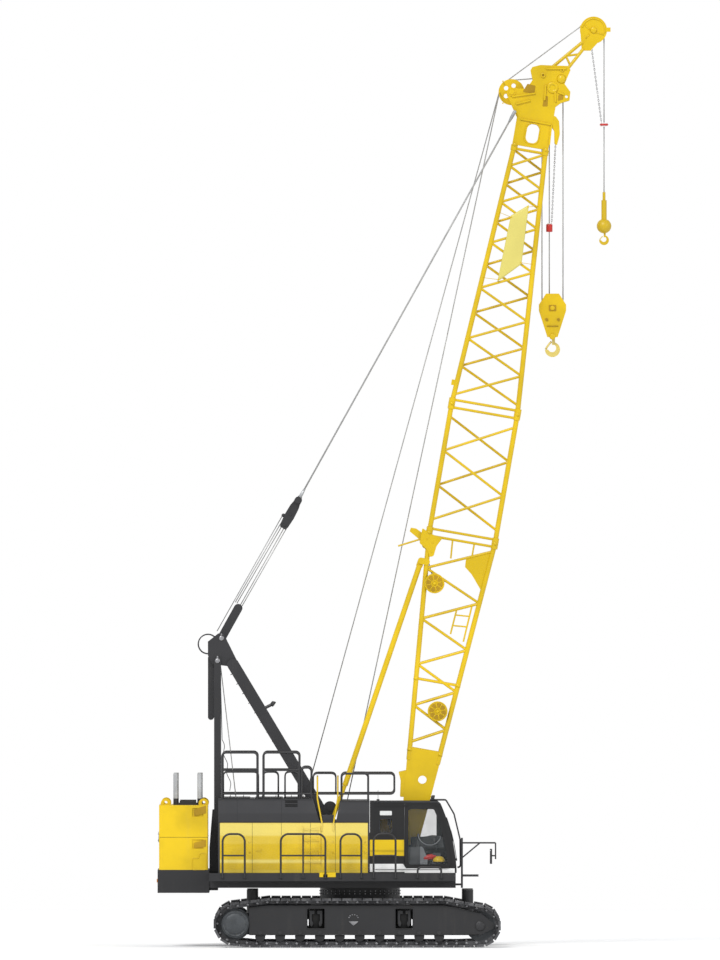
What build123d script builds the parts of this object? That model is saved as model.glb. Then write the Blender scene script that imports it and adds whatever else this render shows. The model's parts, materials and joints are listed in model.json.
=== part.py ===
"""Crawler crane: tracked undercarriage, slewing upper works and lattice boom.

Millimetres, +Z up, +X ahead, +Y to the machine's left. Heights are from the ground, x is measured
from the slewing axis, and boom stations run along the boom's axis from its foot pin.
"""

import os
from math import atan2, cos, degrees, hypot, radians, sin

from build123d import *

# Whole machine
SLEW_X = -565  # slewing axis, from the middle of the crane's length
SEAT = 0.3  # gap where one piece rests on another
RUNNING = 8  # gap beside a piece that moves

# Tracks
GAUGE = 4420
SHOE_WIDTH = 915
SHOE_THICK = 40
SHOE_COUNT = 60
SHOE_GAP = 26
LINK_THICK = 95
LINK_WIDTH = 300
DRIVE_X, DRIVE_Z, DRIVE_RADIUS = -2900, 545, 500
IDLER_X, IDLER_Z, IDLER_RADIUS = 2790, 500, 480
TRACK_TOP = 1142
TRACK_BEND = 250  # radius of the run's bends over the end rollers
TOP_REAR_X, TOP_FRONT_X = -2150, 1950
SOLE_REAR_X, SOLE_FRONT_X = -2450, 2300

# Side frames and carbody
SIDE_FRAME_WIDTH = 560
SIDE_PLATE = 40
FRAME_UNDER = 290
FRAME_NECK = 30  # between a side frame and the links above it
ROLLER_RADIUS = 118
ROLLERS = (-2318, -1856, -1394, -932, -470, -8, 454, 916, 1378, 1840)
HUB_RADIUS = 315
HUB_PROUD = 60
MOTOR_RADIUS = 210
IDLER_AXLE = 70
WINDOW_X, WINDOW_WIDTH = 1025, 400
WINDOW_LOW, WINDOW_HIGH = 443, 900
BEAM_GAP = 30
CARBODY_HALF = 1150
CARBODY_LOW, CARBODY_TOP = 480, 1100
JACK_X, JACK_Y, JACK_RADIUS = 2505, 1250, 130
JACK_LOW, JACK_TOP = 480, 1328
JACK_ARM_LOW, JACK_ARM_HIGH, JACK_ARM_WIDTH = 640, 900, 180

# Slewing ring and upper frame
RING_RADIUS = 932
RING_BORE = 760
RING_LOW, RING_SPLIT, FRAME_BOTTOM = 1100, 1270, 1375
DECK_TOP, DECK_THICK = 1538, 50
DECK_REAR, DECK_FRONT = -3507, 2225
DECK_HALF = 1600
BEAM_WIDTH = 60
GIRDER_IN, GIRDER_THICK = 560, 50
REAR_PLATE_LOW, REAR_PLATE_TOP = 1305, 3180
GIRDER_TOP = 2450
CROSS_BEAMS = (-3400, -2400, -1400, 1250, 2165)

# Winch drums
DRUM_Z, DRUM_RADIUS, DRUM_FLANGE = 2300, 330, 470
FRONT_DRUM_X, REAR_DRUM_X, LUFF_DRUM_X = -102, -1235, -2480
LUFF_DRUM_RADIUS, LUFF_DRUM_FLANGE = 260, 400
DRUM_SHAFT = 70
FLANGE_THICK = 30

# Boom
FOOT_X, FOOT_Z = 1072, 2004
BOOM_ANGLE = 80.12
FOOT_PIN, FOOT_LUG = 60, 180
FOOT_PLATE = 60
BOOM_HALF = 660  # chord centres from the middle plane
CHORD, LACING = 57, 30
FOOT_DEPTH, BOOM_DEPTH, HEAD_DEPTH = 147, 776, 367  # half depths, chord centres to the boom's axis
BASE_LENGTH, INSERT_LENGTH, TIP_LENGTH = 7620, 3048, 6190
SIDE_PLATE_END = 2620
ROOT_HOLE_U, ROOT_HOLE_V, ROOT_HOLE = 1908, 54, 100
CONNECTOR, CONNECTOR_LENGTH = 78, 130
THROAT = 15300  # above this station the front face is open for the hoist ropes
HEAD_HALF, HEAD_PLATE = 325, 50
HEAD_ROOT = 640  # length of the head's side plates below its joint with the casting

# Head, sheaves and jib; places are ahead of and above the top of the boom's axis
POINT_AHEAD, POINT_UP = 411, 757
HEAD_IDLER_AHEAD, HEAD_IDLER_UP, HEAD_IDLER_RADIUS = -544, 655, 303
PENDANT_AHEAD, PENDANT_UP = -474, 189
ROPE, ROPE_PITCH, ROPE_Y = 13, 245, 60
SHEAVE, SHEAVE_THICK, GROOVE = 270, 64, 40
SHEAVE_PIN = 60
AUX_AHEAD, AUX_UP, AUX_HOUSING = 1367, 2100, 315
JIB_HALF, JIB_PLATE = 75, 20
JIB_ROOTS = ((190, 1057), (756, 1187))  # pins of the auxiliary jib's legs, ahead and up
FLY_JIB_AHEAD, FLY_JIB_UP, FLY_JIB_BORE = 736, 547, 35  # bore for a longer jib's foot pin

# Hooks
BLOCK_DROP = 5135  # block's pin below the point sheaves
BLOCK_HALF, BLOCK_CHEEK, CHEEK_THICK = 317, 130, 30
AUX_DROP = 3775  # top of the ball hook's socket below the auxiliary sheave
BALL_RADIUS = 170

# Gantry and boom stay
GANTRY_X, GANTRY_Z = -3227, 7176
GANTRY_IN, GANTRY_THICK = 470, 82
GANTRY_REAR_X, GANTRY_REAR_FOOT_Z, REAR_LEG = -3318, 2950, 160
GANTRY_FRONT_FOOT_X, GANTRY_FRONT_FOOT_Z, FRONT_LEG = -757, 2889, 270
GANTRY_PIN = 45
STAY_Y = 430
STAY_ROD = 26
LOWER_BRIDLE_END, UPPER_BRIDLE_START, UPPER_BRIDLE_END = 897, 2995, 3764

# Backstops
BACKSTOP_Y, BACKSTOP_RADIUS, BACKSTOP_ROD = 672, 62, 45
BACKSTOP_TOP_X, BACKSTOP_TOP_Z = 1423, 8977
BACKSTOP_FOOT_X, BACKSTOP_FOOT_Z = -640, 2889
BACKSTOP_SLEEVE = 5520
BACKSTOP_EYE, BACKSTOP_EYE_RADIUS, EAR_THICK = 20, 74, 34
BACKSTOP_SHOE = 62  # radius of the bar across a backstop's foot

# Engine houses
HOUSE_REAR, HOUSE_FRONT = -3297, 221
CHANNEL_HALF, HOUSE_HALF = 800, 1650
WALL = 40
SILL, PANEL_TOP, ROOF_TOP = 1724, 2889, 3448
FRONT_ROOF_TOP = 3402
NOTCH_REAR, NOTCH_FRONT, NOTCH_FLOOR = -944, -548, 2936
NOTCH_SLANT = 160
NOTCH_BOX, NOTCH_BOX_HIGH = (-880, -612), 130
LOUVRE_X, LOUVRE_SLOTS, LOUVRE_HIGH = (-1736, -1456), (3275, 3355), 48
PANEL_SEAMS = (-2505, -1829, -1153, -571)
SEAM = 8
MULLION = 70
PANEL_BULGE = 14
HINGE_BARREL, HINGE_OUT = 10, 7  # radius, and how far its axis is outside the panels
HINGE_PLACES = ((2000, 2120), (2480, 2600))
HANDLE_LONG, HANDLE_SIZE = 140, 18

# Catwalks and rails
WALK_HALF, WALK_EDGE, WALK_PLATE = 2120, 40, 36
TUBE = 24
HOOP_LOW, HOOP_TOP, HOOP_MID, HOOP_BEND = 1608, 2633, 2132, 180
KERB_TOP = 1860  # top of the low hoop below the cab's door

# Counterweight
WEIGHT_REAR, WEIGHT_FRONT = -4707, -3507
WEIGHT_HALF = 1650
TRAY_LOW, TRAY_TOP = 1258, 1794
WEIGHT_SEAM, WEIGHT_TOP = 2551, 3297
WEIGHT_GAP = 40
WEIGHT_INSET = 35
LIFT_POSTS = (-4287, -3728)
LIFT_POST_RADIUS, LIFT_POST_TOP, LIFT_POST_Y = 58, 4031, 1100

# Cab
CAB_REAR, CAB_IN, CAB_OUT = 229, 795, 1650
CAB_FLOOR, CAB_ROOF = 1724, 3402
CAB_WALL = 40
CAB_NOSE = 2248
CAB_PILLAR_X = 1037
DOOR_SLIDE = 700


def side(y=0.0):
    """Plane of a side view at y: local x along the machine, local y up, normal to the right."""
    return Plane(origin=(SLEW_X, y, 0), x_dir=(1, 0, 0), z_dir=(0, -1, 0))


def deck(z):
    """Level plane at height z, centred on the slewing axis."""
    return Plane(origin=(SLEW_X, 0, z))


def block(x, y, z, mode=Mode.ADD):
    """Box between pairs of limits, added to the part being built."""
    with Locations((SLEW_X + (x[0] + x[1]) / 2, (y[0] + y[1]) / 2, (z[0] + z[1]) / 2)):
        Box(abs(x[1] - x[0]), abs(y[1] - y[0]), abs(z[1] - z[0]), mode=mode)


def slab(outline, y, mode=Mode.ADD):
    """Side-view outline extruded between a pair of y limits."""
    with BuildSketch(side(max(y))) as profile:
        with BuildLine():
            Polyline(*outline, close=True)
        make_face()
    extrude(profile.sketch, amount=abs(y[1] - y[0]), mode=mode)


def disc(x, z, radius, y, mode=Mode.ADD):
    """Round bar across the machine between a pair of y limits."""
    with BuildSketch(side(max(y))) as profile:
        with Locations((x, z)):
            Circle(radius)
    extrude(profile.sketch, amount=abs(y[1] - y[0]), mode=mode)


def both(y_in, y_out):
    """The same pair of y limits on the right and on the left."""
    return ((-y_out, -y_in), (y_in, y_out))


def rod(start, end, radius):
    """Round bar between two points."""
    axis = Vector(*end) - Vector(*start)
    return Solid.make_cylinder(radius, axis.length, Plane(origin=Vector(*start), z_dir=axis))


def at(x, y, z):
    """A point given from the slewing axis, in the crane's own frame."""
    return (SLEW_X + x, y, z)


BOOM_COS, BOOM_SIN = cos(radians(BOOM_ANGLE)), sin(radians(BOOM_ANGLE))
BASE_END = BASE_LENGTH
INSERT_END = BASE_END + INSERT_LENGTH
TIP_END = INSERT_END + TIP_LENGTH
HEAD_END = TIP_END + HEAD_ROOT


def boom_xz(u, v):
    """Side-view point at station u along the boom, v ahead of its axis."""
    return (FOOT_X + u * BOOM_COS + v * BOOM_SIN, FOOT_Z + u * BOOM_SIN - v * BOOM_COS)


def boom_point(u, v, y):
    """Point at station u along the boom, v ahead of its axis and y to the left."""
    x, z = boom_xz(u, v)
    return at(x, y, z)


def head_xz(ahead, up):
    """Side-view point given from the top of the boom's axis."""
    x, z = boom_xz(HEAD_END, 0)
    return (x + ahead, z + up)


POINT_X, POINT_Z = head_xz(POINT_AHEAD, POINT_UP)
HEAD_IDLER_X, HEAD_IDLER_Z = head_xz(HEAD_IDLER_AHEAD, HEAD_IDLER_UP)
PENDANT_X, PENDANT_Z = head_xz(PENDANT_AHEAD, PENDANT_UP)
AUX_X, AUX_Z = head_xz(AUX_AHEAD, AUX_UP)
FLY_JIB_X, FLY_JIB_Z = head_xz(FLY_JIB_AHEAD, FLY_JIB_UP)


def hoop(x_from, x_to, y, low, top, bend, radius):
    """Upturned U of round tube in a side view plane, added to the part being built."""
    with BuildLine(side(y)) as path:
        FilletPolyline((x_from, low), (x_from, top), (x_to, top), (x_to, low), radius=bend)
    with BuildSketch(Plane(origin=path.line @ 0, z_dir=path.line % 0)) as section:
        Circle(radius)
    sweep(section.sketch, path.line)


def finish(part, name):
    """Label a sub-part and write its file."""
    part.label = name
    export_step(part, f"parts/{name}.step")


def finish_pair(part, name):
    """Write a right-hand piece and its mirror image on the left."""
    finish(part, f"{name}_right")
    finish(mirror(part, about=Plane.XZ, mode=Mode.PRIVATE), f"{name}_left")


def finish_both(builder, name):
    """Mirror a right-hand piece to the left within one sub-part, and write it."""
    with builder:
        mirror(about=Plane.XZ)
    finish(builder.part, name)


os.makedirs("parts", exist_ok=True)

# ---------------------------------------------------------------- undercarriage
TRACK_Y = GAUGE / 2
INNER_RUN = SHOE_THICK + LINK_THICK


def track_run(inset):
    """Sketch of the track's loop, inset from the outer faces of the shoes."""
    circles = (
        (DRIVE_X, DRIVE_Z, DRIVE_RADIUS),
        (IDLER_X, IDLER_Z, IDLER_RADIUS),
        (TOP_REAR_X, TRACK_TOP - TRACK_BEND, TRACK_BEND),
        (TOP_FRONT_X, TRACK_TOP - TRACK_BEND, TRACK_BEND),
        (SOLE_REAR_X, TRACK_BEND, TRACK_BEND),
        (SOLE_FRONT_X, TRACK_BEND, TRACK_BEND),
    )
    with BuildSketch() as run:
        with BuildLine():
            for x, z, radius in circles:
                CenterArc((x, z), radius - inset, 0, 360)
        make_hull()
    return run.sketch


link_line = track_run(SHOE_THICK)
link_inside = track_run(INNER_RUN)
shoe_line = link_line.face().outer_wire()
shoe_pitch = shoe_line.length / SHOE_COUNT
shoe_places = []
for index in range(SHOE_COUNT):
    place = shoe_line.position_at((index + 0.5) / SHOE_COUNT)
    heading = shoe_line.tangent_at((index + 0.5) / SHOE_COUNT)
    shoe_places.append(Location((place.X, place.Y, 0), (0, 0, degrees(atan2(heading.Y, heading.X)))))
SHOE_BITE = 16  # how far a shoe is let into its links

with BuildPart() as track:
    with BuildSketch(side(-TRACK_Y)):
        add(link_line)
        add(link_inside, mode=Mode.SUBTRACT)
    extrude(amount=LINK_WIDTH / 2, both=True)
    with BuildSketch(side(-TRACK_Y)):
        with Locations(*shoe_places):
            with Locations((0, (SHOE_BITE - SHOE_THICK) / 2)):
                Rectangle(shoe_pitch - SHOE_GAP, SHOE_THICK + SHOE_BITE)
    extrude(amount=SHOE_WIDTH / 2, both=True)
finish_pair(track.part, "track")

# Side frame: two plates with the rollers, top and sole plates between them
PLATE_OUT = TRACK_Y + SIDE_FRAME_WIDTH / 2
PLATE_IN = TRACK_Y - SIDE_FRAME_WIDTH / 2
FRAME_REAR = DRIVE_X + HUB_RADIUS + RUNNING
frame_top = TRACK_TOP - INNER_RUN - FRAME_NECK
frame_nose_top = IDLER_Z + IDLER_RADIUS - INNER_RUN - FRAME_NECK
frame_side = (
    (FRAME_REAR, FRAME_UNDER),
    (FRAME_REAR, frame_top - 60),
    (TOP_REAR_X, frame_top),
    (TOP_FRONT_X, frame_top),
    (IDLER_X, frame_nose_top),
    (IDLER_X + IDLER_RADIUS - INNER_RUN - FRAME_NECK, IDLER_Z + 60),
    (IDLER_X + IDLER_RADIUS - INNER_RUN - FRAME_NECK, IDLER_Z - 60),
    (IDLER_X, FRAME_UNDER),
)
with BuildPart() as side_frame:
    for y in ((-PLATE_OUT, -PLATE_OUT + SIDE_PLATE), (-PLATE_IN - SIDE_PLATE, -PLATE_IN)):
        slab(frame_side, y)
    # the inner plate runs on behind the drive wheel to carry its motor
    block(
        (DRIVE_X - HUB_RADIUS / 2, FRAME_REAR),
        (-PLATE_IN - SIDE_PLATE, -PLATE_IN),
        (DRIVE_Z - MOTOR_RADIUS - SIDE_PLATE, DRIVE_Z + MOTOR_RADIUS + SIDE_PLATE),
    )
    for z in (WINDOW_LOW - SIDE_PLATE, WINDOW_HIGH):
        block((TOP_REAR_X, TOP_FRONT_X), (-PLATE_OUT, -PLATE_IN), (z, z + SIDE_PLATE))
    for x in ROLLERS:
        roller_y = (-PLATE_OUT + SIDE_PLATE, -PLATE_IN - SIDE_PLATE)
        disc(x, INNER_RUN + SEAT + ROLLER_RADIUS, ROLLER_RADIUS, roller_y)
    for x in (-WINDOW_X, WINDOW_X):
        block(
            (x - WINDOW_WIDTH / 2, x + WINDOW_WIDTH / 2),
            (-PLATE_OUT, -PLATE_IN),
            (WINDOW_LOW, WINDOW_HIGH),
            mode=Mode.SUBTRACT,
        )
    disc(DRIVE_X, DRIVE_Z, MOTOR_RADIUS + SEAT, (-PLATE_IN - SIDE_PLATE, -PLATE_IN), mode=Mode.SUBTRACT)
    disc(IDLER_X, IDLER_Z, IDLER_AXLE + SEAT, (-PLATE_OUT, -PLATE_IN), mode=Mode.SUBTRACT)
finish_pair(side_frame.part, "side_frame")

with BuildPart() as track_wheels:
    wheel_y = (-TRACK_Y - LINK_WIDTH / 2, -TRACK_Y + LINK_WIDTH / 2)
    disc(DRIVE_X, DRIVE_Z, DRIVE_RADIUS - INNER_RUN - SEAT, wheel_y)
    disc(DRIVE_X, DRIVE_Z, HUB_RADIUS, (-PLATE_OUT - HUB_PROUD, -TRACK_Y))
    disc(DRIVE_X, DRIVE_Z, MOTOR_RADIUS, (-TRACK_Y, -PLATE_IN + HUB_PROUD))
    disc(IDLER_X, IDLER_Z, IDLER_RADIUS - INNER_RUN - SEAT, wheel_y)
    disc(IDLER_X, IDLER_Z, IDLER_AXLE, (-PLATE_OUT, -PLATE_IN))
finish_pair(track_wheels.part, "track_wheels")

with BuildPart() as carbody:
    block((-CARBODY_HALF, CARBODY_HALF), (-CARBODY_HALF, CARBODY_HALF), (CARBODY_LOW, CARBODY_TOP - 120))
    chamfer(carbody.edges().filter_by(Axis.Z), length=CARBODY_HALF / 3)
    with BuildSketch(deck(CARBODY_LOW)):
        Circle(RING_RADIUS)
    extrude(amount=RING_LOW - CARBODY_LOW)
    with BuildSketch(deck(RING_LOW)):
        Circle(RING_RADIUS)
        Circle(RING_BORE, mode=Mode.SUBTRACT)
    extrude(amount=RING_SPLIT - RING_LOW)
    for x in (-WINDOW_X, WINDOW_X):
        block(
            (x - WINDOW_WIDTH / 2 + BEAM_GAP, x + WINDOW_WIDTH / 2 - BEAM_GAP),
            (-PLATE_IN - SIDE_FRAME_WIDTH * 0.7, PLATE_IN + SIDE_FRAME_WIDTH * 0.7),
            (WINDOW_LOW + SEAT, WINDOW_HIGH - BEAM_GAP),
        )
    for x in (-1, 1):
        for y in (-1, 1):
            block(
                (x * (CARBODY_HALF - 250), x * JACK_X),
                (y * (JACK_Y - JACK_ARM_WIDTH / 2), y * (JACK_Y + JACK_ARM_WIDTH / 2)),
                (JACK_ARM_LOW, JACK_ARM_HIGH),
            )
            block(
                (x * (CARBODY_HALF - 250), x * (CARBODY_HALF - 70)),
                (y * (CARBODY_HALF - 500), y * (JACK_Y + JACK_ARM_WIDTH / 2)),
                (JACK_ARM_LOW, JACK_ARM_HIGH),
            )
    for x in (-JACK_X, JACK_X):
        for y in (-JACK_Y, JACK_Y):
            with BuildSketch(deck(JACK_LOW)) as jack_round:
                with Locations((x, y)):
                    Circle(JACK_RADIUS)
            extrude(jack_round.sketch, amount=JACK_TOP - JACK_LOW)
finish(carbody.part, "carbody")

# ---------------------------------------------------------------- upper frame
GIRDER_OUT = GIRDER_IN + GIRDER_THICK
FOOT_IN = BOOM_HALF - FOOT_PLATE / 2 + 10
FOOT_OUT = FOOT_IN + FOOT_PLATE
LUG_THICK = 40
girder_side = (
    (DECK_REAR, REAR_PLATE_LOW),
    (DECK_REAR, GIRDER_TOP - 150),
    (DECK_REAR + 70, REAR_PLATE_TOP),
    (GANTRY_REAR_X + REAR_LEG / 2 + 8, REAR_PLATE_TOP),
    (GANTRY_REAR_X + REAR_LEG, GIRDER_TOP),
    (GANTRY_FRONT_FOOT_X - 420, GIRDER_TOP),
    (GANTRY_FRONT_FOOT_X - 150, GANTRY_FRONT_FOOT_Z + 140),
    (GANTRY_FRONT_FOOT_X + 130, GANTRY_FRONT_FOOT_Z + 140),
    (GANTRY_FRONT_FOOT_X + 400, GIRDER_TOP),
    (FRONT_DRUM_X + 300, GIRDER_TOP),
    (FOOT_X - 3 * FOOT_LUG, FOOT_Z),
    (FOOT_X, FOOT_Z + FOOT_LUG),
    (FOOT_X + 2 * FOOT_LUG, FRAME_BOTTOM + 200),
    (DECK_FRONT, DECK_TOP),
    (DECK_FRONT, FRAME_BOTTOM),
    (DECK_REAR + 200, FRAME_BOTTOM),
    (DECK_REAR + 200, REAR_PLATE_LOW),
)
with BuildPart() as upper_frame:
    block((DECK_REAR, DECK_FRONT), (-DECK_HALF, DECK_HALF), (DECK_TOP - DECK_THICK, DECK_TOP))
    for y in both(DECK_HALF - BEAM_WIDTH, DECK_HALF):
        block((DECK_REAR, DECK_FRONT), y, (FRAME_BOTTOM, DECK_TOP - DECK_THICK))
    for x in CROSS_BEAMS:
        beam_x = (x - BEAM_WIDTH / 2, x + BEAM_WIDTH / 2)
        block(beam_x, (-DECK_HALF, DECK_HALF), (FRAME_BOTTOM, DECK_TOP - DECK_THICK))
    with BuildSketch(deck(RING_SPLIT + SEAT)):
        Circle(RING_RADIUS)
        Circle(RING_BORE, mode=Mode.SUBTRACT)
    extrude(amount=DECK_TOP - DECK_THICK - RING_SPLIT - SEAT)
    # sills that carry the cab
    for y in ((-DECK_HALF, -DECK_HALF + BEAM_WIDTH), (-CAB_IN - BEAM_WIDTH, -CAB_IN)):
        block((CAB_REAR, DECK_FRONT), y, (DECK_TOP, CAB_FLOOR))
    for x in (CAB_REAR, DECK_FRONT - BEAM_WIDTH):
        block((x, x + BEAM_WIDTH), (-DECK_HALF, -CAB_IN), (DECK_TOP, CAB_FLOOR))
    for y in both(GIRDER_IN, GIRDER_OUT):
        slab(girder_side, y)
        disc(FOOT_X, FOOT_Z, FOOT_LUG, y)
    for y in both(FOOT_OUT + RUNNING, FOOT_OUT + RUNNING + LUG_THICK):
        disc(FOOT_X, FOOT_Z, FOOT_LUG, y)
        block((FOOT_X - FOOT_LUG, FOOT_X + FOOT_LUG), y, (DECK_TOP, FOOT_Z))
    # pins of the boom foot, the gantry's feet and the drums' bearings
    for y in both(GIRDER_IN, FOOT_OUT + RUNNING + LUG_THICK + 15):
        disc(FOOT_X, FOOT_Z, FOOT_PIN - SEAT, y)
    for y in both(GANTRY_IN, GIRDER_OUT):
        disc(GANTRY_FRONT_FOOT_X, GANTRY_FRONT_FOOT_Z, GANTRY_PIN, y)
        disc(GANTRY_REAR_X, GANTRY_REAR_FOOT_Z, GANTRY_PIN, y)
    for y in both(GIRDER_OUT, BACKSTOP_Y + BACKSTOP_RADIUS):
        block(
            (BACKSTOP_FOOT_X - 110, BACKSTOP_FOOT_X + 90),
            y,
            (BACKSTOP_FOOT_Z - 130, BACKSTOP_FOOT_Z - RUNNING),
        )
    for x in (FRONT_DRUM_X, REAR_DRUM_X, LUFF_DRUM_X):
        disc(x, DRUM_Z, DRUM_SHAFT + SEAT, (-GIRDER_OUT, GIRDER_OUT), mode=Mode.SUBTRACT)
finish(upper_frame.part, "upper_frame")

# Drums on their shafts, between the girders
drums = (
    ("hoist_drum_front", FRONT_DRUM_X, DRUM_RADIUS, DRUM_FLANGE),
    ("hoist_drum_rear", REAR_DRUM_X, DRUM_RADIUS, DRUM_FLANGE),
    ("luffing_drum", LUFF_DRUM_X, LUFF_DRUM_RADIUS, LUFF_DRUM_FLANGE),
)
DRUM_HALF = GIRDER_IN - 40
for name, x, radius, flange in drums:
    with BuildPart() as drum:
        disc(x, DRUM_Z, radius, (-DRUM_HALF, DRUM_HALF))
        for y in both(DRUM_HALF - FLANGE_THICK, DRUM_HALF):
            disc(x, DRUM_Z, flange, y)
        disc(x, DRUM_Z, DRUM_SHAFT, (-GIRDER_OUT, GIRDER_OUT))
    finish(drum.part, name)

# ---------------------------------------------------------------- engine houses
NOTCH_REAR_TOP = NOTCH_REAR - NOTCH_SLANT
NOTCH_FRONT_TOP = NOTCH_FRONT + NOTCH_SLANT / 2
house_side = (
    (HOUSE_REAR, DECK_TOP),
    (HOUSE_REAR, ROOF_TOP),
    (NOTCH_REAR_TOP, ROOF_TOP),
    (NOTCH_REAR, NOTCH_FLOOR),
    (NOTCH_FRONT, NOTCH_FLOOR),
    (NOTCH_FRONT_TOP, FRONT_ROOF_TOP),
    (HOUSE_FRONT, FRONT_ROOF_TOP),
    (HOUSE_FRONT, DECK_TOP),
)
seam_limits = (HOUSE_REAR + WALL, *PANEL_SEAMS, HOUSE_FRONT - WALL)
DOOR_BAY = 1  # second bay from the rear
with BuildPart() as house_shell:
    slab(house_side, (-HOUSE_HALF, -CHANNEL_HALF))
    inside_y = (-HOUSE_HALF + WALL, -CHANNEL_HALF - WALL)
    inside_x = (HOUSE_REAR + WALL, HOUSE_FRONT - WALL)
    block(inside_x, inside_y, (DECK_TOP, NOTCH_FLOOR - WALL), mode=Mode.SUBTRACT)
    lofts = (
        (inside_x[0], NOTCH_REAR_TOP - WALL, ROOF_TOP),
        (NOTCH_FRONT_TOP + WALL, inside_x[1], FRONT_ROOF_TOP),
    )
    for x_from, x_to, top in lofts:
        block((x_from, x_to), inside_y, (NOTCH_FLOOR - WALL, top - WALL), mode=Mode.SUBTRACT)
    block(inside_x, (-HOUSE_HALF, -HOUSE_HALF + WALL), (SILL, PANEL_TOP), mode=Mode.SUBTRACT)
    for x in PANEL_SEAMS:
        block(
            (x - MULLION / 2, x + MULLION / 2),
            (-HOUSE_HALF + WALL, -HOUSE_HALF + 2 * WALL),
            (DECK_TOP, NOTCH_FLOOR - WALL),
        )
    block(NOTCH_BOX, (-HOUSE_HALF + WALL, -CHANNEL_HALF), (NOTCH_FLOOR, NOTCH_FLOOR + NOTCH_BOX_HIGH))
    for z in LOUVRE_SLOTS:
        block(LOUVRE_X, (-HOUSE_HALF, -HOUSE_HALF + WALL / 2), (z, z + LOUVRE_HIGH), mode=Mode.SUBTRACT)
finish_pair(house_shell.part, "house_shell")


def panel(bay):
    """Body panel of one bay, creased outwards between two level lines, in the part being built."""
    x_from = seam_limits[bay] + (SEAT if bay == 0 else SEAM / 2)
    x_to = seam_limits[bay + 1] - (SEAT if bay == len(seam_limits) - 2 else SEAM / 2)
    z_from, z_to = SILL + SEAT, PANEL_TOP - SEAT
    crease = (z_to - z_from) / 5
    out = HOUSE_HALF + PANEL_BULGE
    with BuildSketch(Plane(origin=(SLEW_X + x_from, 0, 0), x_dir=(0, 1, 0), z_dir=(1, 0, 0))) as profile:
        with BuildLine():
            Polyline(
                (-HOUSE_HALF + WALL - SEAT, z_from),
                (-HOUSE_HALF, z_from),
                (-out, z_from + crease),
                (-out, z_to - crease),
                (-HOUSE_HALF, z_to),
                (-HOUSE_HALF + WALL - SEAT, z_to),
                close=True,
            )
        make_face()
    extrude(profile.sketch, amount=x_to - x_from)


GRAB_TUBE = 18
GRAB_POSTS = (  # foot x, top x
    (-884, -992),
    (-614, -516),
)
GRAB_FOOT, GRAB_KNEE, GRAB_TOP = 2700, 3450, 3961
STEP_RAILS = (-1340, -930)
STEP_LOW, STEP_TOP = 1960, 2820
STEP_RUNGS = (2000, 2240, 2510, 2760)
STEP_PROUD, STEP_TUBE = 60, 11
panel_face = -HOUSE_HALF - PANEL_BULGE
with BuildPart() as house_panels:
    for bay in range(len(seam_limits) - 1):
        if bay != DOOR_BAY:
            panel(bay)
    bars = []
    grab_y = panel_face - GRAB_TUBE / 2
    for foot_x, top_x in GRAB_POSTS:
        bars.append(rod(at(foot_x, grab_y, GRAB_FOOT), at(foot_x, grab_y, PANEL_TOP), GRAB_TUBE))
        bars.append(rod(at(foot_x, grab_y, PANEL_TOP), at(top_x, grab_y, GRAB_KNEE), GRAB_TUBE))
        bars.append(rod(at(top_x, grab_y, GRAB_KNEE), at(top_x, grab_y, GRAB_TOP), GRAB_TUBE))
    step_y = panel_face - STEP_PROUD
    for x in STEP_RAILS:
        bars.append(rod(at(x, step_y, STEP_LOW), at(x, step_y, STEP_TOP), STEP_TUBE))
        for z in (STEP_LOW + 2 * STEP_TUBE, STEP_TOP - 2 * STEP_TUBE):
            bars.append(rod(at(x, step_y, z), at(x, panel_face + PANEL_BULGE, z), STEP_TUBE * 0.8))
    for z in STEP_RUNGS:
        bars.append(rod(at(STEP_RAILS[0], step_y, z), at(STEP_RAILS[1], step_y, z), STEP_TUBE * 0.9))
    add(bars)
finish_both(house_panels, "house_panels")

with BuildPart() as house_door:
    panel(DOOR_BAY)
    handle_x = (seam_limits[DOOR_BAY] + HANDLE_LONG / 2, seam_limits[DOOR_BAY] + HANDLE_LONG * 1.5)
    handle_z = (2240, 2240 + 3 * HANDLE_SIZE)
    block(handle_x, (panel_face - HANDLE_SIZE, -HOUSE_HALF), handle_z)
    hinge_x, hinge_y = seam_limits[DOOR_BAY + 1] - SEAM / 2, panel_face - HINGE_OUT
    for z_from, z_to in HINGE_PLACES:
        add(rod(at(hinge_x, hinge_y, z_from), at(hinge_x, hinge_y, z_to), HINGE_BARREL))
finish_pair(house_door.part, "house_door")

with BuildPart() as engine:
    block((-2900, -1500), (CHANNEL_HALF + WALL + 60, HOUSE_HALF - 3 * WALL), (DECK_TOP, 2700))
finish(engine.part, "engine")

# ---------------------------------------------------------------- catwalks and rails
BAND_LOW = DECK_TOP
with BuildPart() as catwalk:
    walk_top = SILL - RUNNING
    block((DECK_REAR, DECK_FRONT), (-WALK_HALF, -HOUSE_HALF - SEAT), (walk_top - WALK_PLATE, walk_top))
    block((DECK_REAR, DECK_FRONT), (-WALK_HALF, -WALK_HALF + WALK_EDGE), (BAND_LOW, SILL))
    for x in CROSS_BEAMS:
        slab_y = (-WALK_HALF + WALK_EDGE, -HOUSE_HALF - SEAT)
        block((x - BEAM_WIDTH / 2, x + BEAM_WIDTH / 2), slab_y, (BAND_LOW, walk_top - WALK_PLATE))
finish_both(catwalk, "catwalks")

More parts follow.
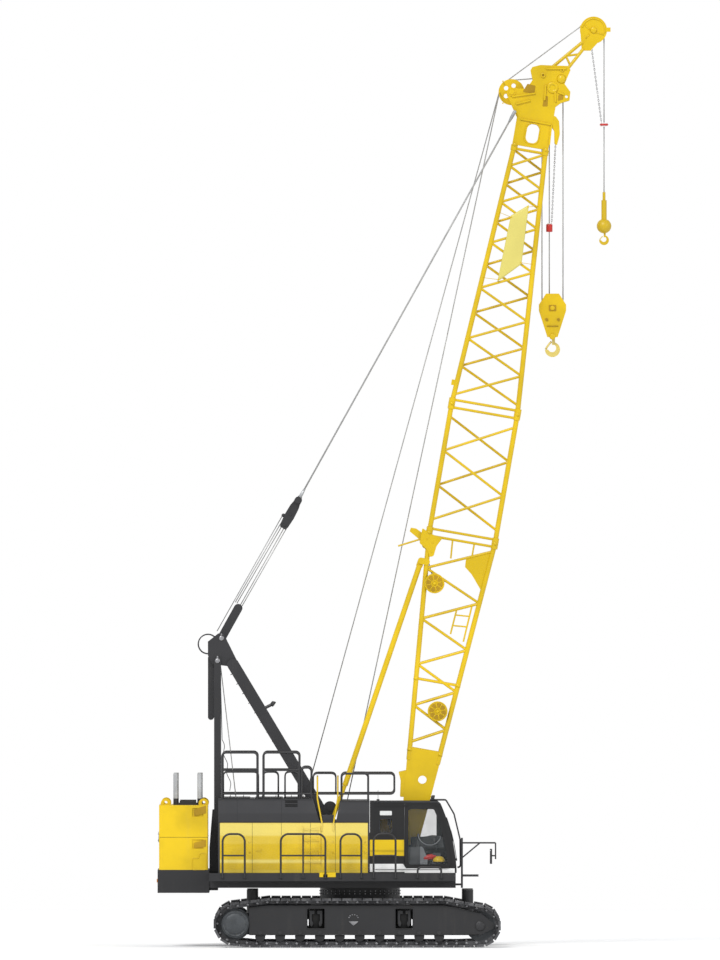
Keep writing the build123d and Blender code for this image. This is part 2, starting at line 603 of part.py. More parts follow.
RAIL_Y = WALK_HALF + TUBE + SEAT
hoops = (  # from x, to x, top
    (-3192, -2677, HOOP_TOP),
    (-1841, -804, HOOP_TOP),
    (-454, 30, HOOP_TOP),
    (315, 827, HOOP_TOP),
    (1340, 1887, KERB_TOP),
)
with BuildPart() as handrails:
    for x_from, x_to, top in hoops:
        hoop(x_from, x_to, -RAIL_Y, HOOP_LOW, top, min(HOOP_BEND, (top - HOOP_LOW) / 3), TUBE)
        if top > HOOP_MID:
            add(rod(at(x_from, -RAIL_Y, HOOP_MID), at(x_to, -RAIL_Y, HOOP_MID), TUBE * 0.8))
    middle = (hoops[1][0] + hoops[1][1]) / 2
    add(rod(at(middle, -RAIL_Y, HOOP_LOW), at(middle, -RAIL_Y, HOOP_TOP), TUBE * 0.8))
finish_both(handrails, "handrails")

ROOF_RAIL_Y = HOUSE_HALF - 60
RAIL_BEND = 90
roof_hoops = (  # from x, to x, foot height, top height
    (-3204, -2388, ROOF_TOP, 4520),
    (-2248, -1410, ROOF_TOP, 4520),
    (-1363, -1130, ROOF_TOP, 4170),
    (-430, 190, FRONT_ROOF_TOP, 4031),
)
ROOF_MID = 4110
ROOF_KNEE = 3560
LONG_RAIL = (-1363, 800)  # knee rail that joins the two front hoops and runs on over the cab
with BuildPart() as roof_rails:
    for x_from, x_to, low, top in roof_hoops:
        hoop(x_from, x_to, -ROOF_RAIL_Y, low + SEAT, top, RAIL_BEND, TUBE)
        for z in (ROOF_KNEE, ROOF_MID):
            if z < top - RAIL_BEND:
                add(rod(at(x_from, -ROOF_RAIL_Y, z), at(x_to, -ROOF_RAIL_Y, z), TUBE * 0.8))
    for (_, x_from, _, _), (x_to, _, _, _) in zip(roof_hoops[:2], roof_hoops[1:3]):
        add(rod(at(x_from, -ROOF_RAIL_Y, ROOF_KNEE), at(x_to, -ROOF_RAIL_Y, ROOF_KNEE), TUBE * 0.8))
    over_top = roof_hoops[-1][3]
    with BuildLine(side(-ROOF_RAIL_Y)) as line:
        FilletPolyline(
            (roof_hoops[-1][1] - RAIL_BEND, over_top),
            (LONG_RAIL[1], over_top),
            (LONG_RAIL[1], ROOF_KNEE),
            (roof_hoops[-1][1], ROOF_KNEE),
            radius=RAIL_BEND,
        )
    with BuildSketch(Plane(origin=line.line @ 0, z_dir=line.line % 0)) as section:
        Circle(TUBE * 0.9)
    sweep(section.sketch, line.line)
    knee_end = at(roof_hoops[-1][1], -ROOF_RAIL_Y, ROOF_KNEE)
    add(rod(at(LONG_RAIL[0], -ROOF_RAIL_Y, ROOF_KNEE), knee_end, TUBE * 0.8))
finish_both(roof_rails, "roof_rails")

# ---------------------------------------------------------------- gantry
GANTRY_OUT = GANTRY_IN + GANTRY_THICK


def beam(start, end, depth, y):
    """Flat bar with round ends between two side-view points, in the part being built."""
    run = hypot(end[0] - start[0], end[1] - start[1])
    turn = degrees(atan2(end[1] - start[1], end[0] - start[0]))
    middle = ((start[0] + end[0]) / 2, (start[1] + end[1]) / 2)
    with BuildSketch(side(max(y))) as profile:
        with Locations(Location((middle[0], middle[1], 0), (0, 0, turn))):
            SlotCenterToCenter(run, depth)
    extrude(profile.sketch, amount=abs(y[1] - y[0]))


GANTRY_KNEE_Z = 6650  # where both legs are pinned to the head
with BuildPart() as gantry_rear:
    for y in both(GANTRY_IN, GANTRY_OUT):
        beam((GANTRY_REAR_X, GANTRY_REAR_FOOT_Z), (GANTRY_REAR_X, GANTRY_KNEE_Z), REAR_LEG, y)
    for z in (GANTRY_REAR_FOOT_Z, GANTRY_KNEE_Z):
        disc(GANTRY_REAR_X, z, GANTRY_PIN + SEAT, (-GANTRY_OUT, GANTRY_OUT), mode=Mode.SUBTRACT)
    for z in (3900, 5200):
        disc(GANTRY_REAR_X, z, 55, (-GANTRY_IN, GANTRY_IN))
finish(gantry_rear.part, "gantry_rear_legs")

LEG_SLOPE = (GANTRY_FRONT_FOOT_X - GANTRY_X + 100) / (GANTRY_Z - GANTRY_FRONT_FOOT_Z)
FRONT_KNEE_Z = GANTRY_KNEE_Z - 90
front_knee = (GANTRY_FRONT_FOOT_X - LEG_SLOPE * (FRONT_KNEE_Z - GANTRY_FRONT_FOOT_Z), FRONT_KNEE_Z)
front_foot = (GANTRY_FRONT_FOOT_X, GANTRY_FRONT_FOOT_Z)


def between(start, end, share):
    """Point part of the way from one side-view point to another."""
    return (start[0] + (end[0] - start[0]) * share, start[1] + (end[1] - start[1]) * share)


LEG_TIE = 60  # radius of the round bars between the legs
LAMP_SHARE, LAMP_REACH, LAMP_TUBE = 0.71, 300, 34
with BuildPart() as gantry_front:
    for y in both(GANTRY_IN, GANTRY_OUT):
        beam(front_foot, front_knee, FRONT_LEG, y)
    for share in (0.28, 0.55, 0.8):
        disc(*between(front_foot, front_knee, share), LEG_TIE, (-GANTRY_IN, GANTRY_IN))
    lamp_x, lamp_z = between(front_foot, front_knee, LAMP_SHARE)
    lamp_y = (GANTRY_IN + GANTRY_OUT) / 2
    lamp_end = (lamp_x + LAMP_REACH, lamp_z + LAMP_REACH * 0.5)
    add([rod(at(lamp_x, y, lamp_z), at(lamp_end[0], y, lamp_end[1]), LAMP_TUBE) for y in (-lamp_y, lamp_y)])
    for x, z in (front_foot, front_knee):
        disc(x, z, GANTRY_PIN + SEAT, (-GANTRY_OUT, GANTRY_OUT), mode=Mode.SUBTRACT)
finish(gantry_front.part, "gantry_front_legs")

HEAD_GAP = GANTRY_IN - SEAT
GANTRY_PLATE = 40
gantry_head_side = (
    (GANTRY_X - 215, GANTRY_KNEE_Z - 80),
    (front_knee[0] + 60, FRONT_KNEE_Z - 60),
    (front_knee[0] + 90, FRONT_KNEE_Z + 90),
    (GANTRY_X + 128, GANTRY_Z - 60),
    (GANTRY_X + 60, GANTRY_Z + 105),
    (GANTRY_X - 80, GANTRY_Z + 105),
    (GANTRY_X - 315, GANTRY_Z - 80),
    (GANTRY_X - 315, GANTRY_Z - 400),
)
LINK_X, LINK_LOW, LINK_HIGH, LINK_DEPTH = -3472, 5340, 6710, 140
GUARD_X, GUARD_Z, GUARD_RADIUS, GUARD_BAR = -3542, 7037, 226, 14
with BuildPart() as gantry_head:
    for y in both(HEAD_GAP - GANTRY_PLATE, HEAD_GAP):
        slab(gantry_head_side, y)
    for y in both(HEAD_GAP - GANTRY_PLATE, GANTRY_OUT):
        disc(GANTRY_REAR_X, GANTRY_KNEE_Z, GANTRY_PIN - SEAT, y)
        disc(*front_knee, GANTRY_PIN - SEAT, y)
    disc(GANTRY_X, GANTRY_Z, SHEAVE_PIN, (-HEAD_GAP, HEAD_GAP))
    disc(LINK_X, LINK_HIGH, 40, (-HEAD_GAP, HEAD_GAP))
    for y in both(300, 330):
        beam((LINK_X, LINK_LOW), (LINK_X, LINK_HIGH), LINK_DEPTH, y)
    for y in both(HEAD_GAP - 2 * GUARD_BAR, HEAD_GAP):
        disc(GUARD_X, GUARD_Z, GUARD_RADIUS + GUARD_BAR, y)
    disc(GUARD_X, GUARD_Z, GUARD_RADIUS - GUARD_BAR, (-HEAD_GAP, HEAD_GAP), mode=Mode.SUBTRACT)
    for y in both(HEAD_GAP - GANTRY_PLATE, HEAD_GAP):
        slab(gantry_head_side, y)
finish(gantry_head.part, "gantry_head")

# ---------------------------------------------------------------- boom stay
STAY_LENGTH = hypot(PENDANT_X - GANTRY_X, PENDANT_Z - GANTRY_Z)


def stay(distance):
    """Side-view point on the line of the stay, from the gantry's head pin to the boom's head."""
    return between((GANTRY_X, GANTRY_Z), (PENDANT_X, PENDANT_Z), distance / STAY_LENGTH)


SPREADER_Y = 210
SPREADER_DEPTH = 200
REEVING_COUNT = 10
BRIDLE_DEPTH = 170
BAR_INSET = 4  # a bridle's cross bar is this much smaller than its plates' round ends
with BuildPart() as lower_spreader:
    for y in both(SPREADER_Y - 30, SPREADER_Y):
        beam(stay(0), stay(LOWER_BRIDLE_END - SPREADER_DEPTH / 2), SPREADER_DEPTH, y)
    lobe = stay(LOWER_BRIDLE_END - SPREADER_DEPTH / 2)
    disc(*lobe, SPREADER_DEPTH / 2 - BAR_INSET, (-SPREADER_Y, SPREADER_Y))
    disc(*stay(0), SHEAVE_PIN + SEAT, (-SPREADER_Y, SPREADER_Y), mode=Mode.SUBTRACT)
finish(lower_spreader.part, "lower_spreader")

with BuildPart() as reeving:
    falls = []
    for index in range(REEVING_COUNT):
        y = SPREADER_Y * (2 * index / (REEVING_COUNT - 1) - 1) * 0.78
        low = stay(LOWER_BRIDLE_END - BAR_INSET + SEAT)
        high = stay(UPPER_BRIDLE_START + BAR_INSET - SEAT)
        falls.append(rod(at(low[0], y, low[1]), at(high[0], y, high[1]), ROPE * 0.8))
    add(falls)
finish(reeving.part, "reeving")

with BuildPart() as upper_bridle:
    bridle_low = stay(UPPER_BRIDLE_START + BRIDLE_DEPTH / 2)
    bridle_high = stay(UPPER_BRIDLE_END - BRIDLE_DEPTH / 2)
    disc(*bridle_low, BRIDLE_DEPTH / 2 - BAR_INSET, (-SPREADER_Y, SPREADER_Y))
    for y in both(SPREADER_Y - 30, SPREADER_Y):
        beam(bridle_low, bridle_high, BRIDLE_DEPTH, y)
    disc(*bridle_high, BRIDLE_DEPTH / 2 - BAR_INSET, (-STAY_Y - 2 * STAY_ROD, STAY_Y + 2 * STAY_ROD))
finish(upper_bridle.part, "upper_bridle")

with BuildPart() as pendants:
    low, high = stay(UPPER_BRIDLE_END - BAR_INSET + SEAT), (PENDANT_X, PENDANT_Z)
    add([rod(at(low[0], y, low[1]), at(high[0], y, high[1]), STAY_ROD) for y in (-STAY_Y, STAY_Y)])
    for y in both(STAY_Y - STAY_ROD - 15, STAY_Y + STAY_ROD + 15):
        disc(*high, 75, y)
finish(pendants.part, "pendants")

# ---------------------------------------------------------------- counterweight
with BuildPart() as tray:
    block((WEIGHT_REAR, WEIGHT_FRONT - SEAT), (-WEIGHT_HALF, WEIGHT_HALF), (TRAY_LOW, TRAY_TOP))
finish(tray.part, "counterweight_tray")

weight_x = (WEIGHT_REAR + WEIGHT_INSET, WEIGHT_FRONT - WEIGHT_INSET)
POCKET_X, POCKET_DEPTH = (-3900, -3640), 26
weights = (  # name, low, high, pocket low, pocket high
    ("counterweight_lower", TRAY_TOP + SEAT, WEIGHT_SEAM, 2290, 2500),
    ("counterweight_upper", WEIGHT_SEAM + SEAT, WEIGHT_TOP, 3035, 3230),
)
LIFT_LUG, LIFT_LUG_THICK, LIFT_LUG_EYE = 115, 70, 42
LUG_X, LUG_Y = (-4520, -3640), 1330
with BuildPart() as weight_lugs:
    for x in LUG_X:
        for y in both(LUG_Y, LUG_Y + LIFT_LUG_THICK):
            disc(x, WEIGHT_TOP + LIFT_LUG / 3, LIFT_LUG, y)
            disc(x, WEIGHT_TOP + LIFT_LUG / 2, LIFT_LUG_EYE, y, mode=Mode.SUBTRACT)
    block(weight_x, (-WEIGHT_HALF, WEIGHT_HALF), (WEIGHT_SEAM + SEAT, WEIGHT_TOP - SEAT), mode=Mode.SUBTRACT)
for name, low, high, pocket_low, pocket_high in weights:
    with BuildPart() as weight:
        for y in both(WEIGHT_GAP / 2, WEIGHT_HALF):
            block(weight_x, y, (low, high))
        for y in both(WEIGHT_HALF - POCKET_DEPTH, WEIGHT_HALF):
            block(POCKET_X, y, (pocket_low, pocket_high), mode=Mode.SUBTRACT)
        if high == WEIGHT_TOP:
            add(weight_lugs.part)
    finish(weight.part, name)

CAP_X, CAP_HIGH = (-4194, -3820), 104
with BuildPart() as lift_posts:
    posts = []
    for x in LIFT_POSTS:
        for y in (-LIFT_POST_Y, LIFT_POST_Y):
            posts.append(rod(at(x, y, WEIGHT_TOP + SEAT), at(x, y, LIFT_POST_TOP), LIFT_POST_RADIUS))
    add(posts)
    cap_z = (WEIGHT_TOP + SEAT, WEIGHT_TOP + CAP_HIGH)
    for y in both(LIFT_POST_Y - LIFT_POST_RADIUS, LIFT_POST_Y + LIFT_POST_RADIUS):
        block((LIFT_POSTS[0], LIFT_POSTS[1]), y, (cap_z[0], cap_z[0] + CAP_HIGH / 3))
        block(CAP_X, y, cap_z)
finish(lift_posts.part, "lift_posts")

# ---------------------------------------------------------------- cab
NOSE_TOP = (1876, 3332)
NOSE_BULGE = (2130, 2586)
NOSE_LOW = 1790
GLASS_THICK = 8


def cab_outline(inset):
    """Sketch of the cab's side outline, set in from its outer faces."""
    with BuildSketch() as outline:
        with BuildLine():
            Polyline(
                NOSE_TOP,
                (NOSE_TOP[0] - 76, CAB_ROOF),
                (CAB_REAR, CAB_ROOF),
                (CAB_REAR, CAB_FLOOR + SEAT),
                (CAB_NOSE, CAB_FLOOR + SEAT),
                (CAB_NOSE, NOSE_LOW),
            )
            ThreePointArc((CAB_NOSE, NOSE_LOW), NOSE_BULGE, NOSE_TOP)
        make_face()
        if inset:
            offset(amount=-inset, kind=Kind.INTERSECTION)
    return outline.sketch


DOOR_REAR = CAB_PILLAR_X + 40
DOOR_INSET = 150  # the door's opening, in from the cab's outline
LAP = 30
DOOR_FRAME = 75
SIDE_WINDOW = (454, 757, 2656, 2982)  # x from, x to, z from, z to


def door_outline(inset, rear, bend):
    """Sketch of a shape that follows the cab's outline from a rear edge forwards, with round corners."""
    with BuildSketch() as outline:
        add(cab_outline(inset + bend))
        with Locations((rear + bend + CAB_NOSE, (CAB_FLOOR + CAB_ROOF) / 2)):
            Rectangle(2 * CAB_NOSE, CAB_ROOF, mode=Mode.INTERSECT)
        offset(amount=bend, kind=Kind.ARC)
    return outline.sketch


INNER_WINDOW = ((520, 1780), (2360, 3200))
REAR_WINDOW = ((-1500, -950), (2500, 3200))
OUTER_BEND, INNER_BEND = 60, 80
DOOR_THICK = 36
DOOR_RUN = 6  # between the cab's side and the door that slides along it
RAIL_THICK = 30
inner_y = (-CAB_IN - CAB_WALL, -CAB_IN)
outer_y = (-CAB_OUT, -CAB_OUT + CAB_WALL)
cabin_y = (-CAB_OUT + CAB_WALL + SEAT, -CAB_IN - CAB_WALL - SEAT)
with BuildPart() as cab_side:
    with BuildSketch(side(max(outer_y))):
        add(cab_outline(0))
        add(door_outline(DOOR_INSET, DOOR_REAR, OUTER_BEND), mode=Mode.SUBTRACT)
        x_from, x_to, z_from, z_to = SIDE_WINDOW
        with Locations(((x_from + x_to) / 2, (z_from + z_to) / 2)):
            RectangleRounded(x_to - x_from, z_to - z_from, OUTER_BEND, mode=Mode.SUBTRACT)
    extrude(amount=CAB_WALL)
    # rails that the door slides on, above and below it
    door_low, door_high = CAB_FLOOR + DOOR_INSET - LAP, CAB_ROOF - DOOR_INSET + LAP
    for z in (door_low - RAIL_THICK, door_high + SEAT):
        rail_x = (DOOR_REAR - DOOR_SLIDE - LAP, NOSE_TOP[0])
        block(rail_x, (-CAB_OUT - RAIL_THICK, -CAB_OUT), (z, z + RAIL_THICK))
finish(cab_side.part, "cab_side")

with BuildPart() as cab_inner:
    with BuildSketch(side(max(inner_y))):
        add(cab_outline(0))
        (x_from, x_to), (z_from, z_to) = INNER_WINDOW
        with Locations(((x_from + x_to) / 2, (z_from + z_to) / 2)):
            RectangleRounded(x_to - x_from, z_to - z_from, INNER_BEND, mode=Mode.SUBTRACT)
    extrude(amount=CAB_WALL)
finish(cab_inner.part, "cab_inner_side")

with BuildPart() as cab_floor:
    block((CAB_REAR, CAB_NOSE - CAB_WALL - SEAT), cabin_y, (CAB_FLOOR + SEAT, CAB_FLOOR + CAB_WALL))
finish(cab_floor.part, "cab_floor")

with BuildPart() as cab_rear:
    wall_z = (CAB_FLOOR + CAB_WALL + SEAT, CAB_ROOF - CAB_WALL - SEAT)
    block((CAB_REAR, CAB_REAR + CAB_WALL), cabin_y, wall_z)
    block((CAB_REAR, CAB_REAR + CAB_WALL), *REAR_WINDOW, mode=Mode.SUBTRACT)
finish(cab_rear.part, "cab_rear")

with BuildPart() as cab_roof:
    block((CAB_REAR, NOSE_TOP[0] - 110), cabin_y, (CAB_ROOF - CAB_WALL, CAB_ROOF))
finish(cab_roof.part, "cab_roof")



def pane(x_from, x_to, z_from, z_to, y, bend):
    """Sheet of glass that fills a rounded window, its left face at y, in the part being built."""
    with BuildSketch(side(y)) as sheet:
        with Locations(((x_from + x_to) / 2, (z_from + z_to) / 2)):
            RectangleRounded(x_to - x_from - 2 * SEAT, z_to - z_from - 2 * SEAT, bend - SEAT)
    extrude(sheet.sketch, amount=GLASS_THICK)


WIND_Z = (1960, 3250)
WIND_Y = (cabin_y[0] + 50, cabin_y[1] - 50)
with BuildPart() as cab_front:
    with BuildSketch(side(max(cabin_y))):
        add(cab_outline(0))
        add(cab_outline(CAB_WALL), mode=Mode.SUBTRACT)
        with Locations(((NOSE_TOP[0] - 110 + SEAT + CAB_REAR) / 2 - 300, (CAB_FLOOR + CAB_ROOF) / 2)):
            Rectangle(NOSE_TOP[0] - 110 + SEAT - CAB_REAR + 600, 2 * CAB_ROOF, mode=Mode.SUBTRACT)
        with Locations((CAB_NOSE / 2, CAB_FLOOR)):
            Rectangle(2 * (CAB_NOSE / 2 - CAB_WALL), 2 * CAB_WALL + SEAT, mode=Mode.SUBTRACT)
    extrude(amount=abs(cabin_y[1] - cabin_y[0]))
    block((NOSE_TOP[0] - 300, CAB_NOSE + 100), WIND_Y, WIND_Z, mode=Mode.SUBTRACT)
finish(cab_front.part, "cab_front")

with BuildPart() as cab_glass:
    with BuildSketch(side(max(WIND_Y) - SEAT)):
        add(cab_outline(CAB_WALL / 2))
        add(cab_outline(CAB_WALL / 2 + GLASS_THICK), mode=Mode.SUBTRACT)
        with Locations((CAB_NOSE, (WIND_Z[0] + WIND_Z[1]) / 2)):
            Rectangle(1000, WIND_Z[1] - WIND_Z[0] - 2 * SEAT, mode=Mode.INTERSECT)
    extrude(amount=abs(WIND_Y[1] - WIND_Y[0]) - 2 * SEAT)
    (x_from, x_to), (z_from, z_to) = INNER_WINDOW
    pane(x_from, x_to, z_from, z_to, -CAB_IN - (CAB_WALL - GLASS_THICK) / 2, INNER_BEND)
    pane(*SIDE_WINDOW, -CAB_OUT + (CAB_WALL + GLASS_THICK) / 2, OUTER_BEND)
    (y_from, y_to), (z_from, z_to) = REAR_WINDOW
    pane_x = (CAB_REAR + (CAB_WALL - GLASS_THICK) / 2, CAB_REAR + (CAB_WALL + GLASS_THICK) / 2)
    block(pane_x, (y_from + SEAT, y_to - SEAT), (z_from + SEAT, z_to - SEAT))
finish(cab_glass.part, "cab_glass")

door_y = -CAB_OUT - DOOR_RUN
GLAZING_INSET = DOOR_INSET + DOOR_FRAME - LAP
glazing_rear = DOOR_REAR + DOOR_FRAME - LAP
HANDLE_Z, HANDLE_PROUD = (2300, 2520), 30
with BuildPart() as cab_door:
    with BuildSketch(side(door_y)):
        add(door_outline(DOOR_INSET - LAP, DOOR_REAR - LAP, 2 * OUTER_BEND))
        add(door_outline(GLAZING_INSET, glazing_rear, OUTER_BEND), mode=Mode.SUBTRACT)
    extrude(amount=DOOR_THICK)
    handle_x = (DOOR_REAR - LAP + 12, DOOR_REAR - LAP + 42)
    block(handle_x, (door_y - DOOR_THICK - HANDLE_PROUD, door_y - DOOR_THICK), HANDLE_Z)
finish(cab_door.part, "cab_door")

with BuildPart() as door_glass:
    with BuildSketch(side(door_y - (DOOR_THICK - GLASS_THICK) / 2)):
        add(door_outline(GLAZING_INSET + SEAT, glazing_rear + SEAT, OUTER_BEND - SEAT))
    extrude(amount=GLASS_THICK)
finish(door_glass.part, "cab_door_glass")

SEAT_X, SEAT_Y = 980, -1230
CAB_DECK = CAB_FLOOR + CAB_WALL
with BuildPart() as cab_seat:
    block((SEAT_X - 170, SEAT_X + 190), (SEAT_Y - 170, SEAT_Y + 170), (CAB_DECK + SEAT, CAB_DECK + 300))
    block((SEAT_X - 240, SEAT_X + 270), (SEAT_Y - 250, SEAT_Y + 250), (CAB_DECK + 300, CAB_DECK + 430))
    slab(
        (
            (SEAT_X - 250, CAB_DECK + 400),
            (SEAT_X - 120, CAB_DECK + 400),
            (SEAT_X - 230, CAB_DECK + 1050),
            (SEAT_X - 340, CAB_DECK + 1050),
        ),
        (SEAT_Y - 230, SEAT_Y + 230),
    )
    block((SEAT_X - 340, SEAT_X - 260), (SEAT_Y - 130, SEAT_Y + 130), (CAB_DECK + 1050, CAB_DECK + 1230))
finish(cab_seat.part, "cab_seat")

with BuildPart() as cab_console:
    block((SEAT_X - 100, SEAT_X + 420), (SEAT_Y - 350, SEAT_Y - 262), (CAB_DECK + SEAT, CAB_DECK + 560))
    block((SEAT_X - 100, SEAT_X + 420), (SEAT_Y + 262, SEAT_Y + 350), (CAB_DECK + SEAT, CAB_DECK + 560))
    block((SEAT_X + 700, SEAT_X + 900), (SEAT_Y - 300, SEAT_Y + 300), (CAB_DECK + SEAT, CAB_DECK + 420))
    levers = []
    for y in (SEAT_Y - 306, SEAT_Y + 306):
        levers.append(rod(at(SEAT_X + 340, y, CAB_DECK + 550), at(SEAT_X + 370, y, CAB_DECK + 780), 16))
    add(levers)
finish(cab_console.part, "cab_console")

# Guard of round bar in front of the windscreen, and the post with the mirror ahead of the cab
GUARD_TUBE = 18
GUARD_LINE = (
    (CAB_NOSE + GUARD_TUBE + SEAT, 1850),
    (CAB_NOSE + 90, 1850),
    (CAB_NOSE + 80, 2500),
    (CAB_NOSE - 60, 3090),
    (CAB_NOSE - 250, CAB_ROOF + GUARD_TUBE + SEAT),
    (NOSE_TOP[0] - 250, CAB_ROOF + GUARD_TUBE + SEAT),
)
with BuildPart() as cab_guard:
    for y in (cabin_y[0] + 80, cabin_y[1] - 80):
        with BuildLine(side(y)) as line:
            FilletPolyline(*GUARD_LINE, radius=60)
        with BuildSketch(Plane(origin=line.line @ 0, z_dir=line.line % 0)) as section:
            Circle(GUARD_TUBE)
        sweep(section.sketch, line.line)
    bars = []
    for low, high, share in ((1, 2, 0.3), (1, 2, 0.85), (2, 3, 0.6), (3, 4, 0.35), (3, 4, 0.85)):
        x, z = between(GUARD_LINE[low], GUARD_LINE[high], share)
        bars.append(rod(at(x, cabin_y[0] + 80, z), at(x, cabin_y[1] - 80, z), GUARD_TUBE * 0.7))
    add(bars)
finish(cab_guard.part, "cab_guard")

POST_X, POST_Y, POST_TOP = 2370, -1590, 2540
POST_FOOT_Z = (FRAME_BOTTOM + DECK_TOP) / 2
MIRROR_X, MIRROR_ARM_Z, MIRROR_Z, MIRROR_THICK = 3052, 2423, (1934, 2283), 30
MIRROR_STALK_X = MIRROR_X + 100
STEP_TREAD, STEP_LONG = 1690, 385
with BuildPart() as front_post:
    bars = []
    post_bars = (  # x, z of each end, radius
        (POST_X, FRAME_BOTTOM, POST_X, POST_TOP, TUBE),
        (POST_X, MIRROR_ARM_Z, MIRROR_STALK_X, MIRROR_ARM_Z, TUBE * 0.8),
        (POST_X, MIRROR_ARM_Z - 350, POST_X + 420, MIRROR_ARM_Z, TUBE * 0.7),
        (MIRROR_STALK_X, MIRROR_ARM_Z, MIRROR_STALK_X, MIRROR_ARM_Z - 380, TUBE * 0.7),
        (MIRROR_X, MIRROR_ARM_Z - 300, MIRROR_STALK_X, MIRROR_ARM_Z - 300, TUBE * 0.7),
        (DECK_FRONT + SEAT, POST_FOOT_Z, POST_X, POST_FOOT_Z, TUBE),
    )
    for x_from, z_from, x_to, z_to, radius in post_bars:
        bars.append(rod(at(x_from, POST_Y, z_from), at(x_to, POST_Y, z_to), radius))
    add(bars)
    block((MIRROR_X - MIRROR_THICK, MIRROR_X + 20), (POST_Y - 130, POST_Y + 130), MIRROR_Z)
    block((POST_X, POST_X + STEP_LONG), (POST_Y - 220, POST_Y + 60), (STEP_TREAD - 50, STEP_TREAD))
finish(front_post.part, "front_post")

# ---------------------------------------------------------------- boom
def boom_side(y):
    """Plane of the boom's side: local x up the boom, local y ahead, normal to the left."""
    return Plane(origin=boom_point(0, 0, y), x_dir=(BOOM_COS, 0, BOOM_SIN), z_dir=(0, 1, 0))


def half_depth(u):
    """Half the boom's depth at a station, between chord centres."""
    if u < BASE_END:
        return FOOT_DEPTH + (BOOM_DEPTH - FOOT_DEPTH) * u / BASE_END
    if u < INSERT_END:
        return BOOM_DEPTH
    return BOOM_DEPTH - (BOOM_DEPTH - HEAD_DEPTH) * min(u - INSERT_END, TIP_LENGTH) / TIP_LENGTH


def half_width(u):
    """Half the boom's width at a station, between chord centres."""
    return BOOM_HALF - (BOOM_HALF - HEAD_HALF) * min(max(u - INSERT_END, 0), TIP_LENGTH) / TIP_LENGTH


def chord_point(u, front, left):
    """Centre of one of the four chords at a station; front and left are -1 or 1."""
    return boom_point(u, front * half_depth(u), left * half_width(u))


def stations(start, end, bays, growth):
    """Lacing stations from start to end, each bay longer than the last by the growth factor."""
    if growth == 1:
        return [start + (end - start) * index / bays for index in range(bays + 1)]
    return [start + (end - start) * (growth**index - 1) / (growth**bays - 1) for index in range(bays + 1)]


def lattice(start, end, laced, bays, growth, frames):
    """Chords, lacing between two stations and cross frames of one boom section, as a list of bars."""
    bars = []
    for front in (-1, 1):
        for left in (-1, 1):
            bars.append(rod(chord_point(start, front, left), chord_point(end, front, left), CHORD))
    nodes = stations(*laced, bays, growth)
    for index, (low, high) in enumerate(zip(nodes, nodes[1:])):
        for left in (-1, 1):
            front = (1 if index % 2 else -1) * (-left if growth != BASE_GROWTH else 1)
            bars.append(rod(chord_point(low, front, left), chord_point(high, -front, left), LACING))
        turn = 1 if index % 2 else -1
        for front in (-1, 1):
            if front < 0 or high < THROAT:
                start = chord_point(low + LACE_STEP, front, turn)
                bars.append(rod(start, chord_point(high + LACE_STEP, front, -turn), LACING))
    for u in frames:
        for front in (-1, 1):
            if front < 0 or u < THROAT:
                bars.append(rod(chord_point(u, front, -1), chord_point(u, front, 1), LACING))
        for left in (-1, 1):
            bars.append(rod(chord_point(u, -1, left), chord_point(u, 1, left), LACING))
    return bars


def connectors(u, towards):
    """Stout pin connectors along the boom's axis at one end of a section's chords, as a list of bars."""
    lugs = []
    for front in (-1, 1):
        for left in (-1, 1):
            v, y = front * half_depth(u), left * half_width(u)
            lugs.append(rod(boom_point(u, v, y), boom_point(u + towards * CONNECTOR_LENGTH, v, y), CONNECTOR))
    return lugs


BASE_GROWTH, TIP_GROWTH = 1.055, 0.947
BASE_BAYS, INSERT_BAYS, TIP_BAYS = 9, 3, 11
LACE_STEP = 60  # the lacing of neighbouring faces meets a chord this far apart
CHORD_SHORT = 25  # a chord ends this far inside its connector
END_FRAME = 90  # cross frames stand this far from the ends of a section
BASE_LACE = (SIDE_PLATE_END + 112, BASE_END - 190)
INSERT_LACE = (BASE_END + 300, INSERT_END - 300)
TIP_LACE = (INSERT_END + 210, TIP_END - 110)

REEL, REEL_CORE, REEL_WIDE = 230, 150, 120
REELS = (  # station and place ahead of the axis
    (3545, 128),
    (6467, -453),
)
GUSSET = ((7142, 175), (6962, 185), (6814, 369))
BRACKET = ((7560, -900), (7650, -1090), (7650, -1215), (7560, -1230), (7420, -990), (7240, -860))
BRACKET_ARM = ((7420, -960), (7178, -1437))
LADDER_RAILS = (((5366, 115), (5940, 159)), ((5241, 440), (6133, 497)))
LADDER_RUNGS = ((0.36, 0.4), (0.8, 0.68))  # share of each rail's length where a rung meets it
STRUTS = (((7549, -212), (7101, -180)), ((7540, 300), (7180, 300)))
FITTING_PLATE, FITTING_BAR = 22, 20
JUNCTION_BOX = 130
JUNCTION_U = INSERT_END + 420


def boom_slab(outline, y):
    """Outline in boom stations and places ahead of its axis, extruded between y limits."""
    slab([boom_xz(u, v) for u, v in outline], y)


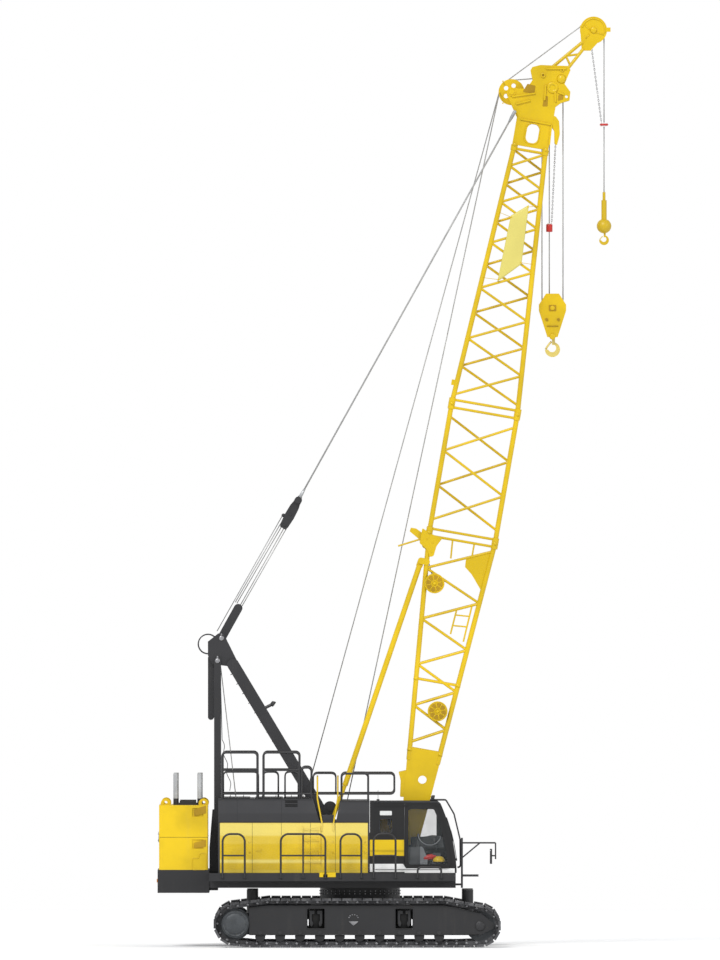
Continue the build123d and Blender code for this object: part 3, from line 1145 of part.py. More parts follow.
ear_u = (BACKSTOP_TOP_X - FOOT_X) * BOOM_COS + (BACKSTOP_TOP_Z - FOOT_Z) * BOOM_SIN
ear_root = chord_point(ear_u, -1, 1)
ear_root = (ear_root[0] - SLEW_X, ear_root[2])
with BuildPart() as boom_base:
    root = SIDE_PLATE_END - 300
    for y in both(FOOT_IN, FOOT_OUT):
        with BuildSketch(boom_side(min(y))) as plate:
            end_depth = half_depth(SIDE_PLATE_END) + CHORD * 0.8
            with BuildLine():
                Polyline(
                    (0, -FOOT_LUG),
                    (SIDE_PLATE_END, -end_depth),
                    (SIDE_PLATE_END, end_depth),
                    (0, FOOT_LUG),
                    close=True,
                )
            make_face()
            Circle(FOOT_LUG)
            with Locations((ROOT_HOLE_U, ROOT_HOLE_V)):
                Circle(ROOT_HOLE, mode=Mode.SUBTRACT)
            Circle(FOOT_PIN, mode=Mode.SUBTRACT)
        extrude(plate.sketch, amount=FOOT_PLATE)
    frames = (SIDE_PLATE_END - 60, BASE_END * 0.553, BASE_END - 80)
    bars = lattice(root, BASE_END - CHORD_SHORT, BASE_LACE, BASE_BAYS, BASE_GROWTH, frames)
    bars += connectors(BASE_END - SEAT, -1)
    bars.append(rod(boom_point(1400, 0, -FOOT_IN - 20), boom_point(1400, 0, FOOT_IN + 20), CHORD))
    add(bars)
    # plates on the chords of both sides; reels, ladder and struts on the right
    for y in both(BOOM_HALF - FITTING_PLATE / 2, BOOM_HALF + FITTING_PLATE / 2):
        boom_slab((*GUSSET, (6446, half_depth(6446)), (7440, half_depth(7440))), y)
        boom_slab(((7200, -half_depth(7200)), (7560, -half_depth(7560)), *BRACKET), y)
    for u, v in REELS:
        reel_y = (-BOOM_HALF - REEL_WIDE + FITTING_BAR / 2, -BOOM_HALF + FITTING_BAR / 2)
        disc(*boom_xz(u, v), REEL_CORE, reel_y)
        for y in reel_y:
            disc(*boom_xz(u, v), REEL, (y - FITTING_BAR / 2, y + FITTING_BAR / 2))
    bars = []
    for y in (-BOOM_HALF, BOOM_HALF):
        bars.append(rod(boom_point(*BRACKET_ARM[0], y), boom_point(*BRACKET_ARM[1], y), FITTING_BAR))
    for start, end in (*STRUTS, *LADDER_RAILS):
        bars.append(rod(boom_point(*start, -BOOM_HALF), boom_point(*end, -BOOM_HALF), FITTING_BAR))
    for shares in LADDER_RUNGS:
        start, end = (between(*rail, share) for rail, share in zip(LADDER_RAILS, shares))
        bars.append(rod(boom_point(*start, -BOOM_HALF), boom_point(*end, -BOOM_HALF), FITTING_BAR * 0.9))
    add(bars)
    # ears behind the rear chords, either side of each backstop's eye
    for gap in (-BACKSTOP_EYE - SEAT - EAR_THICK, BACKSTOP_EYE + SEAT):
        for y in both(BACKSTOP_Y + gap, BACKSTOP_Y + gap + EAR_THICK):
            beam(ear_root, (BACKSTOP_TOP_X, BACKSTOP_TOP_Z), 2 * BACKSTOP_EYE_RADIUS, y)
finish(boom_base.part, "boom_base")

with BuildPart() as boom_insert:
    ends = (BASE_END + CHORD_SHORT, INSERT_END - CHORD_SHORT)
    frames = (BASE_END + END_FRAME, INSERT_END - END_FRAME)
    bars = lattice(*ends, INSERT_LACE, INSERT_BAYS, 1, frames)
    bars += connectors(BASE_END, 1) + connectors(INSERT_END - SEAT, -1)
    add(bars)
finish(boom_insert.part, "boom_insert")

with BuildPart() as boom_tip:
    ends = (INSERT_END + CHORD_SHORT, TIP_END - CHORD_SHORT)
    frames = (INSERT_END + END_FRAME, TIP_END - END_FRAME)
    bars = lattice(*ends, TIP_LACE, TIP_BAYS, TIP_GROWTH, frames)
    bars += connectors(INSERT_END, 1) + connectors(TIP_END - SEAT, -1)
    add(bars)
    low, high = JUNCTION_U, JUNCTION_U + JUNCTION_BOX
    depth, width = half_depth(high), half_width(high)
    box = ((low, -depth), (high, -depth), (high, -depth - JUNCTION_BOX), (low, -depth - JUNCTION_BOX))
    boom_slab(box, (-width - JUNCTION_BOX / 3, -width + JUNCTION_BOX / 3))
finish(boom_tip.part, "boom_tip")

# ---------------------------------------------------------------- boom head
head_edge = HEAD_DEPTH + CHORD
casting = (
    boom_xz(TIP_END, -head_edge),
    boom_xz(HEAD_END, -head_edge),
    head_xz(-654, 595),
    head_xz(-604, 745),
    head_xz(-194, 730),
    head_xz(-55, 935),
    head_xz(-101, 1168),
    head_xz(-55, 1238),
    head_xz(132, 1284),
    head_xz(761, 1261),
    head_xz(831, 1168),
    head_xz(691, 842),
    head_xz(826, 657),
    head_xz(806, 457),
    head_xz(606, 397),
    head_xz(481, 306),
    boom_xz(HEAD_END, head_edge),
    boom_xz(TIP_END, head_edge),
)
SLOT_WIDTH, SLOT_LENGTH = 290, 460
HEAD_IN, HEAD_OUT = HEAD_HALF - HEAD_PLATE / 2, HEAD_HALF + HEAD_PLATE / 2
PIN_PROUD = 30
BOSS, BOSS_PROUD = 105, 14
HEAD_TIE = 50  # radius of the round bars between the head's plates
with BuildPart() as boom_head:
    for y in both(HEAD_IN, HEAD_OUT):
        slab(casting, y)
    slot_middle = boom_xz((TIP_END + HEAD_END) / 2, 0)
    with BuildSketch(side(HEAD_OUT)) as slot:
        with Locations(Location((slot_middle[0], slot_middle[1], 0), (0, 0, BOOM_ANGLE))):
            SlotOverall(SLOT_LENGTH, SLOT_WIDTH)
    extrude(slot.sketch, amount=2 * HEAD_OUT, mode=Mode.SUBTRACT)
    disc(POINT_X, POINT_Z, SHEAVE_PIN - SEAT, (-HEAD_OUT - PIN_PROUD, HEAD_OUT + PIN_PROUD))
    disc(HEAD_IDLER_X, HEAD_IDLER_Z, SHEAVE_PIN - SEAT, (-HEAD_OUT - PIN_PROUD, HEAD_OUT + PIN_PROUD))
    for ahead, up in ((-24, 107), (6, 1087)):
        disc(*head_xz(ahead, up), HEAD_TIE, (-HEAD_IN, HEAD_IN))
    for x, z in ((POINT_X, POINT_Z), (HEAD_IDLER_X, HEAD_IDLER_Z)):
        for y in both(HEAD_OUT, HEAD_OUT + BOSS_PROUD):
            disc(x, z, BOSS, y)
    disc(FLY_JIB_X, FLY_JIB_Z, FLY_JIB_BORE, (-HEAD_OUT, HEAD_OUT), mode=Mode.SUBTRACT)
finish(boom_head.part, "boom_head")


def grooved(x, z, flange, y, spokes=0):
    """Rope sheave with a groove round its rim, its middle at y, in the part being built."""
    bed = ROPE_PITCH * flange / SHEAVE - ROPE - SEAT
    disc(x, z, bed, (y - SHEAVE_THICK / 2, y + SHEAVE_THICK / 2))
    for edge in (y - SHEAVE_THICK / 2, y + GROOVE / 2):
        disc(x, z, flange, (edge, edge + (SHEAVE_THICK - GROOVE) / 2))
    out = bed * 0.6  # the openings between spokes lie this far from the pin
    for index in range(spokes):
        turn = radians(360 * index / spokes)
        opening_y = (y - SHEAVE_THICK, y + SHEAVE_THICK)
        disc(x + out * cos(turn), z + out * sin(turn), bed * 0.2, opening_y, mode=Mode.SUBTRACT)


with BuildPart() as point_sheaves:
    for y in (-ROPE_Y, ROPE_Y):
        grooved(POINT_X, POINT_Z, SHEAVE, y)
    disc(POINT_X, POINT_Z, SHEAVE_PIN + 40, (-HEAD_IN + RUNNING, HEAD_IN - RUNNING))
    disc(POINT_X, POINT_Z, SHEAVE_PIN, (-HEAD_IN, HEAD_IN), mode=Mode.SUBTRACT)
finish(point_sheaves.part, "point_sheaves")

with BuildPart() as head_idler:
    for y in (-ROPE_Y, ROPE_Y):
        grooved(HEAD_IDLER_X, HEAD_IDLER_Z, HEAD_IDLER_RADIUS, y, spokes=5)
    disc(HEAD_IDLER_X, HEAD_IDLER_Z, SHEAVE_PIN + 30, (-HEAD_IN + RUNNING, HEAD_IN - RUNNING))
    disc(HEAD_IDLER_X, HEAD_IDLER_Z, SHEAVE_PIN, (-HEAD_IN, HEAD_IN), mode=Mode.SUBTRACT)
finish(head_idler.part, "head_idler")

# Auxiliary jib with its sheave
jib_housing = (
    (AUX_X - AUX_HOUSING, AUX_Z + 110),
    (AUX_X - AUX_HOUSING + 40, AUX_Z - 480),
    (AUX_X - 70, AUX_Z - 480),
    (AUX_X + AUX_HOUSING, AUX_Z - 60),
)
JIB_OUT = JIB_HALF + JIB_PLATE
JIB_SPREAD = 240  # the jib's legs at the boom's head
JIB_LEG, JIB_LACING, JIB_EYE = 38, 24, 44
JIB_NOSE = 396  # how far the housing's nose runs ahead of its pin
with BuildPart() as aux_jib:
    for y in both(JIB_HALF, JIB_OUT):
        disc(AUX_X, AUX_Z, AUX_HOUSING, y)
        slab(jib_housing, y)
        block((AUX_X, AUX_X + JIB_NOSE), y, (AUX_Z - 40, AUX_Z + 60))
    disc(AUX_X, AUX_Z, SHEAVE_PIN - SEAT, (-JIB_OUT, JIB_OUT))
    disc(AUX_X - AUX_HOUSING + 90, AUX_Z - 400, 30, (-JIB_OUT, JIB_OUT))
    leg_top = JIB_HALF * 1.2
    rear_root, front_root = (head_xz(*root) for root in JIB_ROOTS)
    bars = []
    for hand in (-1, 1):
        root_y = hand * JIB_SPREAD
        rear_end = at(AUX_X - 261, hand * leg_top, AUX_Z - 283)
        front_end = at(AUX_X - 241, hand * leg_top, AUX_Z - 443)
        bars.append(rod(at(rear_root[0], root_y, rear_root[1]), rear_end, JIB_LEG))
        bars.append(rod(at(front_root[0], root_y, front_root[1]), front_end, JIB_LEG))
        for rear_share, front_share in ((0.58, 0.19), (0.58, 0.75)):
            rear_x, rear_z = between(rear_root, (AUX_X - 261, AUX_Z - 283), rear_share)
            front_x, front_z = between(front_root, (AUX_X - 241, AUX_Z - 443), front_share)
            rear_y = root_y + (hand * leg_top - root_y) * rear_share
            front_y = root_y + (hand * leg_top - root_y) * front_share
            bars.append(rod(at(rear_x, rear_y, rear_z), at(front_x, front_y, front_z), JIB_LACING))
        for x, z in (rear_root, front_root):
            bars.append(rod(at(x, hand * (JIB_SPREAD - 15), z), at(x, hand * (HEAD_IN - SEAT), z), JIB_EYE))
    add(bars)
finish(aux_jib.part, "aux_jib")

with BuildPart() as aux_sheave:
    grooved(AUX_X, AUX_Z, SHEAVE, 0)
    disc(AUX_X, AUX_Z, SHEAVE_PIN + 30, (-JIB_HALF + RUNNING / 2, JIB_HALF - RUNNING / 2))
    disc(AUX_X, AUX_Z, SHEAVE_PIN, (-JIB_HALF, JIB_HALF), mode=Mode.SUBTRACT)
finish(aux_sheave.part, "aux_sheave")

# ---------------------------------------------------------------- backstops
with BuildPart() as backstops:
    top, foot = (BACKSTOP_TOP_X, BACKSTOP_TOP_Z), (BACKSTOP_FOOT_X, BACKSTOP_FOOT_Z)
    run = hypot(top[0] - foot[0], top[1] - foot[1])
    neck = between(top, foot, 1.6 * BACKSTOP_EYE_RADIUS / run)
    joint = between(top, foot, BACKSTOP_SLEEVE / run)
    bars = []
    for y in (-BACKSTOP_Y, BACKSTOP_Y):
        bars.append(rod(at(neck[0], y, neck[1]), at(joint[0], y, joint[1]), BACKSTOP_RADIUS))
        bars.append(rod(at(joint[0], y, joint[1]), at(foot[0], y, foot[1] + BACKSTOP_SHOE), BACKSTOP_ROD))
    add(bars)
    for y in both(BACKSTOP_Y - BACKSTOP_RADIUS, BACKSTOP_Y + BACKSTOP_RADIUS):
        disc(foot[0], foot[1] + BACKSTOP_SHOE, BACKSTOP_SHOE, y)
    for y in both(BACKSTOP_Y - BACKSTOP_EYE, BACKSTOP_Y + BACKSTOP_EYE):
        beam(top, neck, 2 * BACKSTOP_EYE_RADIUS, y)
finish(backstops.part, "backstops")

# ---------------------------------------------------------------- hooks
BLOCK_Z = POINT_Z - BLOCK_DROP
BLOCK_TOP = BLOCK_Z + 338
HOOK_EYE_Z = BLOCK_Z - 675
HOOK_LOW = HOOK_EYE_Z - 466
TRUNNION_LOW, TRUNNION_TOP = HOOK_EYE_Z + 20, HOOK_EYE_Z + 160
HOOK_STEM, HOOK_NUT = 34, 62
with BuildPart() as main_falls:
    ropes = []
    for x in (POINT_X - ROPE_PITCH, POINT_X + ROPE_PITCH):
        for y in (-ROPE_Y, ROPE_Y):
            ropes.append(rod(at(x, y, BLOCK_Z), at(x, y, POINT_Z), ROPE))
    add(ropes)
finish(main_falls.part, "main_falls")

cheek = (
    (POINT_X - 150, BLOCK_TOP),
    (POINT_X - BLOCK_HALF, BLOCK_Z + 80),
    (POINT_X - BLOCK_HALF, BLOCK_Z - 60),
    (POINT_X - 120, HOOK_EYE_Z),
    (POINT_X + 120, HOOK_EYE_Z),
    (POINT_X + BLOCK_HALF, BLOCK_Z - 60),
    (POINT_X + BLOCK_HALF, BLOCK_Z + 80),
    (POINT_X + 150, BLOCK_TOP),
)
with BuildPart() as main_block:
    for y in both(BLOCK_CHEEK, BLOCK_CHEEK + CHEEK_THICK):
        slab(cheek, y)
    for y in (-ROPE_Y, ROPE_Y):
        grooved(POINT_X, BLOCK_Z, SHEAVE, y)
    disc(POINT_X, BLOCK_Z, SHEAVE_PIN, (-BLOCK_CHEEK, BLOCK_CHEEK))
    block((POINT_X - 90, POINT_X + 90), (-BLOCK_CHEEK, BLOCK_CHEEK), (TRUNNION_LOW, TRUNNION_TOP))
    add(rod(at(POINT_X, 0, TRUNNION_LOW), at(POINT_X, 0, TRUNNION_TOP), HOOK_STEM + SEAT), mode=Mode.SUBTRACT)
finish(main_block.part, "main_block")


def crane_hook(x, top, low, bowl, thick):
    """Crane hook on a stem, open to the rear, cut from plate; in the part being built."""
    rim = bowl * 1.85
    middle = low + rim
    with BuildSketch(side(thick / 2)) as profile:
        with Locations((x, middle)):
            Circle(rim)
        with Locations((x - bowl * 0.1, middle + bowl * 0.35)):
            Circle(bowl, mode=Mode.SUBTRACT)
        with Locations((x - rim * 0.8, middle + rim * 0.75)):
            Rectangle(rim * 1.6, rim * 1.5, mode=Mode.SUBTRACT)
        with Locations((x + bowl * 0.25, (middle + rim * 0.6 + top) / 2)):
            Rectangle(bowl * 0.75, top - middle - rim * 0.6)
    extrude(profile.sketch, amount=thick)


with BuildPart() as main_hook:
    crane_hook(POINT_X, TRUNNION_LOW - SEAT, HOOK_LOW, 95, 100)
    nut = (at(POINT_X, 0, TRUNNION_TOP + SEAT), at(POINT_X, 0, TRUNNION_TOP + HOOK_NUT))
    add([rod(at(POINT_X, 0, HOOK_EYE_Z - 50), nut[1], HOOK_STEM), rod(*nut, HOOK_NUT)])
finish(main_hook.part, "main_hook")

AUX_FALL_X = AUX_X + ROPE_PITCH
SOCKET_TOP = AUX_Z - AUX_DROP
SWIVEL_TOP, BALL_Z = SOCKET_TOP - 188, SOCKET_TOP - 792
AUX_HOOK_LOW = BALL_Z - 443
AUX_LIFT = 1500  # how far the ball hook rises from rest, over the end of its rope
LOWER_ROPE = 8
ROPE_LAP = 60  # how far the socket's thin stub reaches into the rope's hollow end
STUB_TOP = SOCKET_TOP + AUX_LIFT + ROPE_LAP
with BuildPart() as aux_rope:
    add(rod(at(AUX_FALL_X, 0, STUB_TOP - ROPE_LAP), at(AUX_FALL_X, 0, AUX_Z), ROPE))
    hollow = (at(AUX_FALL_X, 0, SOCKET_TOP), at(AUX_FALL_X, 0, STUB_TOP + AUX_LIFT + ROPE_LAP))
    add(rod(*hollow, LOWER_ROPE + SEAT), mode=Mode.SUBTRACT)
finish(aux_rope.part, "aux_rope")

with BuildPart() as ball_hook:
    add(
        [
            rod(at(AUX_FALL_X, 0, SOCKET_TOP - 20), at(AUX_FALL_X, 0, STUB_TOP), LOWER_ROPE),
            rod(at(AUX_FALL_X, 0, SWIVEL_TOP - 20), at(AUX_FALL_X, 0, SOCKET_TOP), 34),
            rod(at(AUX_FALL_X, 0, BALL_Z), at(AUX_FALL_X, 0, SWIVEL_TOP), 62),
        ]
    )
    with Locations(at(AUX_FALL_X, 0, BALL_Z)):
        Sphere(BALL_RADIUS)
    crane_hook(AUX_FALL_X, BALL_Z, AUX_HOOK_LOW, 62, 56)
finish(ball_hook.part, "ball_hook")
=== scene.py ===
"""Dresses the crawler crane: paint, steel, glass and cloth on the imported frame, and the fittings around it.

The frame is the crane's own, z up and x ahead. Places are in millimetres ahead of the slewing axis, to the
left and above the ground, as on the maker's drawing; radii, profiles, thicknesses and bevels are in metres.
"""

import json
import logging
from dataclasses import dataclass
from enum import Enum
from functools import partialmethod
from math import atan2, cos, hypot, pi, radians, sin
from typing import Any, Iterable, Iterator, Sequence, Union

import bmesh
import bpy
import numpy as np
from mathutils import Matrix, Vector


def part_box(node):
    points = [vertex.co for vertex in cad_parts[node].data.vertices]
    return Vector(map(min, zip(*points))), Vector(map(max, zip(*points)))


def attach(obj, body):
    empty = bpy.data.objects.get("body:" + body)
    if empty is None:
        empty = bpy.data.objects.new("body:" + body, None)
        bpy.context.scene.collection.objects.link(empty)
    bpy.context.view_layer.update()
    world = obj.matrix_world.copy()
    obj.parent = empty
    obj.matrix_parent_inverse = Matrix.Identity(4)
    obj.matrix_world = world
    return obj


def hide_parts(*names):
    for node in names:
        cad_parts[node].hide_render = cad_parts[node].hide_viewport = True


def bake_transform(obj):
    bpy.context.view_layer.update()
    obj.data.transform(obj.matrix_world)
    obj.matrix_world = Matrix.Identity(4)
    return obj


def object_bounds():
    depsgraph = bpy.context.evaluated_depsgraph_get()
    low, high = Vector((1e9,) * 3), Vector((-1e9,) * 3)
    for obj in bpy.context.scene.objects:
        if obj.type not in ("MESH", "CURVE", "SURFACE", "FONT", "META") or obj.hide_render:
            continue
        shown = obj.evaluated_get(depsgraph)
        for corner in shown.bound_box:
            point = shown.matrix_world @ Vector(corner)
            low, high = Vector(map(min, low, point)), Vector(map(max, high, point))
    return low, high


LOG = logging.getLogger("crawler_crane")
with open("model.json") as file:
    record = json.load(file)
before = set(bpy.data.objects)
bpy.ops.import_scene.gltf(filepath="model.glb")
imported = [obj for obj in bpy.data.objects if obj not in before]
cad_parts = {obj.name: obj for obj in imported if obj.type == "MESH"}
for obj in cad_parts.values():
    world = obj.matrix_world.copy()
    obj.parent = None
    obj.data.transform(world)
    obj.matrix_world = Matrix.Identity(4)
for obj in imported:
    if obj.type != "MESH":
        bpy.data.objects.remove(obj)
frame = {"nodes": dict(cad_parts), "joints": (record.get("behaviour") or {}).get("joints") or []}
CAD_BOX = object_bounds()
MM = 0.001
SIDES = (-1, 1)  # right and left
SLEW_X = next(j["pos_m"][0] for j in frame["joints"] if j["name"] == "swing")
FOOT = next(j["pos_m"] for j in frame["joints"] if j["name"] == "boom_luff")
BOOM_ANGLE = radians(80.12)
Colour = tuple[float, float, float]
Point = tuple[float, float, float]
Place = tuple[float, float]  # ahead and up, in side view
Wheel = tuple[float, float, float]  # a wheel's place and the radius its rope runs at
IDLER: Wheel = (3530.4, 19897.5, 275)
POINT_SHEAVE: Wheel = (4485.4, 19999.5, 245)
JIB_SHEAVE: Wheel = (5441.4, 21342.5, 245)
BLOCK_SHEAVE: Wheel = (4485.4, 14864.5, 245)
GANTRY_HEAD: Wheel = (-3227, 7176, 96)
ROPE = 0.013  # radius of the hoist ropes
STAY_UP, STAY_ACROSS = np.array([0.486666, 0.0, 0.873588]), np.array([-0.873588, 0.0, 0.486666])


def at(x: float, y: float, z: float) -> Point:
    """A point from millimetres ahead of the slewing axis, to the left of it and above the ground."""
    return (SLEW_X + x * MM, y * MM, z * MM)


def on_boom(u: float, v: float, y: float) -> Point:
    """A point from millimetres up the boom from its foot pin, ahead of its axis and to the left."""
    along, ahead = u * MM, v * MM
    x = FOOT[0] + along * cos(BOOM_ANGLE) + ahead * sin(BOOM_ANGLE)
    return (x, y * MM, FOOT[2] + along * sin(BOOM_ANGLE) - ahead * cos(BOOM_ANGLE))


def on_stay(up: float, across: float, y: float) -> np.ndarray:
    """A point from metres up the boom stay from the gantry's head pin, square to it and to the left."""
    return np.array(at(GANTRY_HEAD[0], y / MM, GANTRY_HEAD[1])) + STAY_UP * up + STAY_ACROSS * across


# ------------------------------------------------------------------ shader arithmetic
class Value:
    """One number that a node tree works out, wrapping a socket so that it can be used in arithmetic."""

    def __init__(self, nodes: "Nodes", socket: bpy.types.NodeSocket) -> None:
        """Keeps the socket and the tree it belongs to."""
        self.nodes = nodes
        self.socket = socket

    def work(self, operation: str, *others: "Number") -> "Value":
        """A Math node on this and others."""
        return self.nodes.math(operation, self, *others)

    def __rsub__(self, other: "Number") -> "Value":
        """Another less this."""
        return self.nodes.math("SUBTRACT", other, self)

    __add__ = __radd__ = partialmethod(work, "ADD")
    __mul__ = __rmul__ = partialmethod(work, "MULTIPLY")
    __sub__ = partialmethod(work, "SUBTRACT")
    __truediv__ = partialmethod(work, "DIVIDE")
    sine = partialmethod(work, "SINE")
    size = partialmethod(work, "ABSOLUTE")
    least = partialmethod(work, "MINIMUM")
    most = partialmethod(work, "MAXIMUM")


Number = Union[Value, float, int]


class Nodes:
    """A node tree and the ways to add to it."""

    def __init__(self, owner: Any) -> None:
        """Starts an empty tree in a material or a world."""
        owner.use_nodes = True
        self.tree = owner.node_tree
        self.tree.nodes.clear()

    def node(self, kind: str, settings: Union[dict[str, Any], None] = None,
             sockets: Union[dict[Any, Any], None] = None) -> bpy.types.Node:
        """Adds any node.

        Args:
            kind: Blender's name of the node type.
            settings: the node's own settings, set first.
            sockets: values or links of its inputs, by name or number.

        Returns:
            The new node.
        """
        made = self.tree.nodes.new(kind)
        for key, value in (settings or {}).items():
            setattr(made, key, value)
        for key, value in (sockets or {}).items():
            self.feed(made.inputs[key], value)
        return made

    def feed(self, socket: bpy.types.NodeSocket, value: Any) -> None:
        """Links one input socket, or sets it.

        Args:
            socket: the input.
            value: a value or a socket to link, or a number or a colour to set.
        """
        if isinstance(value, Value):
            value = value.socket
        if isinstance(value, bpy.types.NodeSocket):
            self.tree.links.new(value, socket)
        elif isinstance(value, (tuple, list)) and len(value) == 3 and socket.type == "RGBA":
            socket.default_value = (*value, 1.0)
        else:
            socket.default_value = value

    def math(self, operation: str, *values: Number) -> Value:
        """Adds a Math node on numbers or values."""
        made = self.node("ShaderNodeMath", {"operation": operation}, dict(enumerate(values)))
        return Value(self, made.outputs[0])

    def split(self, vector: bpy.types.NodeSocket) -> tuple[Value, ...]:
        """The x, y and z of a vector."""
        parts = self.node("ShaderNodeSeparateXYZ", sockets={0: vector}).outputs
        return tuple(Value(self, part) for part in parts)


class Shader(Nodes):
    """The nodes of one material, which end in a Principled surface."""

    def __init__(self, name: str) -> None:
        """Starts a material of that name."""
        self.material = bpy.data.materials.new(name)
        super().__init__(self.material)
        self.surface = self.node("ShaderNodeBsdfPrincipled")
        self.node("ShaderNodeOutputMaterial", sockets={"Surface": self.surface.outputs[0]})
        self.places = self.node("ShaderNodeTexCoord").outputs["Object"]

    def axes(self) -> tuple[Value, ...]:
        """The x, y and z of a place on the piece, in metres."""
        return self.split(self.places)

    def facing(self) -> tuple[Value, ...]:
        """The x, y and z of the surface's true normal."""
        return self.split(self.node("ShaderNodeNewGeometry").outputs["True Normal"])

    def noise(self, scale: float, detail: float = 3.0, stretch: Point = (1.0, 1.0, 1.0)) -> Value:
        """Cloudy noise, about 0.5.

        Args:
            scale: how many clouds there are in a metre.
            detail: how many finer layers it has.
            stretch: scale along each axis.

        Returns:
            The noise as a value.
        """
        placed = self.node("ShaderNodeMapping", sockets={"Vector": self.places, "Scale": stretch}).outputs[0]
        made = self.node("ShaderNodeTexNoise", sockets={"Vector": placed, "Scale": scale, "Detail": detail})
        return Value(self, made.outputs[0])

    def cells(self, scale: float, feature: str = "F1") -> Value:
        """Distance to the nearest of many scattered points, or to the edges between them."""
        made = self.node("ShaderNodeTexVoronoi", {"feature": feature}, {"Vector": self.places, "Scale": scale})
        return Value(self, made.outputs["Distance"])

    def step(self, value: Value, low: float, high: float) -> Value:
        """A value that rises smoothly from 0 at low to 1 at high."""
        settings = {"interpolation_type": "SMOOTHSTEP", "clamp": True}
        made = self.node("ShaderNodeMapRange", settings, {"Value": value, "From Min": low, "From Max": high})
        return Value(self, made.outputs[0])

    def between(self, value: Value, low: float, high: float, soft: float = 0.004) -> Value:
        """A mask that is 1 between two limits and 0 outside them."""
        return self.step(value, low - soft, low + soft) * (1 - self.step(value, high - soft, high + soft))

    def blend(self, share: Number, first: Any, second: Any) -> bpy.types.NodeSocket:
        """The colour that is some share of the way from the first colour to the second."""
        return self.node("ShaderNodeMix", {"data_type": "RGBA"}, {0: share, 6: first, 7: second}).outputs[2]

    def bump(self, height: Value, distance: float, strength: float = 0.5) -> None:
        """Lets a height stand out of the surface, up to a distance in metres."""
        sockets = {"Height": height, "Distance": distance, "Strength": strength}
        self.feed(self.surface.inputs["Normal"], self.node("ShaderNodeBump", sockets=sockets).outputs[0])

    def finish(self, **sockets: Any) -> bpy.types.Material:
        """Feeds the surface's sockets, named with _ for a space, and gives the material."""
        for key, value in sockets.items():
            self.feed(self.surface.inputs[key.replace("_", " ")], value)
        return self.material


# ------------------------------------------------------------------ finishes
def scaled(colour: Colour, factor: float) -> Colour:
    """A colour made lighter or darker."""
    return tuple(min(1.0, part * factor) for part in colour)


YELLOW: Colour = (0.7, 0.475, 0.004)
CHARCOAL: Colour = (0.024, 0.024, 0.026)
WHITE: Colour = (0.94, 0.94, 0.93)
DUST: Colour = (0.3, 0.27, 0.22)
# GLARE is the colour of painted highlight bands, and SHADE how far painted shade bands darken a coat.
GLARE: Colour = (1.0, 0.93, 0.35)
SHADE = 0.72


@dataclass(frozen=True)
class Patch:
    """A painted area on a sheet-metal piece, in side view; nose slants its front edge."""

    colour: Colour
    x: Place
    z: Place
    nose: float = 0.0

    def mask(self, shader: Shader) -> Value:
        """Where the area is.

        Args:
            shader: the coat's nodes.

        Returns:
            1 inside the area, on faces that look sideways, and 0 outside it.
        """
        x, _, z = shader.axes()
        _, side, _ = shader.facing()
        (start, _, low), (end, _, high) = at(self.x[0], 0, self.z[0]), at(self.x[1], 0, self.z[1])
        inside = shader.between(x + (z - low) * self.nose, start, end) * shader.between(z, low, high)
        return inside * shader.step(side.size(), 0.6, 0.8)


@dataclass(frozen=True)
class Paint:
    """A sprayed coat on steel: slightly uneven in tone, with dust in level places and faint runs of dirt."""

    name: str
    colour: Colour
    roughness: float = 0.34
    unevenness: float = 0.12
    dust: float = 0.16
    coat: float = 0.12
    patches: tuple[Patch, ...] = ()
    tread: bool = False
    # A height, and how light the coat is from there up to the next: above 1 a painted highlight, below 1
    # painted shade.
    shades: tuple[Place, ...] = ()  # a height, and how light the coat is from there up to the next

    def colouring(self, shader: Shader) -> bpy.types.NodeSocket:
        """The coat's colour before dust: tone varies in clouds, then painted highlight and painted shade lie
        over it in level bands, and painted areas over those.

        Args:
            shader: the coat's nodes.

        Returns:
            The colour's socket.
        """
        clouds = shader.step(shader.noise(0.9, 4.0), 0.3, 0.7)
        tone = shader.blend(clouds, *(scaled(self.colour, 1 + hand * self.unevenness) for hand in SIDES))
        # Level bands of painted highlight (towards GLARE) and painted shade (towards the colour darkened to
        # SHADE).
        for (height, lightness), (top, _) in zip(self.shades, self.shades[1:]):
            band = shader.between(shader.axes()[2], height * MM, top * MM, 0.03)
            aim = GLARE if lightness > 1 else scaled(self.colour, SHADE)
            tone = shader.blend(band * min(1.0, abs(lightness - 1)), tone, aim)
        for patch in self.patches:
            tone = shader.blend(patch.mask(shader), tone, patch.colour)
        return tone

    def make(self) -> bpy.types.Material:
        """The finished material; a tread's bars are the sizes of sines along both diagonals."""
        shader = Shader(self.name)
        streaks = shader.step(shader.noise(5.0, 3.0, (1.0, 1.0, 0.12)), 0.55, 0.85)
        level = shader.step(shader.facing()[2], 0.3, 0.95)
        specks = shader.step(shader.noise(38.0, 2.0), 0.45, 0.8)
        dirt = (level * 1.6 + streaks * 0.7) * (0.35 + specks * 0.65) * self.dust
        tone = shader.blend(dirt.least(0.85), self.colouring(shader), DUST)
        orange_peel = shader.noise(160.0, 2.0)
        if self.tread:
            x, y, _ = shader.axes()
            bars = ((x + y) * 180.0).sine().size() * ((x - y) * 180.0).sine().size()
            shader.bump(shader.step(bars, 0.55, 0.8) * level + orange_peel * 0.05, 0.004, 0.8)
        else:
            shader.bump(orange_peel * 0.6 + shader.noise(2.2, 2.0) * 1.2, 0.0012, 0.35)
        rough = self.roughness + specks * 0.1 + dirt * 0.5
        return shader.finish(Base_Color=tone, Roughness=rough, Coat_Weight=self.coat, Coat_Roughness=0.12,
                             Specular_IOR_Level=0.3)


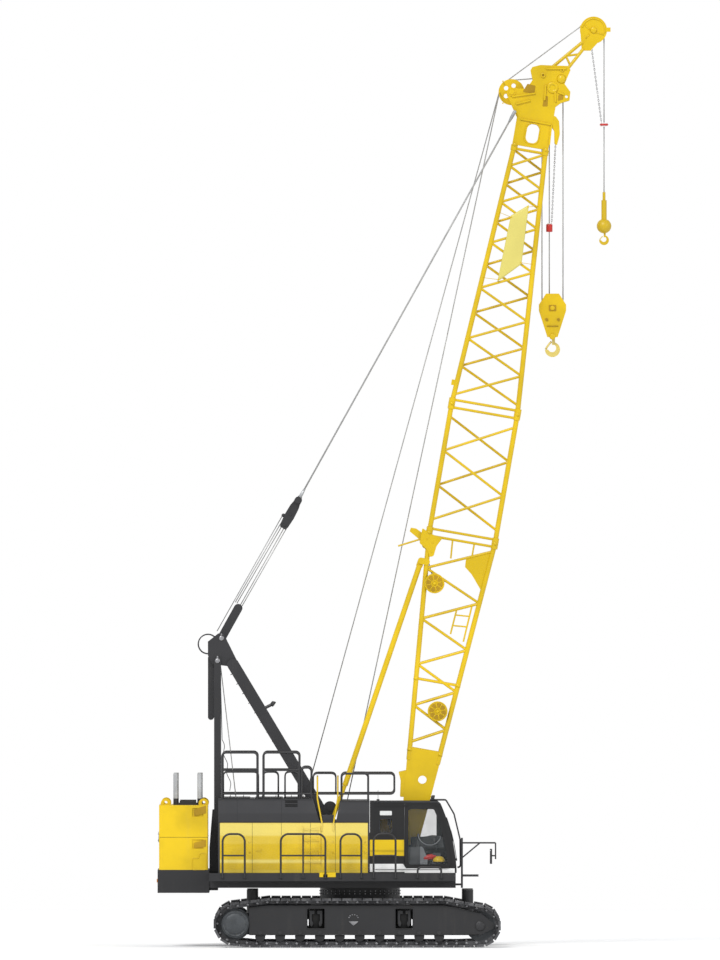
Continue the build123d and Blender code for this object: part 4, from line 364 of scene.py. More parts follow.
@dataclass(frozen=True)
class Steel:
    """Bare or worn metal: clouds of two tones, brushed or cast grain, rubbed lighter where it is raised."""

    name: str
    dark: Colour
    light: Colour
    metallic: float = 0.6
    roughness: float = 0.45
    grain: float = 40.0
    relief: float = 0.001
    below: Union[tuple[float, Colour], None] = None  # a height in metres and the coat there is under it

    def make(self) -> bpy.types.Material:
        """The finished material."""
        shader = Shader(self.name)
        grain = shader.noise(self.grain, 4.0)
        worn = shader.step(shader.noise(4.0, 5.0) * 0.6 + grain * 0.4, 0.38, 0.66)
        tone = shader.blend(worn, self.dark, self.light)
        if self.below:
            height, coat = self.below
            tone = shader.blend(shader.between(shader.axes()[2], -1.0, height), tone, coat)
        shader.bump(grain + shader.cells(self.grain * 0.7) * 0.4, self.relief, 0.5)
        rough = self.roughness + (grain - 0.5) * 0.25
        return shader.finish(Base_Color=tone, Roughness=rough, Metallic=self.metallic)


@dataclass(frozen=True)
class Wire:
    """Laid wire rope: strands wind round the rope, read from its own map, u round it and v along it."""

    name: str
    colour: Colour = (0.42, 0.42, 0.415)
    strands: int = 6
    lay: float = 0.16

    def make(self) -> bpy.types.Material:
        """The finished material; a strand's height is the size of a sine of u and v together, and its colour
        carries painted shade in the grooves and a painted highlight on the crown.
        """
        shader = Shader(self.name)
        around, along, _ = shader.split(shader.node("ShaderNodeUVMap").outputs[0])
        strand = ((around * self.strands + along / self.lay * self.strands) * pi).sine().size()
        crown = shader.step(strand, 0.1, 0.75)
        grease = shader.step(shader.noise(3.0, 4.0), 0.4, 0.75)
        # Painted highlight on the strands' crowns, dulled where grease lies, and painted shade, about a third
        # of the colour, in the grooves between them.
        lit = shader.blend(grease * 0.4, scaled(self.colour, 1.25), scaled(self.colour, 0.7))
        tone = shader.blend(crown, scaled(self.colour, 0.35), lit)
        shader.bump(crown, 0.003, 0.9)
        return shader.finish(Base_Color=tone, Roughness=0.42 + grease * 0.2, Metallic=0.55)


@dataclass(frozen=True)
class Glazing:
    """Tinted glass with a film of dust."""

    name: str
    tint: Colour = (0.06, 0.075, 0.08)
    cover: float = 0.1

    def make(self) -> bpy.types.Material:
        """The finished material."""
        shader = Shader(self.name)
        film = shader.step(shader.noise(2.5, 4.0), 0.35, 0.8)
        tone = shader.blend(film * 0.25, self.tint, (0.35, 0.36, 0.35))
        return shader.finish(Base_Color=tone, Roughness=0.04 + film * 0.08, Alpha=self.cover + film * 0.07,
                             Specular_IOR_Level=0.8)


@dataclass(frozen=True)
class Weave:
    """Woven seat cloth: two sets of threads cross, with a little colour between them."""

    name: str
    colour: Colour = (0.09, 0.09, 0.1)
    threads: float = 260.0

    def make(self) -> bpy.types.Material:
        """The finished material; threads are sines along each axis, over one another in turn."""
        shader = Shader(self.name)
        x, y, z = shader.axes()
        warp = ((x + z) * self.threads * pi).sine() * 0.5 + 0.5
        weft = ((y + z * 0.3) * self.threads * pi).sine() * 0.5 + 0.5
        cloth = warp * (1 - weft) + weft * (1 - warp)
        fade = shader.noise(6.0, 4.0)
        tone = shader.blend(cloth * 0.6 + fade * 0.4, scaled(self.colour, 0.6), scaled(self.colour, 1.9))
        shader.bump(cloth, 0.0012, 0.8)
        return shader.finish(Base_Color=tone, Roughness=0.85 + fade * 0.1, Sheen_Weight=0.25)


@dataclass(frozen=True)
class Moulded:
    """Moulded plastic, glass or rubber with a fine leather-like grain."""

    name: str
    colour: Colour
    roughness: float = 0.55
    pebbles: float = 420.0

    def make(self) -> bpy.types.Material:
        """The finished material."""
        shader = Shader(self.name)
        pebbles = shader.cells(self.pebbles, "DISTANCE_TO_EDGE")
        wear = shader.step(shader.noise(8.0, 4.0), 0.4, 0.75)
        tone = shader.blend(wear * 0.5, self.colour, scaled(self.colour, 1.45))
        shader.bump(shader.step(pebbles, 0.02, 0.2), 0.0006, 0.6)
        return shader.finish(Base_Color=tone, Roughness=self.roughness - wear * 0.12)


class Finish(Enum):
    """Every finish on the crane, by what it is in the maker's paint list, and the brown and the near-black of
    painted shade.
    """

    YELLOW_PAINT = Paint("yellow_paint", YELLOW)
    # The yellow panels carry bands of painted highlight at the heights given.
    PANEL_YELLOW = Paint("panel_yellow", YELLOW, roughness=0.26, coat=0.4, shades=(
        (1724, 1.22), (1790, 1.0), (1957, 1.45), (2030, 1.0), (2400, 1.1), (2586, 1.38), (2889, 1.0)))
    WEIGHT_YELLOW = Paint("weight_yellow", scaled(YELLOW, 0.97), roughness=0.5, unevenness=0.16, dust=0.22)
    DARK_PAINT = Paint("dark_paint", CHARCOAL, roughness=0.42, dust=0.1, coat=0.15)
    TREAD_PAINT = Paint("tread_paint", CHARCOAL, roughness=0.55, dust=0.28, coat=0.0, tread=True)
    FRAME_PAINT = Paint("frame_paint", scaled(CHARCOAL, 0.75), roughness=0.46, dust=0.1, coat=0.08)
    # The dark house sides carry a band of painted shade from 2890 to 3110 mm up.
    HOUSE_PAINT = Paint("house_paint", scaled(CHARCOAL, 1.65), roughness=0.42, dust=0.1, coat=0.15,
                        shades=((2890, 0.1), (3110, 1.0), (3448, 1.0)))
    CAB_DARK = Paint("cab_dark", scaled(CHARCOAL, 0.4), roughness=0.4, dust=0.06, coat=0.1)
    CAB_PAINT = Paint("cab_paint", scaled(CHARCOAL, 0.34), roughness=0.38, dust=0.06, patches=(
        Patch(scaled(YELLOW, 1.08), (229, 1037), (2120, 2493)),
        Patch(scaled(YELLOW, 0.82), (229, 1037), (2205, 2262)),
        Patch(WHITE, (229, 1130), (1747, 1934), 0.7),
        Patch(WHITE, (1037, 2202), (1724, 1830)),
    ))
    WHITE_PAINT = Paint("white_paint", WHITE, roughness=0.4, dust=0.1)
    PALE_PLATE = Paint("pale_plate", (0.72, 0.73, 0.72), roughness=0.45, dust=0.08, coat=0.1)
    BANNER = Paint("banner_sheet", (0.7, 0.61, 0.155), roughness=0.5, unevenness=0.05, dust=0.08, coat=0.05)
    RED_PAINT = Paint("red_paint", (0.55, 0.03, 0.025), roughness=0.4, dust=0.1)
    TRACK_STEEL = Steel("track_steel", (0.035, 0.035, 0.038), (0.12, 0.12, 0.125), 0.55, 0.5, 26.0, 0.002)
    MACHINERY = Steel("machinery", (0.09, 0.1, 0.11), (0.16, 0.17, 0.18), 0.3, 0.5, 50.0)
    HUB_STEEL = Steel("hub_steel", (0.033, 0.037, 0.041), (0.054, 0.06, 0.066), 0.2, 0.5, 60.0)
    POST_STEEL = Steel("post_steel", (0.42, 0.43, 0.44), (0.6, 0.61, 0.62), 0.5, 0.4, 60.0)
    LIFT_POSTS = Steel("lift_posts", (0.36, 0.37, 0.38), (0.52, 0.53, 0.54), 0.3, 0.42, 60.0,
                       below=(3.45, CHARCOAL))
    BOLT_STEEL = Steel("bolt_steel", (0.16, 0.16, 0.17), (0.34, 0.34, 0.35), 0.75, 0.38, 90.0)
    ROPE_STEEL = Steel("rope_steel", (0.26, 0.27, 0.28), (0.46, 0.47, 0.48), 0.5, 0.42, 120.0)
    CHAIN_STEEL = Steel("chain_steel", (0.3, 0.3, 0.31), (0.5, 0.5, 0.51), 0.7, 0.4, 150.0)
    HOOK_STEEL = Steel("hook_steel", (0.66, 0.52, 0.12), (0.78, 0.66, 0.24), 0.0, 0.4, 30.0, 0.0015)
    BALL_HOOK = Steel("ball_hook", (0.66, 0.63, 0.55), (0.6, 0.6, 0.6), 0.0, 0.42, 30.0, 0.0015,
                      below=(17.568, scaled(YELLOW, 0.86)))
    # Brown of yellow in shadow: painted shade for pockets, openings and recesses.
    SHADE_BROWN = Paint("painted_shade_brown", (0.4, 0.235, 0.008), roughness=0.6, unevenness=0.2, dust=0.2, coat=0.0)
    # Near-black painted shade for openings, slots and joints.
    SHADE_BLACK = Paint("shade_black", (0.012, 0.012, 0.012), roughness=0.8, dust=0.05, coat=0.0)
    WIRE = Wire("laid_wire")
    WINDOW = Glazing("window")
    MIRROR = Steel("mirror_glass", (0.55, 0.57, 0.6), (0.7, 0.72, 0.74), 1.0, 0.08, 8.0, 0.0001)
    SEAT_FABRIC = Weave("seat_fabric")
    CONSOLE = Moulded("console_plastic", (0.05, 0.052, 0.056))
    CONSOLE_GREY = Moulded("console_grey", (0.2, 0.21, 0.22))
    RUBBER = Moulded("rubber", (0.02, 0.02, 0.021), 0.65)
    SCREEN = Moulded("screen_glass", (0.02, 0.03, 0.035), 0.15, 900.0)
    LENS = Moulded("lamp_lens", (0.6, 0.6, 0.56), 0.2, 90.0)
    AMBER_LENS = Moulded("amber_lens", (0.6, 0.22, 0.02), 0.25, 90.0)


MADE: dict[Finish, bpy.types.Material] = {}


def material(finish: Finish) -> bpy.types.Material:
    """The material of a finish, made the first time it is asked for."""
    if finish not in MADE:
        MADE[finish] = finish.value.make()
    return MADE[finish]


# ------------------------------------------------------------------ surfaces
@dataclass
class Grid:
    """A surface as a table of points, rows by columns, which may close on itself either way.

    Args:
        points: array of rows x columns x 3, in metres.
        round_rows: the last row joins the first.
        round_columns: the last column joins the first.
        cap: the first and last rows are filled with a face.
        length: what v counts in the grid's own map, from its first row to its last.
    """

    points: np.ndarray
    round_rows: bool = False
    round_columns: bool = True
    cap: bool = True
    length: float = 1.0

    def faces(self) -> tuple[np.ndarray, np.ndarray]:
        """Corner numbers of every four-sided face, and the map's u and v at each corner."""
        rows, columns = self.points.shape[:2]
        row = np.arange(rows if self.round_rows else rows - 1)[:, None]
        column = np.arange(columns if self.round_columns else columns - 1)[None, :]
        corners, spots = [], []
        for down, across in ((0, 0), (0, 1), (1, 1), (1, 0)):
            corners.append(((row + down) % rows) * columns + (column + across) % columns)
            u = (column + across) / columns + 0.0 * row
            v = (row + down) / max(1, rows - 1) * self.length + 0.0 * column
            spots.append(np.stack([u, v], -1))
        return np.stack(corners, -1).reshape(-1, 4), np.stack(spots, 2).reshape(-1, 4, 2)


Grids = Iterator[Grid]
DOUBLE, SLIVER = 1e-6, 1e-7


def surface(name: str, grids: Iterable[Grid], finish: Finish, smooth: bool = True) -> bpy.types.Object:
    """Makes one mesh object of several grids.

    Args:
        name: the piece's name.
        grids: the surfaces it is made of.
        finish: its finish.
        smooth: whether its faces are shaded as one curved surface.

    Returns:
        The new object, at the origin.
    """
    points, quads, spots, caps, start = [], [], [], [], 0
    for grid in grids:
        rows, columns = grid.points.shape[:2]
        faces, marks = grid.faces()
        points.append(grid.points.reshape(-1, 3))
        quads.append(faces + start)
        spots.append(marks)
        if grid.cap and not grid.round_rows and grid.round_columns:
            caps += [start + np.arange(columns)[::-1], start + (rows - 1) * columns + np.arange(columns)]
        start += rows * columns
    quad_list = np.concatenate(quads)
    mesh = bpy.data.meshes.new(name)
    mesh.from_pydata(np.concatenate(points).tolist(), [], quad_list.tolist() + [c.tolist() for c in caps])
    layer = mesh.uv_layers.new(name="map")
    flat = np.zeros((len(layer.data), 2), np.float32)
    flat[: quad_list.size] = np.concatenate(spots).reshape(-1, 2)
    layer.data.foreach_set("uv", flat.ravel())
    flags = np.zeros(len(mesh.polygons), bool)
    flags[: len(quad_list)] = smooth
    mesh.polygons.foreach_set("use_smooth", flags)
    mesh.materials.append(material(finish))
    mesh.validate()
    shape = bmesh.new()
    shape.from_mesh(mesh)
    bmesh.ops.remove_doubles(shape, verts=shape.verts, dist=DOUBLE)
    bmesh.ops.dissolve_degenerate(shape, edges=shape.edges, dist=SLIVER)
    bmesh.ops.recalc_face_normals(shape, faces=shape.faces)
    shape.to_mesh(mesh)
    shape.free()
    made = bpy.data.objects.new(name, mesh)
    bpy.context.scene.collection.objects.link(made)
    return made


def unit(vectors: Any) -> np.ndarray:
    """Directions of one length."""
    return vectors / np.linalg.norm(vectors, axis=-1, keepdims=True)


def ring(count: int, start: float = 0.0) -> np.ndarray:
    """Evenly spaced angles round a circle."""
    return start + np.linspace(0, 2 * pi, count, endpoint=False)


def frame_of(direction: np.ndarray) -> tuple[np.ndarray, np.ndarray]:
    """Two directions square to the given one and to each other."""
    away = [0.0, 0.0, 1.0] if abs(direction[2]) < 0.9 else [0.0, 1.0, 0.0]
    first = unit(np.cross(direction, away))
    return first, np.cross(direction, first)


def tube(path: Sequence[Point], radius: float, sides: int = 6, closed: bool = False) -> Grid:
    """A round tube along a path: each row is a circle square to the path's own direction there.

    Args:
        path: the points it follows.
        radius: its radius.
        sides: how many sides the circle has.
        closed: whether its end joins its start.

    Returns:
        The tube's surface, with its map's v in metres along it.
    """
    line = np.array(path, float)
    heading = unit(np.roll(line, -1, 0) - np.roll(line, 1, 0) if closed else np.gradient(line, axis=0))
    away = np.cross(heading, [0.0, 1.0, 0.0])
    flat = np.linalg.norm(away, axis=1, keepdims=True) < 0.2
    first = unit(np.where(flat, np.cross(heading, [1.0, 0.0, 0.0]), away))
    angle = ring(sides)[None, :, None]
    circle = first[:, None] * np.cos(angle) + np.cross(heading, first)[:, None] * np.sin(angle)
    length = float(np.linalg.norm(np.diff(line, axis=0), axis=1).sum())
    return Grid(line[:, None] + radius * circle, round_rows=closed, length=length)


def turned(outline: Sequence[tuple[float, float]], centre: Point, axis: Point, sides: int = 24) -> Grid:
    """A turned shape: an outline carried round an axis.

    Args:
        outline: pairs of a radius and a place along the axis.
        centre: where the axis starts.
        axis: its direction.
        sides: how many sides the shape has.

    Returns:
        The turned surface.
    """
    profile, along = np.array(outline, float), unit(np.array(axis, float))
    first, second = frame_of(along)
    angle = ring(sides)[None, :, None]
    circle = first * np.cos(angle) + second * np.sin(angle)
    return Grid(np.array(centre) + profile[:, :1, None] * circle + profile[:, 1:, None] * along)


def drum(centre: Point, axis: Point, radius: float, length: float, sides: int = 24) -> Grid:
    """A short turned cylinder with slightly rounded edges; centre is the middle of its first end."""
    bend = min(radius, length / 2) * 0.15
    outline = ((radius - bend, 0.0), (radius, bend), (radius, length - bend), (radius - bend, length))
    return turned(outline, centre, axis, sides)


def beside(centre: Point, radius: float, turn: float, out: float = 0.0) -> Point:
    """A point on a circle that faces sideways, some way to the left of the circle's middle."""
    return (centre[0] + radius * cos(turn), centre[1] + out, centre[2] + radius * sin(turn))


def bolts(centre: Point, hand: int, spread: float, count: int, head: tuple[float, float], out: float = 0.0,
          start: float = 0.0) -> Grids:
    """A circle of hexagonal heads on a side face.

    Args:
        centre: the circle's middle.
        hand: the side that the heads look to.
        spread: the circle's radius.
        count: how many heads there are.
        head: a head's radius and height.
        out: how far the heads stand out from the centre.
        start: the angle of the first.

    Returns:
        One surface for each head.
    """
    for turn in ring(count, start):
        yield drum(beside(centre, spread, turn, hand * out), (0, hand, 0), *head, 6)


def pin_head(flat: float, radius: float, height: float = 0.03, drop: float = 0.01,
             foot: float = -0.002) -> tuple[tuple[float, float], ...]:
    """Outline of a round cover: flat on top, dropping to its edge and closed at its foot."""
    return ((0.0, height), (flat, height), (radius, height - drop), (radius, foot), (0.0, foot))


def slab(outline: Sequence[Point], thickness: Point, bevel: float = 0.0) -> Grid:
    """A plate: an outline carried through its thickness.

    Args:
        outline: its corners.
        thickness: way from its first face to its last.
        bevel: how far its edges are drawn in.

    Returns:
        The plate's surface.
    """
    edge, through = np.array(outline, float), np.array(thickness, float)
    if not bevel:
        return Grid(np.stack([edge, edge + through]))
    middle = edge.mean(0)
    inner = middle + (edge - middle) * (1 - bevel / np.linalg.norm(edge - middle, axis=1, keepdims=True))
    share = bevel / float(np.linalg.norm(through))
    return Grid(np.stack([inner, edge + through * share, edge + through * (1 - share), inner + through]))


def box(low: Point, high: Point, bevel: float = 0.003) -> Grid:
    """A block between two corners, in metres, with its edges drawn in."""
    (x0, y0, z0), (x1, y1, z1) = low, high
    return slab(((x0, y0, z0), (x1, y0, z0), (x1, y1, z0), (x0, y1, z0)), (0.0, 0.0, z1 - z0), bevel)


def block(x: Place, y: Place, z: Place, bevel: float = 0.003) -> Grid:
    """A block between two places along each axis; those to the left may come in either order."""
    return box(at(x[0], min(y), z[0]), at(x[1], max(y), z[1]), bevel)


def rect(x0: float, x1: float, z0: float, z1: float) -> tuple[Place, ...]:
    """A side-view outline of four corners."""
    return ((x0, z0), (x1, z0), (x1, z1), (x0, z1))


def rounded(outline: Sequence[Place], bend: float, count: int = 6) -> np.ndarray:
    """A closed outline with its corners rounded: quadratic arcs between points on its straight runs.

    Args:
        outline: its corners.
        bend: how far from a corner its arc starts and ends.
        count: points in each arc.

    Returns:
        The points, two columns.
    """
    corner = np.array(outline, float)
    start, end = (corner + unit(np.roll(corner, shift, 0) - corner) * bend for shift in (1, -1))
    t = np.linspace(0, 1, count)[None, :, None]
    arcs = (1 - t) ** 2 * start[:, None] + 2 * t * (1 - t) * corner[:, None] + t**2 * end[:, None]
    return arcs.reshape(-1, 2)


def arc(wheel: Wheel, low: float, high: float, count: int) -> list[Place]:
    """Evenly spaced side-view places round a wheel's edge from one angle to another."""
    x, z, radius = wheel
    return [(x + radius * cos(turn), z + radius * sin(turn)) for turn in np.linspace(low, high, count)]


def bar(places: Iterable[Place], y: float, radius: float, sides: int = 6, closed: bool = False) -> Grid:
    """A round bar through side-view places, all as far to the left."""
    return tube([at(x, y, z) for x, z in places], radius, sides, closed)


def bead(outline: Sequence[Place], y: float, radius: float, bend: float, sides: int = 6) -> Grid:
    """A round bead along a closed side-view outline with rounded corners."""
    return bar(rounded(outline, bend), y, radius, sides, closed=True)


def plate(outline: Sequence[Place], y: float, thick: float, bevel: float, bend: float = 0.0,
          count: int = 6) -> Grid:
    """A side-view outline carried sideways through a thickness.

    Args:
        outline: its corners.
        y: how far to the left its first face is.
        thick: thickness in metres, less than 0 to the right.
        bevel: how far its edges are drawn in.
        bend: rounding of its corners, or 0 for none.
        count: points in each rounded corner.

    Returns:
        The plate's surface.
    """
    shape = rounded(outline, bend, count) if bend else outline
    return slab([at(x, y, z) for x, z in shape], (0, thick, 0), bevel)


def ride(piece: bpy.types.Object, body: str, slot: str = "") -> bpy.types.Object:
    """Fixes a finished piece to a body.

    Args:
        piece: the piece.
        body: the body it moves with.
        slot: not used.

    Returns:
        The piece.
    """
    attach(piece, body)
    LOG.info("%s rides on %s", piece.name, body)
    return piece


def fit(name: str, grids: Iterable[Grid], finish: Finish, body: str, slot: str = "",
        smooth: bool = True) -> bpy.types.Object:
    """Makes a piece of several grids and fixes it to a body."""
    return ride(surface(name, grids, finish, smooth), body, slot)


def stretch(piece: bpy.types.Object, low: str, high: str, start: Point, end: Point) -> None:
    """Bakes a rope's placing into its mesh and logs the bodies at its two ends."""
    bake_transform(piece)
    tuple(start)
    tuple(end)
    LOG.info("%s runs from %s to %s", piece.name, low, high)


def dress(finish: Finish, *nodes: str) -> None:
    """Gives CAD nodes a finish.

    Args:
        finish: the finish.
        nodes: the nodes' names.
    """
    for name in nodes:
        node = frame["nodes"][name]
        if not node.material_slots:
            node.data.materials.append(material(finish))
        for place in node.material_slots:
            place.material = material(finish)
        LOG.info("%s dressed with %s", name, finish.name)


# ------------------------------------------------------------------ undercarriage
@dataclass
class Undercarriage:
    """Tracks, side frames and carbody: steel and paint, with the hub covers, link pins and ring bolts."""

    gauge_half: float = 2210.0
    frame_out: float = 2490.0
    beam_end: float = 2322.0
    hub_out: float = 2550.0
    windows: Place = (-1025, 1025)
    wheels: tuple[Wheel, ...] = (  # drive, idler, upper rollers, end rollers
        (-2900, 545, 500), (2790, 500, 480), (-2150, 892, 250), (1950, 892, 250), (-2450, 250, 250),
        (2300, 250, 250))

    def loop(self, inset: float, count: int) -> np.ndarray:
        """Evenly spaced side-view points on the band round the wheels.

        In each direction the band passes the wheel whose edge reaches furthest that way; the points are
        then spread evenly along it.

        Args:
            inset: how far inside the wheels' edges the band runs.
            count: how many points there are.

        Returns:
            The points, count x 2.
        """
        centre = np.array([wheel[:2] for wheel in self.wheels])
        radius = np.array([wheel[2] for wheel in self.wheels]) - inset
        angle = ring(1440)
        way = np.stack([np.cos(angle), np.sin(angle)], -1)
        furthest = np.argmax(way @ centre.T + radius, axis=1)
        band = centre[furthest] + way * radius[furthest][:, None]
        closed = np.vstack([band, band[:1]])
        run = np.concatenate([[0], np.cumsum(np.linalg.norm(np.diff(closed, axis=0), axis=1))])
        wanted = np.arange(count) * run[-1] / count
        return np.stack([np.interp(wanted, run, closed[:, k]) for k in (0, 1)], -1)

    def link_pins(self) -> Grids:
        """Link pins of both tracks, one between each pair of shoes, with a collar at each end."""
        profile = ((0.02, 0), (0.034, 0.004), (0.034, 0.03), (0.022, 0.034), (0.022, 0.336), (0.034, 0.34),
                   (0.034, 0.366), (0.02, 0.37))
        for x, z in self.loop(88.0, 60):
            for hand in SIDES:
                yield turned(profile, at(x, hand * self.gauge_half - 185, z), (0, 1, 0), 10)

    def hub_covers(self) -> Grids:
        """Domed covers over both drives: a shallow turned cap with a rim, and a circle of bolts."""
        x, z, _ = self.wheels[0]
        profile = ((0.0, 0.026), (0.12, 0.024), (0.2, 0.02), (0.232, 0.012), (0.24, 0.006), (0.262, 0.006),
                   (0.268, 0.016), (0.286, 0.016), (0.296, 0.008), (0.296, -0.002), (0.0, -0.002))
        for hand in SIDES:
            centre = at(x, hand * self.hub_out, z)
            yield turned(profile, centre, (0, hand, 0), 64)
            yield from bolts(centre, hand, 0.251, 12, (0.014, 0.016), 0.004)

    def frame_covers(self) -> Grids:
        """Bolts and cover plates on the outer faces of the side frames."""
        x, z, _ = self.wheels[1]
        for hand in SIDES:
            centre = at(x, hand * self.frame_out, z)
            yield turned(pin_head(0.1, 0.112), centre, (0, hand, 0), 32)
            yield from bolts(centre, hand, 0.085, 6, (0.011, 0.012), 0.028)
            for place in np.linspace(-2318, 1840, 10):
                centre = at(place, hand * self.frame_out, 345)
                yield drum(centre, (0, hand, 0), 0.05, 0.018)
                yield from bolts(centre, hand, 0.032, 4, (0.008, 0.01), 0.016, pi / 4)

    def frame_ribs(self) -> Grids:
        """Raised edges welded along the side frames' outer plates, round their windows and along the top."""
        for y in (-self.frame_out, self.frame_out):
            for x in self.windows:
                yield bead(rect(x - 215, x + 215, 428, 915), y, 0.012, 40)
            yield bar(((-2560, 930), (-2150, 968), (1950, 968), (2780, 806)), y, 0.013)
            yield bar(((-2560, 300), (2760, 300)), y, 0.013)

    def window_shade_plates(self) -> Grids:
        """Painted shade behind the side frames' windows: near-black plates over the carbody beams' ends."""
        for hand in SIDES:
            faces = (hand * self.beam_end, hand * (self.beam_end + 4))
            for x in self.windows:
                yield block((x - 168, x + 168), faces, (446, 868), 0.001)

    def window_pins(self) -> Grids:
        """Locking hooks and pins that hold the side frames to the carbody's beams, seen in the windows."""
        hook = rounded(((30, 860), (150, 860), (150, 560), (95, 470), (60, 560), (95, 620), (95, 780),
                        (30, 780)), 18, 4)
        for hand in SIDES:
            y = hand * (self.beam_end + 4)
            for middle in self.windows:
                for side in SIDES:
                    yield plate([(middle + side * x, z) for x, z in hook], y, hand * 0.03, 0.006)
                    yield drum(at(middle + side * 120, y, 520), (0, hand, 0), 0.018, 0.04, 12)

    def grease_covers(self) -> Grids:
        """Grease cover low in the middle of each side frame: an arc of bright bolts over a lip."""
        for hand in SIDES:
            y = hand * self.frame_out
            for turn in np.linspace(0.15, pi - 0.15, 6):
                yield drum(at(-150 + 105 * cos(turn), y, 690 + 75 * sin(turn)), (0, hand, 0), 0.015, 0.016, 6)
            yield plate(((-270, 610), (-30, 610), (-150, 505)), y, hand * 0.02, 0.006, 20, 4)

    def ring_bolts(self) -> Grids:
        """Bolts round both halves of the slewing ring."""
        for turn in ring(48):
            for z in (1292, 1228):
                yield drum(at(928 * cos(turn), 928 * sin(turn), z), (cos(turn), sin(turn), 0), 0.014, 0.02, 6)

    def jack_feet(self) -> Grids:
        """Feet and collars of the four assembly jacks."""
        collar = ((0.13, 0), (0.15, 0.01), (0.15, 0.05), (0.132, 0.06))
        foot = ((0.0, -0.05), (0.1, -0.05), (0.11, -0.04), (0.11, 0.0), (0.0, 0.001))
        for x in (-2505, 2505):
            for y in (-1250, 1250):
                yield turned(collar, at(x, y, 640), (0, 0, 1))
                yield turned(foot, at(x, y, 480), (0, 0, 1))

    def build(self) -> None:
        """Makes the fittings and dresses the nodes."""
        dress(Finish.FRAME_PAINT, "carbody", "side_frame_right", "side_frame_left")
        dress(Finish.TRACK_STEEL, "track_right", "track_left")
        dress(Finish.HUB_STEEL, "track_wheels_right", "track_wheels_left")
        for name, grids, finish, slot in (
                ("window_shade_plates", self.window_shade_plates(), Finish.SHADE_BLACK, ""),
                ("window_pins", self.window_pins(), Finish.DARK_PAINT, "dark_paint"),
                ("grease_covers", self.grease_covers(), Finish.BOLT_STEEL, "post_steel"),
                ("link_pins", self.link_pins(), Finish.BOLT_STEEL, "track_steel"),
                ("hub_covers", self.hub_covers(), Finish.HUB_STEEL, "machinery"),
                ("side_frame_covers", self.frame_covers(), Finish.DARK_PAINT, "dark_paint"),
                ("side_frame_ribs", self.frame_ribs(), Finish.DARK_PAINT, "dark_paint"),
                ("slew_ring_bolts", self.ring_bolts(), Finish.BOLT_STEEL, "track_steel"),
                ("jack_feet", self.jack_feet(), Finish.POST_STEEL, "post_steel")):
            fit(name, grids, finish, "undercarriage", slot)


